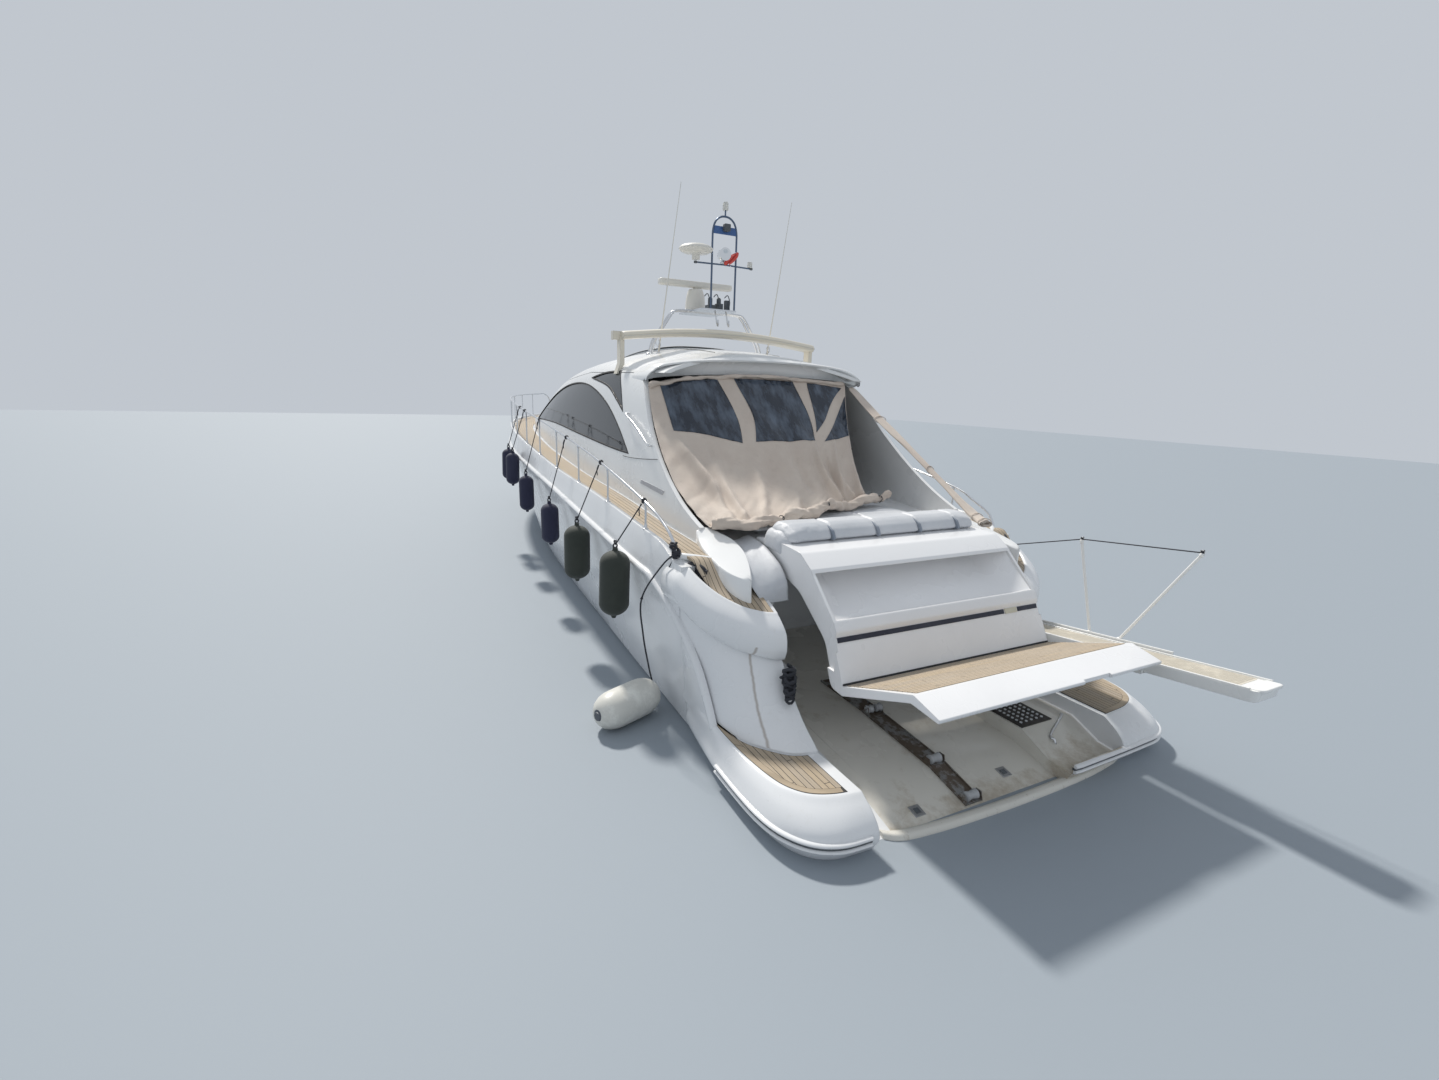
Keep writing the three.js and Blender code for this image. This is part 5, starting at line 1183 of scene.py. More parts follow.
def slack(across, down):
    """How far the loose cloth stands off: long folds fanning down from the roof, and bunches at the hem."""
    fan = math.sin(across * 34 + 5 * noise.noise(Vector((across * 3, down * 2, 4.0)))) * 0.02 * down ** 1.2
    sag = 0.03 * noise.noise(Vector((across * 7.0, down * 5.0, 1.7))) * (0.3 + down)
    drag = 0.02 * abs(noise.noise(Vector((across * 16.0 + down * 9.0, down * 4.0, 8.1)))) * (0.4 + down)
    bunch = 0.04 * max(0.0, down - 0.8) / 0.2 * abs(noise.noise(Vector((across * 26.0, down * 18.0, 2.2))))
    folds = 0.0
    for middle, deep, wide, first, last in CANVAS_FOLDS:
        here = middle + 0.03 * math.sin(down * 5 + middle * 40)
        length = max(0.0, min(1.0, (down - first) / 0.15)) * max(0.0, min(1.0, (last - down) / 0.12))
        folds += deep * length * math.exp(-((across - here) / wide) ** 2)
    return fan + sag + drag + bunch + folds


def draped(name, corners, columns, rows, lift=0.0):
    """A sheet on part of the canvas between four corners across and down, and lifted off it."""
    top_port, top_starboard, foot_starboard, foot_port = [Vector(corner) for corner in corners]
    grid = []
    for r in range(rows + 1):
        line = []
        for c in range(columns + 1):
            across_here, down_here = top_port.lerp(top_starboard, c / columns).lerp(
                foot_port.lerp(foot_starboard, c / columns), r / rows)
            here = canvas_point(across_here, down_here)
            side_a, side_b = max(0, across_here - 0.02), min(1, across_here + 0.02)
            foot_a, foot_b = max(0, down_here - 0.02), min(1, down_here + 0.02)
            to_side = canvas_point(side_b, down_here) - canvas_point(side_a, down_here)
            to_foot = canvas_point(across_here, foot_b) - canvas_point(across_here, foot_a)
            out = to_foot.cross(to_side).normalized()
            out *= math.copysign(1, out.z)
            line.append(here + out * (slack(across_here, down_here) + lift))
        grid.append(line)
    points = [tuple(p) for line in grid for p in line]
    sheet = made(name, (points, grid_faces(rows, columns)))
    if sheet.data.polygons[0].normal.z < 0:
        sheet.data.flip_normals()
    return sheet


def thickened(sheet, thick, angle=60):
    wall = sheet.modifiers.new("wall", "SOLIDIFY")
    wall.thickness = thick
    wall.offset = -1
    return smoothed(sheet, angle)


canvas_cloth = woven("canvas_cloth", (0.56, 0.475, 0.405), (0.65, 0.57, 0.49), thread=0.002,
                     sheen=0.2, dirt=0.35)
canvas = draped("cockpit_canvas", ((0, 0), (1, 0), (1, 1), (0, 1)), 180, 160)
thickened(canvas, CANVAS_THICK)
fitted(canvas, canvas_cloth, "canvas", "canvas_enclosure")


def clear_vinyl(name):
    """Ageing clear vinyl sheet, dark from the shade behind it, rippled and hazy."""
    finish, tree, surface = blank_finish(name)
    place = object_place(tree)
    haze = clouds(tree, object_place(tree, (1, 2.2, 0.7)), 3.2, 5.0, 0.6)
    base = between_colours(tree, stretch(tree, 0.42, 0.72, haze), (0.02, 0.03, 0.05, 1),
                           (0.14, 0.18, 0.24, 1))
    link(tree, base, surface.inputs["Base Color"])
    surface.inputs["Roughness"].default_value = 0.12
    surface.inputs["Transmission Weight"].default_value = 0.25
    ripple = shader(tree, "Bump",
                    {"Strength": 0.5, "Distance": 0.03, "Height": clouds(tree, place, 3.5, 3.0)})
    link(tree, ripple.outputs[0], surface.inputs["Normal"])
    return finish


window_vinyl = clear_vinyl("window_vinyl")
for number, corners in enumerate(VINYL_WINDOWS):
    window = draped(f"canvas_window_{number + 1}", corners, 40, 40, 0.006)
    thickened(window, 0.002)
    fitted(window, window_vinyl, "tinted_glass")


def tube(line, radius, sides=10):
    """A round bar along a line, its ring carried from place to place without twist."""
    line = [Vector(p) for p in line]
    along = (line[1] - line[0]).normalized()
    across = along.orthogonal().normalized()
    rings = []
    for i, here in enumerate(line):
        now = (line[min(i + 1, len(line) - 1)] - line[max(i - 1, 0)]).normalized()
        across = (along.rotation_difference(now) @ across)
        across = (across - now * across.dot(now)).normalized()
        along = now
        thick = radius[i] if isinstance(radius, list) else radius
        other = now.cross(across)
        rings.append([here + (across * math.cos(a) + other * math.sin(a)) * thick
                      for a in evenly(0, 2 * math.pi, sides + 1)[:-1]])
    return lofted(rings)


def turned(profile, foot, axis=(0, 0, 1), sides=24):
    """A turned shape: radius and height pairs round an axis that starts at a foot."""
    axis = Vector(axis).normalized()
    across = axis.orthogonal().normalized()
    other = axis.cross(across)
    foot = Vector(foot)
    rings = [[foot + axis * high + (across * math.cos(a) + other * math.sin(a)) * max(radius, 1e-4)
              for a in evenly(0, 2 * math.pi, sides + 1)[:-1]] for radius, high in profile]
    return lofted(rings)


def rounded_edges(piece, width=0.004, steps=2, angle=35):
    """Takes the sharp edges off a hard piece."""
    bevel = piece.modifiers.new("edges", "BEVEL")
    bevel.width = width
    bevel.segments = steps
    bevel.angle_limit = math.radians(angle)
    bevel.use_clamp_overlap = True
    return smoothed(piece, 50)


# The hem, bunched into a loose roll and tied in three places, and a side panel left rolled to starboard
def hem_place(across):
    here = canvas_point(across, 0.985)
    return here + Vector((-0.01, 0, slack(across, 0.985) + 0.03))


hem_line = [hem_place(t) for t in evenly(0.02, 1, 120)]
hem_thick = [0.038 + 0.016 * (1 - t) + 0.05 * abs(noise.noise(Vector((t * 9, 3.1, 0))))
             + 0.012 * abs(noise.noise(Vector((t * 31, 7.7, 0))))
             for t in evenly(0, 1, 120)]
HEM_TIES = (0.33, 0.6, 0.93)
for tie in HEM_TIES:
    for i in range(120):
        hem_thick[i] *= 1 - 0.5 * math.exp(-((i / 119 - tie) / 0.012) ** 2)
hem = made("canvas_hem", tube(hem_line, hem_thick, 22))
for vertex in hem.data.vertices:
    vertex.co += vertex.normal * 0.03 * noise.noise(Vector((vertex.co.y * 3, vertex.co.x * 24,
                                                            vertex.co.z * 24)))
    vertex.co.z = max(vertex.co.z, 1.955)
hem = fitted(smoothed(hem, 70), canvas_cloth, "canvas")
head_line = [canvas_point(t, 0.012)
             + Vector((-0.035, 0, -0.005 + 0.03 * noise.noise(Vector((t * 11, 0.4, 0)))))
             for t in evenly(0.01, 0.97, 110)]
head_thick = [0.018 + 0.03 * abs(noise.noise(Vector((t * 13, 5.3, 0)))) for t in evenly(0, 1, 110)]
head_roll = made("canvas_head_roll", tube(head_line, head_thick, 16))
for vertex in head_roll.data.vertices:
    vertex.co += vertex.normal * 0.02 * noise.noise(Vector((vertex.co.y * 3, vertex.co.x * 30,
                                                            vertex.co.z * 30)))
head_roll = fitted(smoothed(head_roll, 70), canvas_cloth, "canvas")
dark_cord = rubber("dark_cord", (0.03, 0.032, 0.04), 0.8)
ties = []
for tie in HEM_TIES:
    middle = hem_line[round(tie * 119)]
    loop = [middle + Vector((0.045 * math.cos(a), 0.012 * math.sin(2 * a), 0.045 * math.sin(a)))
            for a in evenly(0, 6.28, 15)]
    ties.append(tube(loop[:-1] + [loop[0]], 0.005, 6))
    ties.append(tube([middle + Vector((-0.03, 0.0, 0.03)), middle + Vector((-0.07, 0.03, 0.045)),
                      middle + Vector((-0.11, 0.05, 0.02))],
                     [0.007, 0.005, 0.004], 6))
hem_ties = fitted(smoothed(made("hem_ties", *ties), 60), dark_cord, "canvas")

FLAP_LINE = [(-4.47, -1.5, 3.44), (-5.1, -1.54, 3.04), (-5.75, -1.58, 2.66), (-6.35, -1.6, 2.3),
             (-6.85, -1.6, 2.02), (-7.12, -1.57, 1.93)]
FLAP_TURNS, FLAP_COLUMNS = 2.3, 70
flap_grid, flap_rings = [], []
for i, here in enumerate(smooth_line(FLAP_LINE, 14)):
    t = i / 70
    wide = 0.085 + 0.02 * math.sin(t * 9) + 0.02 * max(0, t - 0.85) / 0.15
    row = []
    for k in range(FLAP_COLUMNS):
        a = k / (FLAP_COLUMNS - 1) * FLAP_TURNS * 2 * math.pi
        crumple = 1 + 0.2 * noise.noise(Vector((math.cos(a) * 1.4, math.sin(a) * 1.4, t * 9)))
        reach = (0.42 + 0.58 * k / (FLAP_COLUMNS - 1)) * crumple
        row.append(here + Vector((0.022 * math.sin(a) * reach, wide * math.cos(a) * reach,
                                  0.04 * math.sin(a) * reach)))
    flap_grid.append(row)
    flap_rings.append([row[k] + Vector((0, 0.003 * math.cos(k), 0.004 * math.sin(k * 0.21)))
                       for k in range(40, FLAP_COLUMNS)])
flap = made("canvas_flap_roll", ([point for row in flap_grid for point in row],
                                 grid_faces(len(flap_grid) - 1, FLAP_COLUMNS - 1)))
thickened(flap, CANVAS_THICK, 70)
fitted(flap, canvas_cloth, "canvas", "canvas_flap")
flap_ties = []
for k in (14, 36, 60, 67):
    middle = sum(flap_rings[k], Vector()) / len(flap_rings[k])
    reach = max(abs(point.y - middle.y) for point in flap_rings[k]) + 0.006
    loop = [middle + Vector((0.024 * math.sin(a), reach * math.cos(a), 0.047 * math.sin(a)))
            for a in evenly(0, 2 * math.pi, 25)]
    flap_ties.append(tube(loop, 0.005, 6))
flap_straps = fitted(smoothed(made("flap_straps", *flap_ties), 60), canvas_cloth, "canvas")

# Roof fittings: seams of the roof mouldings, a grab handle and a blank pale badge strip on each arch
roof_lines = []
for facing in (1, -1):
    seam_run = [(x, facing * (0.62 + 0.03 * (x + 1)), 0) for x in evenly(-3.9, -2.5, 12)]
    roof_lines.append(tube([Vector((x, y, cabin_height(x, abs(y)) + 0.001)) for x, y, _ in seam_run], 0.005,
                           6))
fitted(made("roof_seams", *roof_lines), gasket_rubber, "gelcoat")


def arch_side(x, z):
    """The cabin's outer half-breadth at a place on its side."""
    curve = cabin_section(x, 0)[1:]
    for (y_low, z_low), (y_high, z_high) in zip(curve, curve[1:]):
        if z_low <= z <= z_high:
            return y_low + (y_high - y_low) * (z - z_low) / (z_high - z_low)
    return curve[-1][0]


handles, plates, base_seams = [], [], []
for facing in (1, -1):
    def on_arch(x, z, off=0.0):
        return Vector((x, facing * (arch_side(x, z) + off), z))
    grip = [(-4.0, 3.04, 0.0), (-4.02, 3.02, 0.05), (-4.35, 2.93, 0.055), (-4.72, 2.8, 0.055),
            (-4.95, 2.7, 0.05), (-4.97, 2.69, 0.0)]
    handles.append(tube(smooth_line([on_arch(*g) for g in grip], 8), 0.013, 10))
    ring = [on_arch(x, z, off) for x, z, off in ((-4.73, 2.245, 0.005), (-5.5, 2.215, 0.005),
                                                 (-5.44, 2.16, 0.005), (-4.7, 2.195, 0.005))]
    back = [p - Vector((0, facing * 0.008, 0)) for p in ring]
    plates.append(lofted([ring, back]))
    seam_path = [on_arch(x, z, 0.001) for x, z in ((-3.95, 2.465), (-4.3, 2.475), (-4.8, 2.51), (-5.2, 2.55))]
    base_seams.append(tube(smooth_line(seam_path, 6), 0.004, 6))
fitted(smoothed(made("arch_grab_handles", *handles), 50), polished_steel, "polished_steel")
pale_badge = metal("pale_badge", (0.5, 0.5, 0.52), 0.35, 0.1)
fitted(made("arch_badge_strips", *plates), pale_badge, "polished_steel")
fitted(made("arch_base_seams", *base_seams), gasket_rubber, "gelcoat")


def knot_turns(here, size, turns):
    """A few loose turns of line wound over each other."""
    path = [here + Vector((size * 0.5 * math.cos(a), size * 0.7 * math.sin(a), size * (a / (turns * 3.14) - 1)
                           + size * 0.3 * math.sin(a * 1.6)))
            for a in evenly(0, turns * 6.28, turns * 10)]
    return tube(path, size * 0.22, 8)


# A low white kerb ends each side deck over the step down to the quarter, with a black fairlead outside it
kerbs, fairleads = [], []
for facing in (1, -1):
    kerb_line = [(-6.6, 2.215, 1.745), (-6.68, 2.18, 1.755), (-6.78, 2.08, 1.755), (-6.86, 1.98, 1.75),
                 (-6.89, 1.93, 1.745)]
    kerbs.append(tube([(x, facing * y, z) for x, y, z in smooth_line(kerb_line, 5)], 0.036, 12))
    lead = [(-6.8, 2.15, 1.7), (-6.88, 2.13, 1.725), (-6.98, 2.09, 1.712), (-7.03, 2.065, 1.67)]
    fairleads.append(tube([(x, facing * y, z) for x, y, z in smooth_line(lead, 5)], 0.02, 12))
    lead_foot = [(-6.8, 2.165), (-6.82, 2.125), (-7.02, 2.045), (-7.06, 2.075)]
    fairleads.append(prism([(x, facing * y) for x, y in lead_foot], "z", 1.6, 1.695))
fitted(smoothed(made("side_deck_kerbs", *kerbs), 60), cabin_gelcoat, "gelcoat")
fitted(smoothed(made("quarter_fairleads", *fairleads), 50), dark_cord, "tread")

# The slipway's rounded lip along the platform's edge, and black turns of line on the port quarter's cleat
lip_plan = [(-9.02, 1.44), (-9.1, 1.3), (-9.145, 0.9), (-9.165, 0.4), (-9.17, 0.0), (-9.165, -0.45),
            (-9.145, -0.9), (-9.1, -1.3), (-9.05, -1.5)]
lip_section = rounded([(-0.05, -0.05, 0.01), (0.055, -0.05, 0.01), (0.055, 0.012, 0.01), (0.02, 0.03, 0.02),
                       (-0.025, 0.032, 0.025), (-0.05, 0.0, 0.02)], 3)
lip_rings = []
for x, y in smooth_line(lip_plan, 6):
    lip_rings.append([(x + a, y, 0.012 + b) for a, b in lip_section])
lip_finish = gelcoat("lip_beige", (0.7, 0.68, 0.62), worn=(0.36, 0.29, 0.2), grime=0.8, gloss=0.45)
fitted(smoothed(made("slipway_lip", lofted(lip_rings)), 50), lip_finish, "gelcoat")
cleat_base = turned([(0, 0), (0.03, 0), (0.03, 0.02), (0.018, 0.03), (0.018, 0.07),
                     (0, 0.07)], (-7.878, 1.66, 0.868), (-0.66, 0.08, 0.74), 16)
cleat_bar = tube([(-7.93, 1.59, 0.927), (-7.926, 1.666, 0.922), (-7.92, 1.74, 0.915)], [0.012, 0.018, 0.012],
                 10)
cleat_turns = [knot_turns(Vector((-7.92, 1.645, 0.91)), 0.075, 7),
               knot_turns(Vector((-7.975, 1.665, 0.845)), 0.07, 6),
               knot_turns(Vector((-8.03, 1.695, 0.785)), 0.055, 6)]
fitted(smoothed(made("quarter_cleat_turns", cleat_base, cleat_bar, *cleat_turns), 60), dark_cord, "tread")

# A silver vinyl cover closes the way past the stern door to port: laid from the sunpad's end to the coaming
# and turned down over the steps
COVER_ROWS = [(-6.5, 1.83, 1.33, 1.655), (-6.62, 1.82, 1.33, 1.672), (-6.8, 1.8, 1.33, 1.672),
              (-6.95, 1.765, 1.335, 1.675), (-7.08, 1.725, 1.34, 1.685), (-7.19, 1.675, 1.34, 1.705),
              (-7.27, 1.62, 1.342, 1.72), (-7.33, 1.56, 1.344, 1.715), (-7.37, 1.49, 1.345, 1.68),
              (-7.388, 1.42, 1.345, 1.64)]
COVER_COLUMNS = 16
cover_grid = []
for x, z, y_low, y_high in smooth_line(COVER_ROWS, 4):
    row = []
    for t in evenly(0, 1, COVER_COLUMNS):
        sag = 0.012 * noise.noise(Vector((x * 5, t * 4, z * 5))) - 0.014 * math.sin(t * math.pi)
        row.append((x - sag * 0.5, y_low + (y_high - y_low) * t,
                    z + sag * 0.6 + 0.05 * (1 - t) ** 2 * (z > 1.5)))
    cover_grid.append(row)
door_cover = made("walkway_cover", ([point for row in cover_grid for point in row],
                                    grid_faces(len(cover_grid) - 1, COVER_COLUMNS - 1)))
thickened(door_cover, 0.004)
fitted(door_cover, silver_vinyl, "silver_vinyl")

# Slipway: keel rollers on a stained steel channel down its middle, with a pair under the stern door's
# shelf, one roller part of the way and one at the lip. Two flush pop-up fittings stand beside it.
ROLLER_Y = (SLIP_PORT + SLIP_STARBOARD) / 2 - 0.07
CHANNEL_HALF = 0.095
CHANNEL_LINE = [(-9.04, 0.006), (-8.6, 0.113), (-7.6, 0.183), (-6.9, 0.188)]
channel_top = [(x, z + 0.0215) for x, z in CHANNEL_LINE]
channel_bed = made("slipway_channel", prism(CHANNEL_LINE + channel_top[::-1], "y", ROLLER_Y - CHANNEL_HALF,
                                            ROLLER_Y + CHANNEL_HALF))
groove = [(x, z + 0.012) for x, z in CHANNEL_LINE]
groove_tool = made("groove", prism([(-9.2, -0.05)] + groove + [(-6.5, 0.2), (-6.5, 0.5), (-9.2, 0.5)], "y",
                                   ROLLER_Y - CHANNEL_HALF + 0.014, ROLLER_Y + CHANNEL_HALF - 0.014))
carve(channel_bed, "DIFFERENCE", groove_tool)


def stained_metal(name, colour, stain, coverage):
    """Grey metal browned by rust and mud in patches."""
    finish = metal(name, colour, 0.45, 0.2, 0.5)
    tree, surface = finish.node_tree, finish.node_tree.nodes["Principled BSDF"]
    old = surface.inputs["Base Color"].links[0].from_socket
    patches = clouds(tree, object_place(tree), 7.0, 6.0, 0.7)
    brown = stretch(tree, 0.62 - coverage, 0.72 - coverage, patches)
    clamped = times(tree, brown, 0.92, True)
    link(tree, between_colours(tree, clamped, old, (*stain, 1)), surface.inputs["Base Color"])
    link(tree, sum_of(tree, "SUBTRACT", 1.0, clamped), surface.inputs["Metallic"])
    return finish


stained_steel = stained_metal("stained_steel", (0.4, 0.4, 0.4), (0.09, 0.06, 0.035), 0.2)
fitted(channel_bed, stained_steel, "channel_metal", "slipway_rollers")
ROLLERS = ((-9.0, 0.062, 0.0), (-8.56, 0.157, 0.0), (-7.7, 0.235, 0.055), (-7.7, 0.235, -0.055))
drums, pins = [], []
for x, z, aside in ROLLERS:
    wide = 0.04 if aside else 0.07
    body = [(0.0, -wide), (0.03, -wide), (0.044, -wide + 0.012), (0.036, -0.01), (0.034, 0.01),
            (0.044, wide - 0.012), (0.03, wide), (0.0, wide)]
    drums.append(turned(body, (x, ROLLER_Y + aside, z), (0, 1, 0), 28))
    pins.append(tube([(x, ROLLER_Y + aside - wide - 0.02, z), (x, ROLLER_Y + aside + wide + 0.02, z)], 0.009,
                     10))
for x, z in ((-9.0, 0.062), (-8.56, 0.157), (-7.7, 0.235)):
    for side in (-1, 1):
        y = ROLLER_Y + side * (CHANNEL_HALF - 0.004)
        pins.append(prism([(x - 0.05, z - 0.05), (x + 0.05, z - 0.05), (x + 0.03, z + 0.03),
                           (x - 0.03, z + 0.03)], "y", y - 0.003, y + 0.003))
grey_roller = rubber("grey_roller", (0.42, 0.43, 0.44), 0.4)
fitted(smoothed(made("keel_rollers", *drums), 50), grey_roller, "channel_metal")
fitted(smoothed(made("roller_brackets", *pins), 50), stained_steel, "channel_metal")

cleat_bases, cleat_lids = [], []
for x, y in ((-8.94, 0.98), (-8.86, -0.14)):
    z = (x + 9.06) * 0.239
    slope = Vector((1, 0, 0.239)).normalized()
    up = Vector((-slope.z, 0, slope.x))
    for half, low, high, group in ((0.055, -0.002, 0.006, cleat_bases), (0.026, 0.004, 0.012, cleat_lids)):
        square = [(-half, -half), (half, -half), (half, half), (-half, half)]
        group.append(lofted([[Vector((x, y, z)) + slope * a + Vector((0, b, 0)) + up * h for a, b in square]
                             for h in (low, high)]))
fitted(rounded_edges(made("pop_up_bases", *cleat_bases), 0.003),
       metal("dull_steel", (0.45, 0.45, 0.46), 0.35, 0.1), "polished_steel")
fitted(rounded_edges(made("pop_up_lids", *cleat_lids), 0.004), trim_rubber, "tread")

# Recess to starboard under the shelf: a dark tread whose colour is painted shadow, with rows of pale studs
# whose colour is painted spots of sunlight coming through a grating, and a steel handle


def stud_grid_tree():
    """Nodes that stand rows of studs on a rectangle, with its sizes as inputs."""
    tree = bpy.data.node_groups.new("stud_grid", "GeometryNodeTree")
    keys = {}
    for name, kind in (("Long", "Float"), ("Wide", "Float"), ("Count along", "Int"), ("Count across", "Int"),
                       ("Radius", "Float"), ("Height", "Float"), ("Finish", "Material")):
        keys[name] = tree.interface.new_socket(name=name, in_out="INPUT",
                                               socket_type=f"NodeSocket{kind}").identifier
    tree.interface.new_socket(name="Geometry", in_out="OUTPUT", socket_type="NodeSocketGeometry")
    given = tree.nodes.new("NodeGroupInput")
    grid = tree.nodes.new("GeometryNodeMeshGrid")
    stud = tree.nodes.new("GeometryNodeMeshCylinder")
    stud.inputs["Vertices"].default_value = 8
    place = tree.nodes.new("GeometryNodeInstanceOnPoints")
    real = tree.nodes.new("GeometryNodeRealizeInstances")
    paint = tree.nodes.new("GeometryNodeSetMaterial")
    result = tree.nodes.new("NodeGroupOutput")
    joins = (("Long", grid, "Size X"), ("Wide", grid, "Size Y"), ("Count along", grid, "Vertices X"),
             ("Count across", grid, "Vertices Y"), ("Radius", stud, "Radius"), ("Height", stud, "Depth"),
             ("Finish", paint, "Material"))
    for name, node, socket in joins:
        tree.links.new(given.outputs[name], node.inputs[socket])
    tree.links.new(grid.outputs["Mesh"], place.inputs["Points"])
    tree.links.new(stud.outputs["Mesh"], place.inputs["Instance"])
    tree.links.new(place.outputs[0], real.inputs[0])
    tree.links.new(real.outputs[0], paint.inputs[0])
    tree.links.new(paint.outputs[0], result.inputs[0])
    return tree, keys


stud_tree, stud_keys = stud_grid_tree()


def studs(name, finish, placing, long, wide, along, across, radius, height):
    """A field of studs, carried by a placing from flat ground to where it belongs, as a plain mesh."""
    piece = made(name, ([(0, 0, 0), (0.001, 0, 0), (0, 0.001, 0)], [(0, 1, 2)]))
    nodes = piece.modifiers.new("studs", "NODES")
    nodes.node_group = stud_tree
    sizes = {"Long": long, "Wide": wide, "Count along": along, "Count across": across, "Radius": radius,
             "Height": height,
             "Finish": finish}
    for key, value in sizes.items():
        nodes[stud_keys[key]] = value
    applied(piece)
    for vertex in piece.data.vertices:
        vertex.co = placing(vertex.co)
    return piece


# Painted shadow: the tread's near-black colour stands in for shade, and the pale studs' colour stands in for
# spots of sunlight
painted_shadow_tread = rubber("painted_shadow_tread", (0.055, 0.05, 0.045), 0.75)
painted_sun_spot = rubber("painted_sun_spot", (0.62, 0.64, 0.66), 0.45)
mat_slab = [(-8.64, 0.275), (-7.95, 0.275), (-7.95, 0.267), (-8.64, 0.267)]
fitted(rounded_edges(made("shadow_tread_slab", prism(mat_slab, "y", -1.06, -0.62)), 0.003), painted_shadow_tread, "tread")
fitted(studs("sun_spot_studs", painted_sun_spot, lambda p: Vector((p.x - 8.32, p.y - 0.84, p.z + 0.278)), 0.5, 0.3, 11,
             5, 0.0135, 0.01),
       painted_sun_spot, "tread")
# The ribs along the tread's inner edge carry the same painted shadow colour
fitted(studs("tread_ribs", painted_shadow_tread, lambda p: Vector((p.x - 8.3, p.y - 0.645, p.z + 0.277)), 0.62, 0.02,
             34, 2, 0.006, 0.01),
       painted_shadow_tread, "tread")
handle_line = [(-8.86, -0.84, 0.155), (-8.84, -0.84, 0.2), (-8.78, -0.86, 0.219), (-8.64, -1.2, 0.274),
               (-8.6, -1.24, 0.26), (-8.6, -1.24, 0.247)]
fitted(smoothed(made("recess_handle", tube(smooth_line(handle_line, 6), 0.012, 12)), 50), polished_steel,
       "polished_steel")


# Cockpit and saloon: sole, engines below it, helm, seats, table and bar, seen through the windows and the
# open starboard side. The sole is teak on a moulding; seats are upholstered in cream leather.
SOLE_TOP = SOLE_Z + 0.045
sole_plan = [(2.898, 0), (2.898, 1.145), (1.7, 1.476), (0, 1.596), (-5.246, 1.596), (-5.246, 0)]
sole = made("cockpit_sole_teak", prism(sole_plan + [(x, -y) for x, y in reversed(sole_plan[1:-1])], "z",
                                       SOLE_Z + 0.001, SOLE_TOP))
laid(sole, lambda p: (p.x, p.y))
fitted(sole, deck_teak, "teak", "cockpit_sole")

engine_paint = metal("engine_paint", (0.32, 0.34, 0.36), 0.5, 0.3, 0.6)
for side, facing in (("port", 1), ("starboard", -1)):
    y = facing * 0.75
    block_parts = [prism(rounded([(y - 0.43, 0.14, 0.04), (y - 0.2, -0.08, 0.04), (y + 0.2, -0.08, 0.04),
                                  (y + 0.43, 0.14, 0.04), (y + 0.43, 0.9, 0.06), (y + 0.3, 1.06, 0.05),
                                  (y - 0.3, 1.06, 0.05), (y - 0.43, 0.9, 0.06)], 3),
                         "x", -3.95, -2.05)]
    block_parts += [box((x, x + 0.16), (y - 0.14, y + 0.14), (-0.299, -0.06)) for x in (-3.8, -2.35)]
    engine = made(f"engine_{side}_block", block_parts[0])
    carve(engine, "UNION", *[made("foot", part) for part in block_parts[1:]])
    fitted(rounded_edges(engine, 0.012), engine_paint, "engine_iron", f"engine_{side}")

console_gelcoat = gelcoat("console_gelcoat", (0.72, 0.69, 0.62), grime=0.1)
dash = made("helm_dash", prism([(2.35, SOLE_TOP + 0.001), (1.0, SOLE_TOP + 0.001), (1.0, 2.08), (1.25, 2.33),
                                (2.35, 2.44)], "y", -1.13, 1.13))
carve(dash, "DIFFERENCE", made("leg_room", prism([(1.3, 1.3), (0.9, 1.3), (0.9, 2.0),
                                                  (1.3, 2.0)], "y", 0.1, 1.4)))
fitted(rounded_edges(dash, 0.02, 3), console_gelcoat, "gelcoat", "helm_console")
dial_glass = tinted_glass("dial_glass", (0.01, 0.012, 0.016), 0.0)
dash_slope = Vector((0.25, 0, 0.25)).normalized()
dash_out = Vector((-dash_slope.z, 0, dash_slope.x))
screens, bezels = [], []
for y, wide in ((-0.98, 0.09), (-0.64, 0.2), (-0.28, 0.13), (0.02, 0.1)):
    centre = Vector((1.125, y, 2.205)) + dash_out * 0.002
    for half_w, half_h, lift, group in ((wide, 0.11, 0.006, screens), (wide + 0.012, 0.122, 0.003, bezels)):
        corners = [centre + Vector((0, a, 0)) + dash_slope * b
                   for a, b in ((-half_w, -half_h), (half_w, -half_h), (half_w, half_h), (-half_w, half_h))]
        group.append(lofted([[c - dash_out * 0.01 for c in corners], [c + dash_out * lift for c in corners]]))
fitted(made("helm_screens", *screens), dial_glass, "tinted_glass")
fitted(rounded_edges(made("helm_bezels", *bezels), 0.002), gasket_rubber, "tread")

WHEEL_PLACE = Vector((0.96, -0.64, 2.23))
WHEEL_TILT = math.radians(30)
wheel_axis = Vector((-math.cos(WHEEL_TILT), 0, math.sin(WHEEL_TILT)))
wheel_up = Vector((math.sin(WHEEL_TILT), 0, math.cos(WHEEL_TILT)))
wheel_side = wheel_axis.cross(wheel_up)


def on_wheel(radius, degrees, out=0.0):
    a = math.radians(degrees)
    on_rim = wheel_up * radius * math.cos(a) + wheel_side * radius * math.sin(a)
    return WHEEL_PLACE + on_rim + wheel_axis * out


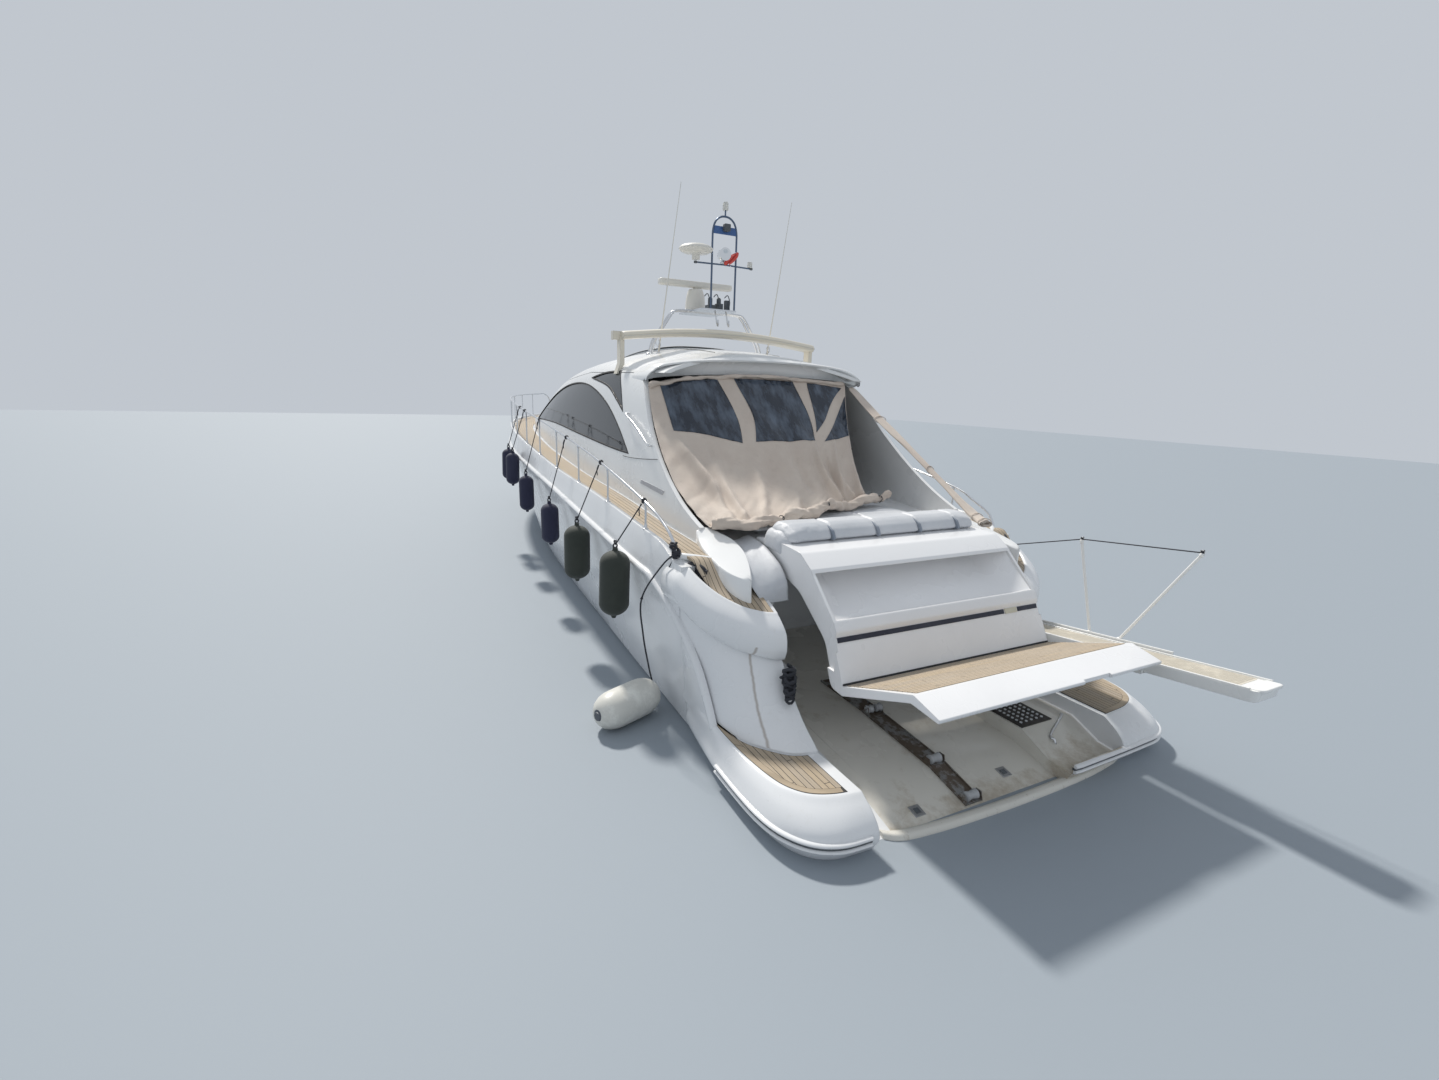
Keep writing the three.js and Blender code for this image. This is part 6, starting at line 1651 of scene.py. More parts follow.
rim_rings = []
for k in range(48):
    middle, outwards = on_wheel(0.21, k * 7.5), (on_wheel(1, k * 7.5) - WHEEL_PLACE)
    grip_size = 0.016 + 0.001 * math.cos(k * math.pi / 2)
    rim_rings.append([middle + (outwards * math.cos(a) + wheel_axis * math.sin(a)) * grip_size
                      for a in evenly(0, 2 * math.pi, 13)[:-1]])
rim_points, rim_faces = lofted(rim_rings + [rim_rings[0]], ends=False)
steering_rim = made("steering_wheel_rim", (rim_points, rim_faces))
wheel_leather = rubber("wheel_leather", (0.03, 0.028, 0.026), 0.5)
fitted(smoothed(steering_rim, 60), wheel_leather, "wheel_grip", "steering_wheel", body="steering_wheel")
spokes = [tube([on_wheel(0.03, a, -0.02), on_wheel(0.12, a, 0.0), on_wheel(0.2, a)], [0.016, 0.011, 0.009],
               10) for a in (90, 210, 330)]
hub_shape = turned([(0, -0.07), (0.04, -0.07), (0.045, -0.02), (0.04, 0.012), (0.02, 0.022),
                    (0, 0.024)], WHEEL_PLACE, wheel_axis, 24)
fitted(smoothed(made("steering_wheel_spokes", hub_shape, *spokes), 40), polished_steel, "polished_steel",
       body="steering_wheel")


def leather(name, colour):
    """Upholstery leather with a fine pebble, soft creases and a rubbed sheen."""
    finish, tree, surface = blank_finish(name)
    place = object_place(tree)
    rubbed = clouds(tree, place, 3.0, 4.0, 0.6)
    base = between_colours(tree, stretch(tree, 0.35, 0.75, rubbed), (*colour, 1),
                           (*[c * 0.84 for c in colour], 1))
    link(tree, base, surface.inputs["Base Color"])
    link(tree, stretch(tree, 0.0, 1.9, plus(tree, rubbed, 0.45)), surface.inputs["Roughness"])
    cells = shader(tree, "TexVoronoi", {"Vector": place, "Scale": 420.0}).outputs[0]
    pebble = shader(tree, "Bump", {"Strength": 0.35, "Distance": 0.0012, "Height": cells})
    creases = shader(tree, "Bump",
                     {"Strength": 0.3, "Distance": 0.008, "Height": clouds(tree, place, 16.0, 4.0, 0.6),
                                    "Normal": pebble.outputs[0]})
    link(tree, creases.outputs[0], surface.inputs["Normal"])
    return finish


cream_leather = leather("cream_leather", (0.62, 0.53, 0.4))


def cushion(name, x, y, z, corner=0.04, voxel=0.02, most=0.02, lean=None):
    """A filled cushion in a box of places, its corners drawn in, leaning back about a line if told to."""
    rings = []
    for height in evenly(0, 1, 7):
        draw_in = corner * (abs(2 * height - 1) ** 3) * 0.8
        outline = rounded([(x[0] + draw_in, y[0] + draw_in, corner), (x[1] - draw_in, y[0] + draw_in, corner),
                           (x[1] - draw_in, y[1] - draw_in, corner),
                           (x[0] + draw_in, y[1] - draw_in, corner)], 4)
        level = z[0] + (z[1] - z[0]) * height
        rings.append([(a + (lean * (level - z[0]) if lean else 0.0), b, level) for a, b in outline])
    piece = puffed(made(name, lofted(rings)), most=most, voxel=voxel)
    fitted(piece, cream_leather, "leather")
    return piece


seat_base = gelcoat("seat_gelcoat", (0.74, 0.72, 0.66), grime=0.08)
fitted(rounded_edges(made("helm_seat_base", box((0.02, 0.38), (-0.9, -0.36), (SOLE_TOP + 0.001, 1.83))), 0.02,
                     3), seat_base, "leather",
       "helm_seat")
cushion("helm_seat_cushion", (-0.04, 0.4), (-1.16, -0.1), (1.83, 1.95), 0.05)
cushion("helm_seat_back", (-0.19, -0.07), (-1.16, -0.1), (1.95, 2.55), 0.05, lean=-0.22)
dinette_shapes = [box((-2.98, -0.5), (0.95, 1.51), (SOLE_TOP + 0.001, 1.64)),
                  box((-2.98, -2.47), (0.3, 1.0), (SOLE_TOP + 0.001, 1.64))]
dinette = made("dinette_base", dinette_shapes[0])
carve(dinette, "UNION", made("corner", dinette_shapes[1]))
fitted(rounded_edges(dinette, 0.012), seat_base, "leather", "dinette_seat")
for number, (x0, x1) in enumerate(((-2.44, -1.8), (-1.79, -1.15), (-1.14, -0.5))):
    cushion(f"dinette_cushion_{number + 1}", (x0, x1), (0.96, 1.37), (1.645, 1.76), 0.045)
    cushion(f"dinette_back_{number + 1}", (x0, x1), (1.39, 1.51), (1.77, 2.2), 0.045)
cushion("dinette_corner_cushion", (-2.85, -2.46), (0.31, 1.37), (1.645, 1.76), 0.045)
cushion("dinette_corner_back", (-2.98, -2.87), (0.31, 1.37), (1.77, 2.2), 0.045)

table_wood = teak("table_wood", (0.36, 0.2, 0.09), (0.3, 0.16, 0.08))
table_top = made("dinette_table_top", prism(rounded([(-2.25, 0.08, 0.08), (-1.15, 0.08, 0.08),
                                                     (-1.15, 0.78, 0.08),
                                                     (-2.25, 0.78, 0.08)]), "z", 2.01, 2.05))
laid(table_top, lambda p: (p.x, p.y))
fitted(rounded_edges(table_top, 0.006), table_wood, "teak", "dinette_table")
table_leg = turned([(0, 0), (0.2, 0), (0.2, 0.012), (0.07, 0.03), (0.045, 0.06), (0.045, 0.6), (0.09, 0.655),
                    (0, 0.655)],
                   (-1.7, 0.43, SOLE_TOP + 0.001), sides=28)
fitted(smoothed(made("dinette_table_leg", table_leg), 40), polished_steel, "polished_steel")
bar_box = made("wet_bar_unit", prism(rounded([(-2.9, -1.53, 0.02), (-1.1, -1.53, 0.02), (-1.1, -0.98, 0.1),
                                              (-2.9, -0.98, 0.1)]), "z", SOLE_TOP + 0.001, 2.23))
carve(bar_box, "DIFFERENCE", *[made("door_gap", box((x - 0.003, x + 0.003), (-1.0, -0.97), (1.42, 2.14)))
                               for x in (-2.44, -2.0, -1.56)],
      made("sink", prism(rounded([(-2.1, -1.44, 0.05), (-1.7, -1.44, 0.05), (-1.7, -1.12, 0.05),
                                  (-2.1, -1.12, 0.05)]), "z", 2.1, 2.3)))
fitted(rounded_edges(bar_box, 0.008), console_gelcoat, "gelcoat", "wet_bar")
fitted(rounded_edges(made("aft_bench_base", box((-5.18, -4.57), (-1.23, 1.23), (SOLE_TOP + 0.001, 1.64))),
                     0.012), seat_base, "leather", "aft_bench")
for number, (y0, y1) in enumerate(((-1.24, -0.42), (-0.41, 0.41), (0.42, 1.24))):
    cushion(f"aft_bench_cushion_{number + 1}", (-5.05, -4.56), (y0, y1), (1.645, 1.76), 0.045)
    cushion(f"aft_bench_back_{number + 1}", (-5.16, -5.03), (y0, y1), (1.77, 2.06), 0.04)

# Sunroof: a tinted panel in a slim frame that slides aft over the hardtop.
sunroof_rows = []
for x in evenly(-2.185, -0.315, 16):
    sunroof_rows.append([(x, y, cabin_height(x, abs(y)) + 0.024) for y in evenly(-0.755, 0.755, 19)])
sunroof_panel = made("sunroof_panel",
                     lofted([row + [(x, y, z + 0.022) for x, y, z in reversed(row)] for row in sunroof_rows]))
fitted(smoothed(sunroof_panel, 40), pane_glass, "tinted_glass", "sunroof", body="sunroof")
edge_path = [Vector((x, y, cabin_height(x, abs(y)) + 0.046)) for x, y in (
    [(x, -0.745) for x in evenly(-2.175, -0.325, 14)] + [(-0.325, y) for y in evenly(-0.7, 0.745, 12)]
    + [(x, 0.745) for x in evenly(-0.4, -2.175, 14)] + [(-2.175, y) for y in evenly(0.7, -0.745, 12)])]
fitted(smoothed(made("sunroof_frame", tube(edge_path, 0.009, 8)), 60), cabin_gelcoat, "gelcoat",
       body="sunroof")

# Roof wing: a cream moulded bar across the hardtop on a leg at each end, with a small horn box to port.
WING_X = -3.0
WING_SECTION = [(0.18, 0.015, 0.02), (0.12, 0.07, 0.04), (-0.02, 0.1, 0.08), (-0.15, 0.085, 0.05),
                (-0.19, 0.04, 0.02), (-0.155, -0.02, 0.03), (0.1, -0.02, 0.04)]
WING_CURVE = [(-1.64, 4.06), (-1.5, 4.082), (-0.75, 4.16), (0, 4.19), (0.75, 4.16), (1.5, 4.082),
              (1.64, 4.06)]
cream_gelcoat = gelcoat("cream_gelcoat", (0.78, 0.72, 0.6), grime=0.3, gloss=0.35)
wing_rings = [[(WING_X + a, y, z + b) for a, b in rounded(WING_SECTION, 4)]
              for y, z in smooth_line(WING_CURVE, 6)]
wing = made("roof_wing_bar", lofted(wing_rings))
WING_LEG = [(1.6, 4.06), (1.6, 3.7), (1.69, 3.56), (1.72, 3.56), (1.665, 3.72), (1.665, 4.085)]
legs = [made("leg", prism([(facing * y, z) for y, z in WING_LEG], "x", WING_X - 0.09, WING_X + 0.06))
        for facing in (1, -1)]
carve(wing, "UNION", *legs, made("horn_box", box((WING_X - 0.06, WING_X + 0.04), (1.63, 1.76), (4.04, 4.16))))
fitted(rounded_edges(wing, 0.006), cream_gelcoat, "gelcoat", "roof_wing")
wing_seam = [Vector((WING_X - 0.192, y, z + 0.022)) for y, z in smooth_line(WING_CURVE, 6)]
fitted(smoothed(made("wing_seam_line", tube(wing_seam, 0.006, 6)), 60), console_gelcoat, "gelcoat")

# Mast frame: twin bent stainless tubes with a shelf between them that carries the radar and the signal mast.
MAST_X = -2.5
SIGNAL_X = -2.9
SHELF_TOP = 4.6
HOOP = [(1.0, -0.03), (0.93, 4.11), (0.78, 4.33), (0.64, 4.53), (0.5, 4.585), (0, 4.59), (-0.5, 4.585),
        (-0.64, 4.53), (-0.78, 4.33), (-0.93, 4.11), (-1.0, -0.03)]
mast_parts = []
for x in (MAST_X - 0.055, MAST_X + 0.055):
    hoop = [(x, y, cabin_height(x, 1.0) - 0.03 if z < 0 else z) for y, z in HOOP]
    mast_parts.append(tube(smooth_line(hoop, 8), 0.019, 14))
shelf_plan = rounded([(SIGNAL_X - 0.06, -0.29, 0.05), (-2.04, -0.29, 0.05), (-2.04, 0.33, 0.05),
                      (SIGNAL_X - 0.06, 0.33, 0.05)])
mast_parts.append(prism(shelf_plan, "z", SHELF_TOP - 0.022, SHELF_TOP))
for facing in (1, -1):
    mast_parts.append(turned([(0, -0.02), (0.055, -0.02), (0.055, 0.012), (0.04, 0.022), (0, 0.024)],
                             (MAST_X, facing * 1.0, cabin_height(MAST_X, 1.0)), sides=24))
mast_frame = made("mast_frame_tubes", *mast_parts)
fitted(smoothed(mast_frame, 40), polished_steel, "polished_steel", "mast_frame")
under_loops = []
for y in (0.05, -0.14):
    hook = [(-2.86, y, 4.58), (-2.9, y, 4.49), (-2.9, y - 0.02, 4.4), (-2.86, y - 0.06, 4.36),
            (-2.82, y - 0.08, 4.4), (-2.81, y - 0.08, 4.46)]
    under_loops.append(tube(smooth_line(hook, 5), 0.013, 10))
fitted(smoothed(made("mast_under_hooks", *under_loops), 60), polished_steel, "polished_steel")

RADAR = (-2.23, 0.11)
aged_white = gelcoat("aged_white", (0.78, 0.75, 0.68), grime=0.25, gloss=0.35)
SCANNER_Z = 5.035
pedestal = turned([(0, 0), (0.15, 0), (0.163, 0.03), (0.165, 0.06), (0.16, 0.16), (0.15, 0.25), (0.13, 0.32),
                   (0.11, 0.357), (0, 0.358)],
                  (*RADAR, SHELF_TOP + 0.002), sides=32)
fitted(smoothed(made("radar_pedestal_case", pedestal), 40), aged_white, "gelcoat", "radar_pedestal")
bar_section = rounded([(-0.075, -0.05, 0.03), (0.075, -0.05, 0.03), (0.075, 0.05, 0.03),
                       (-0.075, 0.05, 0.03)], 4)
bar_rings = [[(RADAR[0] + a * narrow, RADAR[1] + y, SCANNER_Z + b * narrow) for a, b in bar_section]
             for y, narrow in ((-0.64, 0.6), (-0.635, 0.8), (-0.62, 0.95), (-0.59, 1), (0.59, 1),
                               (0.62, 0.95), (0.635, 0.8), (0.64, 0.6))]
scanner = made("radar_scanner_bar", lofted(bar_rings))
carve(scanner, "UNION", made("post", turned([(0, 0), (0.048, 0), (0.048, 0.03),
                                             (0, 0.03)], (*RADAR, 4.966), sides=20)))
fitted(smoothed(scanner, 40), aged_white, "gelcoat", "radar_scanner", body="radar_scanner")

# Signal mast: a narrow hoop of blue-grey tube with a panel and lamp in its head, a crossbar with a lamp
# at its starboard end, and a white lamp on a short post on top.
mast_tube = metal("mast_tube", (0.13, 0.17, 0.24), 0.3, 0.1, 0.4)
SIGNAL_Y = -0.06
HOOP_SIDE = [(0.205, 4.601), (0.205, 4.83), (0.205, 5.08), (0.205, 5.33), (0.205, 5.58), (0.2, 5.74),
             (0.16, 5.86), (0.085, 5.925)]
SIGNAL_HOOP = HOOP_SIDE + [(0, 5.942)] + [(-y, z) for y, z in reversed(HOOP_SIDE)]


def on_mast(y, z, aft=0.0):
    return Vector((SIGNAL_X - aft, SIGNAL_Y + y, z))


signal_parts = [tube(smooth_line([on_mast(y, z) for y, z in SIGNAL_HOOP], 4), 0.015, 12),
                tube([on_mast(0.48, 5.25), on_mast(0, 5.26), on_mast(-0.48, 5.25)], 0.012, 12),
                tube([on_mast(0, 5.935), on_mast(0, 6.03)], 0.012, 12)]
fitted(smoothed(made("signal_mast_tubes", *signal_parts), 50), mast_tube, "polished_steel", "signal_mast")
panel_outline = [(-0.2, 5.69), (0.2, 5.69), (0.2, 5.75), (0.185, 5.8), (-0.185, 5.8), (-0.2, 5.75)]
panel_outline = [(SIGNAL_Y + y, z) for y, z in panel_outline]
fitted(rounded_edges(made("signal_panel", prism(panel_outline, "x", SIGNAL_X - 0.008, SIGNAL_X + 0.008)),
                     0.003),
       rubber("panel_blue", (0.05, 0.12, 0.3), 0.4), "polished_steel")
end_caps = [turned([(0, -0.02), (0.018, -0.02), (0.02, 0), (0.018, 0.02), (0, 0.02)], on_mast(y, 5.25),
                   (0, 1, 0), 16) for y in (0.48, -0.48)]
box_side = rounded([(-0.12, 5.73, 0.01), (-0.02, 5.73, 0.01), (-0.02, 5.83, 0.01), (-0.12, 5.83, 0.01)], 3)
lamp_box = prism(box_side, "x", SIGNAL_X - 0.08, SIGNAL_X - 0.009)
fitted(smoothed(made("signal_dark_fittings", lamp_box, *end_caps), 40), trim_rubber, "tread")
lamp_white = tinted_glass("lamp_white", (0.8, 0.79, 0.74), 0.4)
top_lamp = turned([(0, 0), (0.042, 0.003), (0.046, 0.02), (0.046, 0.03), (0.042, 0.034), (0.046, 0.07),
                   (0.044, 0.1), (0.03, 0.118), (0, 0.124)],
                  on_mast(0, 6.026), sides=28)
end_lamp = turned([(0, 0), (0.04, 0), (0.042, 0.012), (0.036, 0.018), (0.042, 0.05), (0.036, 0.082),
                   (0, 0.094)], on_mast(-0.455, 5.262), sides=28)
fitted(smoothed(made("signal_lamps", top_lamp, end_lamp), 40), lamp_white, "gelcoat")

# Instruments on the mast shelf: two dark sensors, a junction box and their cables
cluster = [box((-2.84, -2.74), (-0.1, 0.0), (SHELF_TOP, SHELF_TOP + 0.1)),
           box((-2.82, -2.76), (-0.23, -0.15), (SHELF_TOP, SHELF_TOP + 0.16)),
           box((-2.86, -2.72), (0.04, 0.16), (SHELF_TOP, SHELF_TOP + 0.07))]
for y in (-0.05, 0.1):
    sensor = [(0, 0), (0.03, 0), (0.035, 0.02), (0.035, 0.1), (0.02, 0.12), (0, 0.12)]
    cluster.append(turned(sensor, (-2.78, y, SHELF_TOP + 0.07), sides=18))
for y in (-0.21, -0.02, 0.14):
    lead = [(-2.8, y, 4.6), (-2.87, y + 0.01, 4.72), (-2.83, y + 0.03, 4.83), (-2.76, y + 0.05, 4.8)]
    cluster.append(tube(smooth_line(lead, 5), 0.008, 8))
fitted(rounded_edges(made("mast_instruments", *cluster), 0.004), trim_rubber, "tread")

dome = turned([(0, 0), (0.06, 0), (0.06, 0.07), (0.075, 0.088), (0.2, 0.095), (0.24, 0.115), (0.262, 0.14),
               (0.252, 0.16), (0.225, 0.182), (0.17, 0.2), (0.11, 0.21), (0.05, 0.216),
               (0, 0.217)], on_mast(0.475, 5.285), sides=48)
fitted(smoothed(made("antenna_dome_case", dome), 40), aged_white, "gelcoat", "antenna_dome")
chrome = metal("chrome", (0.8, 0.81, 0.82), 0.04, 0.0, 0.05)
light_case = turned([(0, -0.07), (0.05, -0.065), (0.078, -0.04), (0.09, 0.0), (0.095, 0.06), (0.095, 0.155),
                     (0.088, 0.16), (0.086, 0.13), (0.06, 0.09), (0.03, 0.075),
                     (0, 0.072)], on_mast(0.02, 5.4), (-1, 0, 0), 36)
light_stem = turned([(0, 0), (0.05, 0.0), (0.05, 0.012), (0.028, 0.03), (0.026, 0.04), (0.026, 0.1),
                     (0, 0.1)], on_mast(0.02, 5.276), sides=20)
light_piece = made("searchlight_case", light_case, light_stem)
for vertex in light_piece.data.vertices:
    vertex.co.x = max(min(vertex.co.x, SIGNAL_X + 0.07), SIGNAL_X - 0.09)
fitted(smoothed(light_piece, 40), chrome, "polished_steel", "searchlight")


# Whip aerials: pale glass-fibre rods in hinged steel feet, each with a ring where its lead comes out
whip_feet = []
for side, facing in (("port", 1), ("starboard", -1)):
    foot = Vector((-2.78, facing * 0.96, cabin_height(-2.78, 0.96) - 0.015))
    lean = Vector((-0.016, -0.13, 1))
    line = [foot + lean * 2.45 * t for t in evenly(0.05, 1, 20)]
    rod = made(f"whip_antenna_{side}_rod", tube(line, [0.012 - 0.0085 * t for t in evenly(0, 1, 20)], 10))
    fitted(smoothed(rod, 60), aged_white, "gelcoat", f"whip_antenna_{side}")
    whip_feet.append(turned([(0, 0), (0.036, 0), (0.036, 0.012), (0.024, 0.016), (0.024, 0.05), (0.02, 0.055),
                             (0.02, 0.15), (0.013, 0.17)],
                            foot, lean, 20))
    ring = [foot + Vector((-0.02, 0.02 * facing, 0.12))
            + Vector((0.0, 0.03 * math.cos(a), 0.055 + 0.055 * math.sin(a)))
            for a in evenly(-1.4, 4.5, 12)]
    whip_feet.append(tube(ring, 0.006, 8))
fitted(smoothed(made("whip_feet", *whip_feet), 40), polished_steel, "polished_steel")

# A small plain red flag, wound round the starboard leg of the signal mast by the wind
red_bunting = woven("red_bunting", (0.62, 0.045, 0.035), (0.74, 0.1, 0.07), thread=0.0012,
                    sheen=0.3, dirt=0.15)
flag_across, flag_down = 26, 18
flag_points = []
for j in range(flag_down):
    v = j / (flag_down - 1)
    for i in range(flag_across):
        u = i / (flag_across - 1)
        a = 5.2 * u
        bunch = Vector((0.02 * math.sin(a * 2.3 + v * 3) - 0.015, 0.055 * math.sin(a + 0.8 * v),
                        0.03 * math.cos(a * 1.7)))
        drop = Vector((0.0, 0.2 * v * (1 - 0.3 * u), -0.18 * v))
        flag_points.append(on_mast(-0.19, 5.44, 0.05) + bunch * (0.5 + 0.55 * math.sin(v * 3.14)) + drop)
flag_mesh = bpy.data.meshes.new("flag")
flag_mesh.from_pydata(flag_points, [], grid_faces(flag_down - 1, flag_across - 1))
flag = bpy.data.objects.new("small_flag", flag_mesh)
bpy.context.scene.collection.objects.link(flag)
thickened(flag, 0.0015)
fitted(flag, red_bunting, "canvas")

# Guard rails: a polished tube on bolted stanchions from the stem head to each quarter, with a thinner middle
# bar at the bow. Stanchion feet are round flanges on the toe rail.
STANCHIONS = [8.7, 7.7, 6.5, 5.2, 3.8, 2.4, 1.0, -0.4, -1.8, -3.2, -4.6, -5.9]


def rail_point(x, high):
    values = hull_values(x)
    return Vector((x, values[5] - 0.032, values[6] + high))


def rail_high(x):
    return 0.69 - 0.345 * max(0.0, (-0.4 - x) / 5.5) ** 1.8


def flipped(shape):
    points, faces = shape
    return [(x, -y, z) for x, y, z in points], faces


bow_deck = hull_values(9.2)[6]
RAIL_RUN = [Vector((9.5, 0.095, hull_values(9.3)[6] + 0.04)),
            Vector((9.505, 0.11, hull_values(9.3)[6] + 0.3)),
            Vector((9.48, 0.15, bow_deck + 0.56)), Vector((9.33, 0.33, bow_deck + 0.69))]
RAIL_RUN += [rail_point(x, rail_high(x)) for x in [9.05] + STANCHIONS]
RAIL_RUN += [Vector((-6.3, 2.24, 2.04)), Vector((-6.56, 2.235, 1.92)), Vector((-6.68, 2.225, 1.76))]
rail_shapes = [tube(smooth_line(RAIL_RUN, 7), 0.016, 12)]
for x in STANCHIONS:
    foot, head = rail_point(x, TOE_RAIL_HIGH - 0.005), rail_point(x, rail_high(x) - 0.01)
    rail_shapes.append(tube([foot, head], 0.0125, 12))
    rail_shapes.append(turned([(0, 0), (0.034, 0), (0.034, 0.006), (0.02, 0.011), (0.0165, 0.05),
                               (0.0125, 0.056)], foot, head - foot, 20))
    rail_shapes.append(turned([(0.0125, -0.03), (0.018, -0.02), (0.021, 0.0),
                               (0.0125, 0.012)], head, head - foot, 16))
    rail_shapes += [turned([(0, 0), (0.005, 0), (0.005, 0.002), (0.003, 0.0035), (0, 0.004)],
                           foot + Vector((0.026 * math.cos(a), 0.026 * math.sin(a), 0.006)), sides=8)
                    for a in (0.5, 2.1, 3.6, 5.2)]
for side, turn in (("port", lambda shape: shape), ("starboard", flipped)):
    rail = made(f"guard_rail_{side}_tubes", *[turn(shape) for shape in rail_shapes])
    fitted(smoothed(rail, 50), polished_steel, "polished_steel", f"guard_rail_{side}")

# Ground tackle: a cheeked bow roller, a plough anchor stowed in it, its chain, and a vertical windlass
BOW_Z = hull_values(9.0)[6] + 0.04
cheek = rounded([(9.25, BOW_Z + 0.006, 0.01), (9.7, BOW_Z + 0.005, 0.02), (9.825, BOW_Z + 0.03, 0.03),
                 (9.825, BOW_Z + 0.09, 0.03), (9.5, BOW_Z + 0.093, 0.05), (9.25, BOW_Z + 0.05, 0.02)], 4)
roller_profile = [(0, -0.052), (0.042, -0.052), (0.042, -0.045), (0.024, -0.015), (0.024, 0.015),
                  (0.042, 0.045), (0.042, 0.052), (0, 0.052)]
bow_roller = made("bow_roller_cheeks", *[prism(cheek, "y", y, y + 0.018) for y in (-0.074, 0.056)],
                  box((9.15, 9.7), (-0.0735, 0.0735), (BOW_Z + 0.006, BOW_Z + 0.02)),
                  turned(roller_profile, (9.78, 0, BOW_Z + 0.06), (0, 1, 0)),
                  turned([(0, -0.079), (0.014, -0.079), (0.014, 0.079), (0, 0.079)], (9.78, 0, BOW_Z + 0.06),
                         (0, 1, 0), 12))
fitted(smoothed(bow_roller, 40), polished_steel, "polished_steel", "bow_roller")
galvanised = metal("galvanised", (0.5, 0.51, 0.52), 0.42, 0.25, 0.5)
shank = rounded([(9.05, BOW_Z + 0.12, 0.008), (9.72, BOW_Z + 0.12, 0.03), (9.88, BOW_Z - 0.09, 0.03),
                 (9.935, BOW_Z - 0.15, 0.01), (9.965, BOW_Z - 0.06, 0.01), (9.76, BOW_Z + 0.148, 0.05),
                 (9.05, BOW_Z + 0.148, 0.008)], 4)
anchor = made("anchor_plough", prism(shank, "y", -0.013, 0.013))
fluke = [[(9.985, 0, -0.04), (9.965, 0.08, -0.06), (9.96, 0.148, -0.11), (9.948, 0.07, -0.125),
          (9.935, 0, -0.148), (9.948, -0.07, -0.125), (9.96, -0.148, -0.11), (9.965, -0.08, -0.06)],
         [(9.89, 0, -0.17), (9.87, 0.07, -0.18), (9.86, 0.125, -0.215), (9.85, 0.06, -0.235),
          (9.84, 0, -0.25), (9.85, -0.06, -0.235), (9.86, -0.125, -0.215), (9.87, -0.07, -0.18)],
         [(9.762, 0, -0.332), (9.757, 0.03, -0.338), (9.75, 0.05, -0.347), (9.745, 0.03, -0.352),
          (9.74, 0, -0.357), (9.745, -0.03, -0.352), (9.75, -0.05, -0.347), (9.757, -0.03, -0.338)]]
carve(anchor, "UNION", made("fluke", lofted([[(x, y, BOW_Z + z) for x, y, z in ring] for ring in fluke])))
fitted(rounded_edges(anchor, 0.004), galvanised, "polished_steel", "anchor")
links = []
for k in range(17):
    middle = Vector((8.72 + 0.028 * k, 0.0, BOW_Z + 0.075 + 0.003 * k))
    side_on = Vector((0, 0.7, 0.7)) if k % 2 else Vector((0, 0.7, -0.7))
    ring = [middle + Vector((0.02, 0, 0)) * math.cos(a) + side_on * 0.011 * math.sin(a)
            for a in evenly(0, 2 * math.pi, 11)]
    links.append(tube(ring, 0.0042, 6))
fitted(smoothed(made("anchor_chain", *links), 60), galvanised, "polished_steel")
windlass = made("windlass_drum", turned([(0, 0.001), (0.12, 0.001), (0.12, 0.035), (0.1, 0.05), (0.06, 0.055),
                                         (0.052, 0.08), (0.052, 0.1), (0.08, 0.12), (0.1, 0.13),
                                         (0.105, 0.155), (0.1, 0.18), (0.05, 0.19),
                                         (0, 0.19)], (8.56, 0, BOW_Z), sides=40))
gear = rounded([(8.6, -0.068, 0.02), (8.8, -0.06, 0.05), (8.8, 0.06, 0.05), (8.6, 0.068, 0.02)], 5)
fitted(smoothed(windlass, 40), chrome, "polished_steel", "windlass")
fitted(rounded_edges(made("windlass_gearbox", prism(gear, "z", BOW_Z + 0.002, BOW_Z + 0.06)), 0.008, 3),
       polished_steel, "polished_steel")

# Foredeck hatch: a smoked pane in an alloy frame, hinged at its aft edge
hatch_rows = [[(x, y, cabin_height(x, abs(y))) for y in evenly(-0.285, 0.285, 13)]
              for x in evenly(5.49, 6.07, 9)]
hatch_pane = lofted([[(x, y, z + 0.012) for x, y, z in row] + [(x, y, z + 0.028) for x, y, z in reversed(row)]
                     for row in hatch_rows])
fitted(smoothed(made("foredeck_hatch_pane", hatch_pane), 40), pane_glass, "tinted_glass", "foredeck_hatch",
       body="foredeck_hatch")
corner_run = rounded([(5.492, -0.278, 0.04), (6.068, -0.278, 0.04), (6.068, 0.278, 0.04),
                      (5.492, 0.278, 0.04)], 5)
hatch_edge = [Vector((x, y, cabin_height(x, abs(y)) + 0.022)) for x, y in corner_run]
fitted(smoothed(made("foredeck_hatch_frame", tube(hatch_edge + [hatch_edge[0]], 0.012, 8)), 50),
       polished_steel, "polished_steel",
       body="foredeck_hatch")

# Fenders: air-filled, in knitted socks, hung over the side on dark lines tied to the guard rail
sock_navy = woven("sock_navy", (0.016, 0.018, 0.05), (0.026, 0.028, 0.06), thread=0.005,
                  sheen=0.12, dirt=0.12)
sock_green = woven("sock_green", (0.026, 0.033, 0.026), (0.042, 0.048, 0.038), thread=0.006,
                   sheen=0.12, dirt=0.18)
FENDERS = [
    # name, x, top of the body, length, radius, sock, lean aft of the foot, lean out of the foot
    ("fender_1", 1.8, 2.05, 0.7, 0.13, sock_navy, 0.02, 0.02),
    ("fender_2", 1.15, 2.03, 0.7, 0.13, sock_navy, 0.03, 0.02),
    ("fender_3", -0.45, 1.78, 0.7, 0.13, sock_navy, 0.03, 0.0),
    ("fender_4", -2.5, 1.62, 0.68, 0.135, sock_navy, 0.04, 0.0),
    ("fender_5", -4.32, 1.65, 0.77, 0.165, sock_green, 0.05, 0.02),
    ("fender_6", -5.85, 1.68, 0.78, 0.165, sock_green, 0.06, 0.04),
]


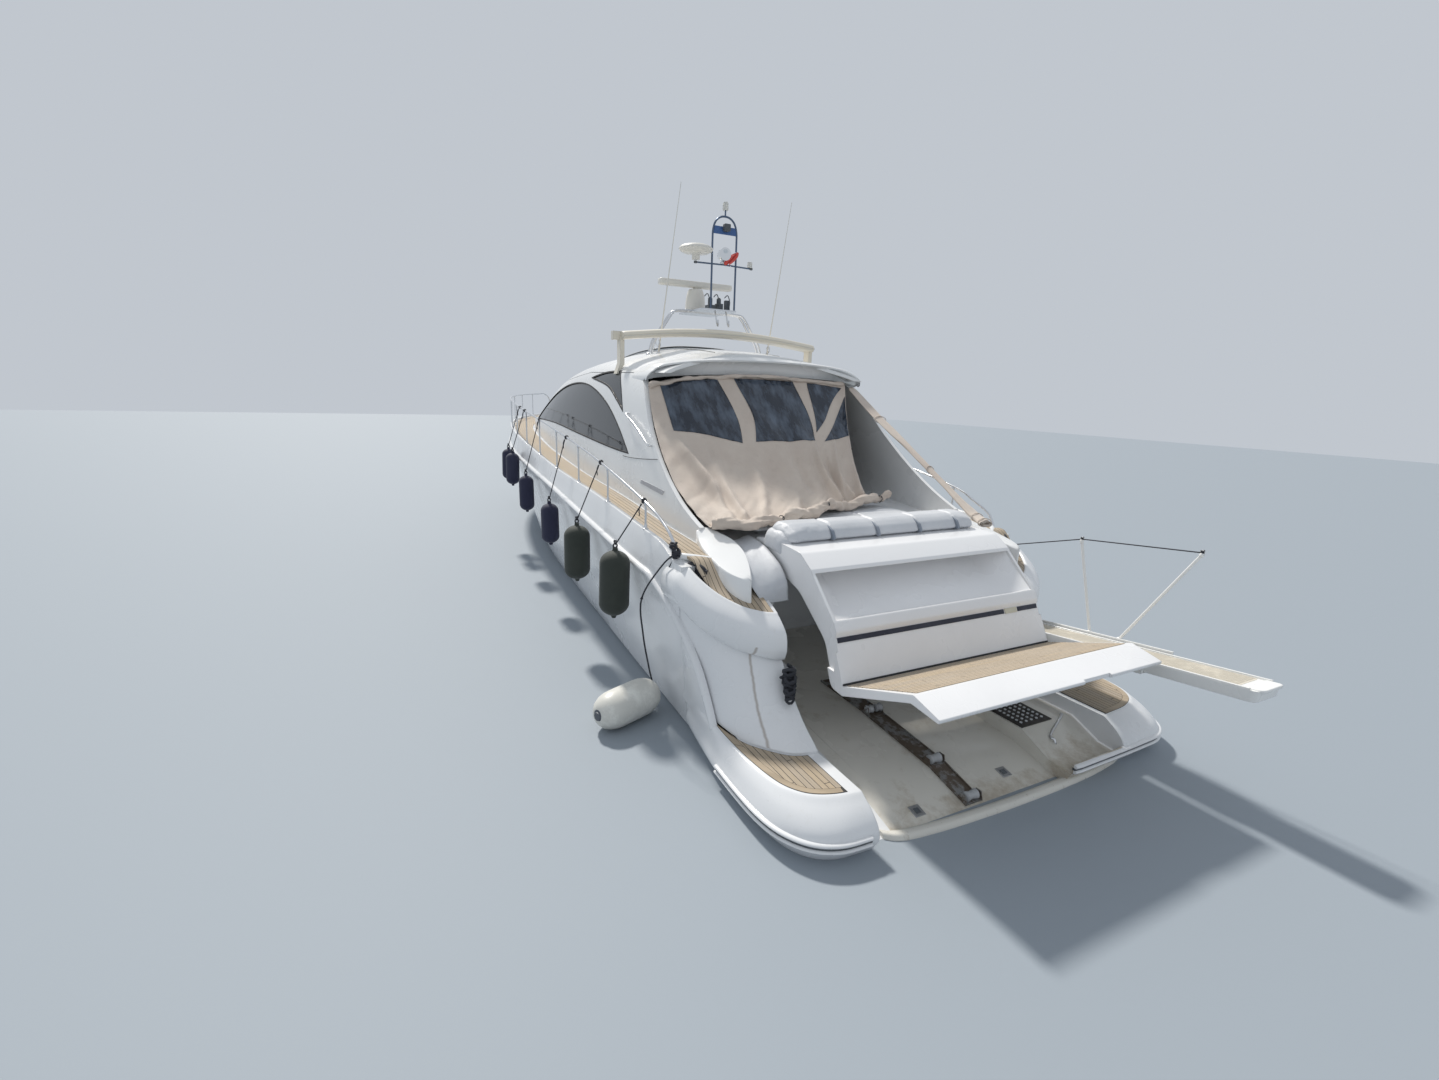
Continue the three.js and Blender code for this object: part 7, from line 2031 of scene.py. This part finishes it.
def fender_profile(length, radius):
    """Half profile of a fender: a rounded foot with a welt, a straight body and a rounded head."""
    foot = [(radius * math.sin(a) * (0.96 + 0.04 * math.sin(a)), 0.028 + radius * 0.85 * (1 - math.cos(a)))
            for a in evenly(0.22, math.pi / 2, 9)]
    head = [(radius * math.cos(a), length - 0.03 - radius * 0.85 * (1 - math.sin(a)))
            for a in evenly(0, math.pi / 2 - 0.2, 9)]
    return [(0, 0.0), (0.022, 0.0), (0.028, 0.016)] + foot + head + [(0.03, length - 0.02),
                                                                     (0.026, length), (0, length)]


def knot(here, size, turns=3):
    """A hitch: a few turns wound over each other."""
    path = [here + Vector((size * 0.7 * math.cos(a), size * 0.7 * math.sin(a),
                           size * (a / (turns * 6.28) - 0.5) + size * 0.3 * math.sin(a * 1.6)))
            for a in evenly(0, turns * 6.28, turns * 9)]
    return tube(path, size * 0.3, 7)


for name, x, top, length, radius, sock, aft, out in FENDERS:
    values = hull_values(x)
    y = values[3] + 0.052 + radius
    head = Vector((x, y, top))
    hang = Vector((aft, -out, length)).normalized()
    body_shape = turned(fender_profile(length, radius), head - hang * length, hang, 36)
    fender = made(f"{name}_body", body_shape)
    for vertex in fender.data.vertices:
        vertex.co += vertex.normal * 0.004 * noise.noise(vertex.co * 6)
    fitted(smoothed(fender, 60), sock, "fender_rubber", name)
    rail_head = rail_point(x, rail_high(x))
    over = Vector((x, values[5] + 0.012, values[6] + TOE_RAIL_HIGH + 0.022))
    lanyard = [head + Vector((0, 0, 0.03)), over, rail_head + Vector((0, 0.026, -0.03))]
    if over.y < head.y + (rail_head.y - head.y) * (over.z - head.z) / (rail_head.z - head.z):
        lanyard = [lanyard[0], lanyard[2]]
    loop = [head + Vector((0.0, 0.022 * math.cos(a), 0.024 + 0.024 * math.sin(a)))
            for a in evenly(0, 2 * math.pi, 13)]
    tail = [rail_head + Vector((0.01, 0.03, -0.03)), rail_head + Vector((0.03, 0.045, -0.09)),
            rail_head + Vector((0.035, 0.04, -0.17))]
    lines = made(f"{name}_lanyard", tube(lanyard, 0.0075, 7), tube(loop, 0.009, 7),
                 tube(smooth_line(tail, 5), 0.006, 7),
                 knot(head + Vector((0, 0, 0.07)), 0.02), knot(rail_head, 0.032, 4))
    fitted(smoothed(lines, 60), dark_cord, "fender_rubber")

# The white float at the quarter lies out from the hull on its own taut line from the rail's end
FLOAT_FOOT = Vector((-6.4, 2.33, 0.2))
FLOAT_LONG = 0.8
FLOAT_THICK = 0.195
float_axis = Vector((-math.sin(math.radians(23)), math.cos(math.radians(23)), 0))
float_skin = rubber("float_skin", (0.66, 0.65, 0.6), 0.4)
float_ends = rubber("float_ends", (0.1, 0.11, 0.13), 0.5)
half = [(0.04, 0.012), (0.075, 0.018), (0.11, 0.035), (0.15, 0.075), (0.178, 0.13), (0.192, 0.19),
        (FLOAT_THICK, 0.25)]
float_profile = [(0, 0.012)] + half + [(r, FLOAT_LONG - h)
                                       for r, h in reversed(half)] + [(0, FLOAT_LONG - 0.012)]
float_body = made("fender_7_body", turned(float_profile, FLOAT_FOOT, float_axis, 48))
for vertex in float_body.data.vertices:
    vertex.co += vertex.normal * 0.006 * noise.noise(vertex.co * 4)
fitted(smoothed(float_body, 60), float_skin, "gelcoat", "fender_7")
cap_profile = [(0, -0.002), (0.042, 0.0), (0.046, 0.012), (0.075, 0.02), (0.072, 0.026), (0, 0.03)]
far_cap = [(r, FLOAT_LONG - h) for r, h in cap_profile]
fitted(smoothed(made("fender_7_ends", turned(cap_profile, FLOAT_FOOT, float_axis, 24),
                     turned(far_cap, FLOAT_FOOT, float_axis, 24)), 40),
       float_ends, "gelcoat")
rail_end = Vector((-6.67, 2.23, 1.79))
near_end = FLOAT_FOOT + Vector((0, 0.02, 0.02))
side_point = Vector((-6.5, 2.53, 1.3))
float_line = [rail_end, Vector((-6.62, 2.36, 1.66)), side_point, Vector((-6.46, 2.5, 0.9)),
              Vector((-6.42, 2.42, 0.5)), near_end]
quarter_lines = [tube(smooth_line(float_line, 6), 0.009, 8), knot(rail_end, 0.05, 4),
                 knot(rail_end + Vector((0.03, 0.02, 0.07)), 0.045, 3),
                 knot(near_end, 0.03, 3), knot(side_point, 0.016, 2)]
quarter_lines.append(tube(smooth_line([rail_end, rail_end + Vector((0.0, 0.05, -0.1)),
                                       rail_end + Vector((0.06, 0.06, -0.17)),
                                       rail_end + Vector((0.09, 0.03, -0.09))], 6), 0.009, 8))
fitted(smoothed(made("quarter_lines", *quarter_lines), 60), dark_cord, "fender_rubber")

# Passerelle: a white gangway that telescopes out of its case in the starboard quarter, on a tilt. Its plank
# has raised edges, a cream ribbed tread and a rounded white end; two rope posts stand in a V on its starboard
# side.
TILT = math.radians(6.5)
PLANK_Y = -1.605
passerelle_finish = gelcoat("passerelle_finish", (0.86, 0.86, 0.84), grime=0.2)
tread_cream = rubber("tread_cream", (0.6, 0.56, 0.48), 0.75)


def on_plank(distance, rise, y=0.0):
    """A place out along the tilted gangway, up from its middle plane and to the side of its centreline."""
    return Vector((-7.7 - distance * math.cos(TILT) - rise * math.sin(TILT), PLANK_Y + y,
                   0.87 + distance * math.sin(TILT) + rise * math.cos(TILT)))


def tilted_prism(section, near, far):
    """A section across the gangway, sideways and up, run out along it."""
    return lofted([[on_plank(d, rise, y) for y, rise in section] for d in (near, far)])


def tilted_slab(outline, low, high):
    """A plan on the gangway, out along it and sideways, between two heights."""
    count = len(outline)
    points = [on_plank(d, low, y) for d, y in outline] + [on_plank(d, high, y) for d, y in outline]
    faces = [tuple(range(count)), tuple(reversed(range(count, 2 * count)))]
    faces += [(i, count + i, count + (i + 1) % count, (i + 1) % count) for i in range(count)]
    return points, faces


channel = [(-0.227, -0.098), (0.227, -0.098), (0.227, 0.06), (0.205, 0.06), (0.205, -0.086), (-0.205, -0.086),
           (-0.205, 0.06), (-0.227, 0.06)]
case = made("passerelle_case_channel", tilted_prism(channel, -2.15, 1.52))
post_parts, post_tops = [], []
for foot, top in ((0.7, 0.32), (0.98, 1.46)):
    low, high = on_plank(foot, 0.01, -0.233), on_plank(top, 1.035, -0.233)
    post_tops.append(high)
    post_parts.append(tube([low, high], 0.015, 14))
    post_parts.append(turned([(0.0, -0.03), (0.026, -0.03), (0.026, 0.05),
                              (0.015, 0.06)], low, high - low, 18))
    post_parts.append(turned([(0.015, -0.02), (0.02, -0.015), (0.02, 0.01), (0.013, 0.018),
                              (0, 0.02)], high, high - low, 18))
    eye = [high + Vector((0.018 * math.cos(a), 0.0, 0.024 + 0.018 * math.sin(a)))
           for a in evenly(0, 6.283, 14)]
    post_parts.append(tube(eye, 0.004, 7))
fitted(rounded_edges(case, 0.004), passerelle_finish, "gelcoat", "passerelle_case")
fitted(smoothed(made("passerelle_posts", *post_parts), 40), passerelle_finish, "polished_steel")
end_plan = rounded([(-0.06, -0.195, 0.01), (2.38, -0.195, 0.06), (2.38, 0.195, 0.06),
                    (-0.06, 0.195, 0.01)], 6)
plank = made("passerelle_plank_board", tilted_slab(end_plan, -0.08, 0.02))
edges = [tilted_prism([(y - 0.012, 0.0), (y + 0.012, 0.0), (y + 0.012, 0.036),
                       (y - 0.012, 0.036)], -0.055, 2.31) for y in (-0.182, 0.182)]
carve(plank, "UNION", *[made("edge", edge) for edge in edges])
fitted(rounded_edges(plank, 0.004), passerelle_finish, "gelcoat", "passerelle_plank", body="passerelle")
tread_ribs = [tilted_prism([(y - 0.006, 0.018), (y + 0.006, 0.018), (y + 0.004, 0.026),
                            (y - 0.004, 0.026)], 0.02, 2.2)
              for y in evenly(-0.15, 0.15, 16)]
tread_field = tilted_slab(rounded([(0.0, -0.162, 0.02), (2.22, -0.162, 0.02), (2.22, 0.162, 0.02),
                                   (0.0, 0.162, 0.02)], 3), 0.019, 0.0222)
fitted(smoothed(made("passerelle_tread", tread_field, *tread_ribs), 30), tread_cream, "gelcoat",
       body="passerelle")
pad_plan = rounded([(2.27, -0.165, 0.03), (2.405, -0.165, 0.055), (2.405, 0.165, 0.055),
                    (2.27, 0.165, 0.03)], 6)
pad = made("passerelle_end_pad", tilted_slab(pad_plan, 0.0, 0.034))
fitted(rounded_edges(pad, 0.012, 3), passerelle_finish, "gelcoat", body="passerelle")
line_start = Vector((-7.05, -1.95, 1.62))
hand_line = [line_start, post_tops[0] + Vector((0, 0, 0.02)), post_tops[1] + Vector((0, 0, 0.02))]
fitted(smoothed(made("passerelle_hand_line", tube(hand_line, 0.006, 8),
                     knot(post_tops[0] + Vector((0, 0, 0.03)), 0.018, 3),
                     knot(post_tops[1] + Vector((0, 0, 0.03)), 0.018, 3), knot(line_start, 0.03, 3)), 60),
       dark_cord, "tread")

# Running gear: four-bladed bronze propellers on inclined steel shafts in bronze brackets, and bronze rudders
bronze = metal("old_bronze", (0.46, 0.32, 0.16), 0.42, 0.2, 1.0)
RAKE = math.radians(11)
BLADE_STEPS = [(0.06, 0.105, 35, 0.013), (0.1, 0.128, 36, 0.013), (0.15, 0.15, 38, 0.013),
               (0.2, 0.156, 41, 0.013), (0.25, 0.15, 45, 0.0125), (0.29, 0.129, 49, 0.011),
               (0.32, 0.095, 52, 0.01), (0.333, 0.062, 54, 0.01), (0.338, 0.035, 55, 0.01)]


def raked(place, facing):
    """A point drawn about a level shaft, turned with its forward end up and set at the propeller's centre."""
    x, y, z = place
    return (-6.35 + x * math.cos(RAKE) - z * math.sin(RAKE), facing * 0.78 + y,
            -0.82 + x * math.sin(RAKE) + z * math.cos(RAKE))


def raked_shape(shape, facing):
    return [raked(point, facing) for point in shape[0]], shape[1]


for side, facing in (("port", 1), ("starboard", -1)):
    hub_profile = [(0, -0.19), (0.022, -0.19), (0.035, -0.18), (0.062, -0.135), (0.072, -0.12),
                   (0.074, -0.06), (0.074, 0.05), (0.072, 0.105), (0.06, 0.11), (0, 0.11)]
    propeller = made(f"propeller_{side}_bronze",
                     raked_shape(turned(hub_profile, (0, 0, 0), (1, 0, 0), 40), facing))
    for i in range(4):
        turn = math.radians(i * 90 + 20)
        rings = []
        for radius, chord, pitch, thick in BLADE_STEPS:
            angle = math.radians(pitch) * facing
            section = [(-math.cos(t), math.sin(t) * 0.98) for t in evenly(0, 2 * math.pi, 17)[:-1]]
            ring = []
            for a, b in section:
                y = a * chord * math.sin(angle) - b * thick * 0.5 * math.cos(angle) * facing
                x = a * chord * math.cos(angle) + b * thick * 0.5 * math.sin(angle) * facing
                ring.append((x * 0.62, y * math.cos(turn) - radius * math.sin(turn),
                             y * math.sin(turn) + radius * math.cos(turn)))
            rings.append(ring)
        carve(propeller, "UNION", made("blade", raked_shape(lofted(rings), facing)))
    fitted(smoothed(propeller, 40), bronze, "bronze", f"propeller_{side}", body=f"propeller_{side}")
    shaft = raked_shape(tube([(0.1, 0, 0), (2.45, 0, 0)], 0.03, 24), facing)
    fitted(smoothed(made(f"propeller_shaft_{side}", shaft), 60), polished_steel, "polished_steel",
           body=f"propeller_{side}")
    barrel = [(0.036, 0.18), (0.056, 0.18), (0.062, 0.195), (0.062, 0.415), (0.056, 0.43), (0.036, 0.43),
              (0.036, 0.18)]
    bracket_body = made(f"shaft_bracket_{side}_barrel",
                        raked_shape(turned(barrel, (0, 0, 0), (1, 0, 0), 40), facing))
    low = Vector(raked((0.305, 0, 0.052), facing))
    high = Vector((-6.04, facing * 0.6, -0.25))
    strut_section = [(0.11 * math.cos(t), 0.022 * math.sin(t)) for t in evenly(0, 2 * math.pi, 25)[:-1]]
    strut = made("strut", lofted([[(here.x + a, here.y + b, here.z) for a, b in strut_section]
                                  for here in (low, high)]))
    carve(bracket_body, "UNION", strut)
    fitted(smoothed(bracket_body, 40), bronze, "bronze", f"shaft_bracket_{side}")
    blade_top = [(0.14, 0), (0.12, 0.018), (0.06, 0.034), (-0.03, 0.034), (-0.12, 0.026), (-0.23, 0.014),
                 (-0.33, 0.004)]
    blade_foot = [(0.11, 0), (0.094, 0.014), (0.04, 0.026), (-0.04, 0.026), (-0.11, 0.02), (-0.2, 0.01),
                  (-0.27, 0.004)]
    rudder_rings = []
    for outline, z in ((blade_foot, -1.06), (blade_foot, -1.04), (blade_top, -0.49), (blade_top, -0.47)):
        half_ring = [(-7.12 + x, facing * 0.8 + y, z) for x, y in outline]
        rudder_rings.append(half_ring + [(x, 2 * facing * 0.8 - y, z) for x, y, z in reversed(half_ring[1:])])
    rudder = made(f"rudder_{side}_blade", lofted(rudder_rings))
    carve(rudder, "UNION", made("stock", turned([(0, -0.57), (0.036, -0.57), (0.036, -0.09),
                                                 (0, -0.09)], (-7.12, facing * 0.8, 0), sides=28)))
    fitted(rounded_edges(rudder, 0.003), bronze, "bronze", f"rudder_{side}", body=f"rudder_{side}")

# Trim tabs: a steel plate hinged under each side of the platform, with a stiffened edge
tab_outline = [(-8.262, -0.33), (-8.602, -0.342), (-8.602, -0.324), (-8.292, -0.296), (-8.262, -0.296)]
for side, facing in (("port", 1), ("starboard", -1)):
    tab = made(f"trim_tab_{side}_plate", prism(tab_outline, "y", *sorted((facing * 0.62, facing * 1.33))))
    fitted(rounded_edges(tab, 0.003), stained_steel, "polished_steel", f"trim_tab_{side}",
           body=f"trim_tab_{side}")
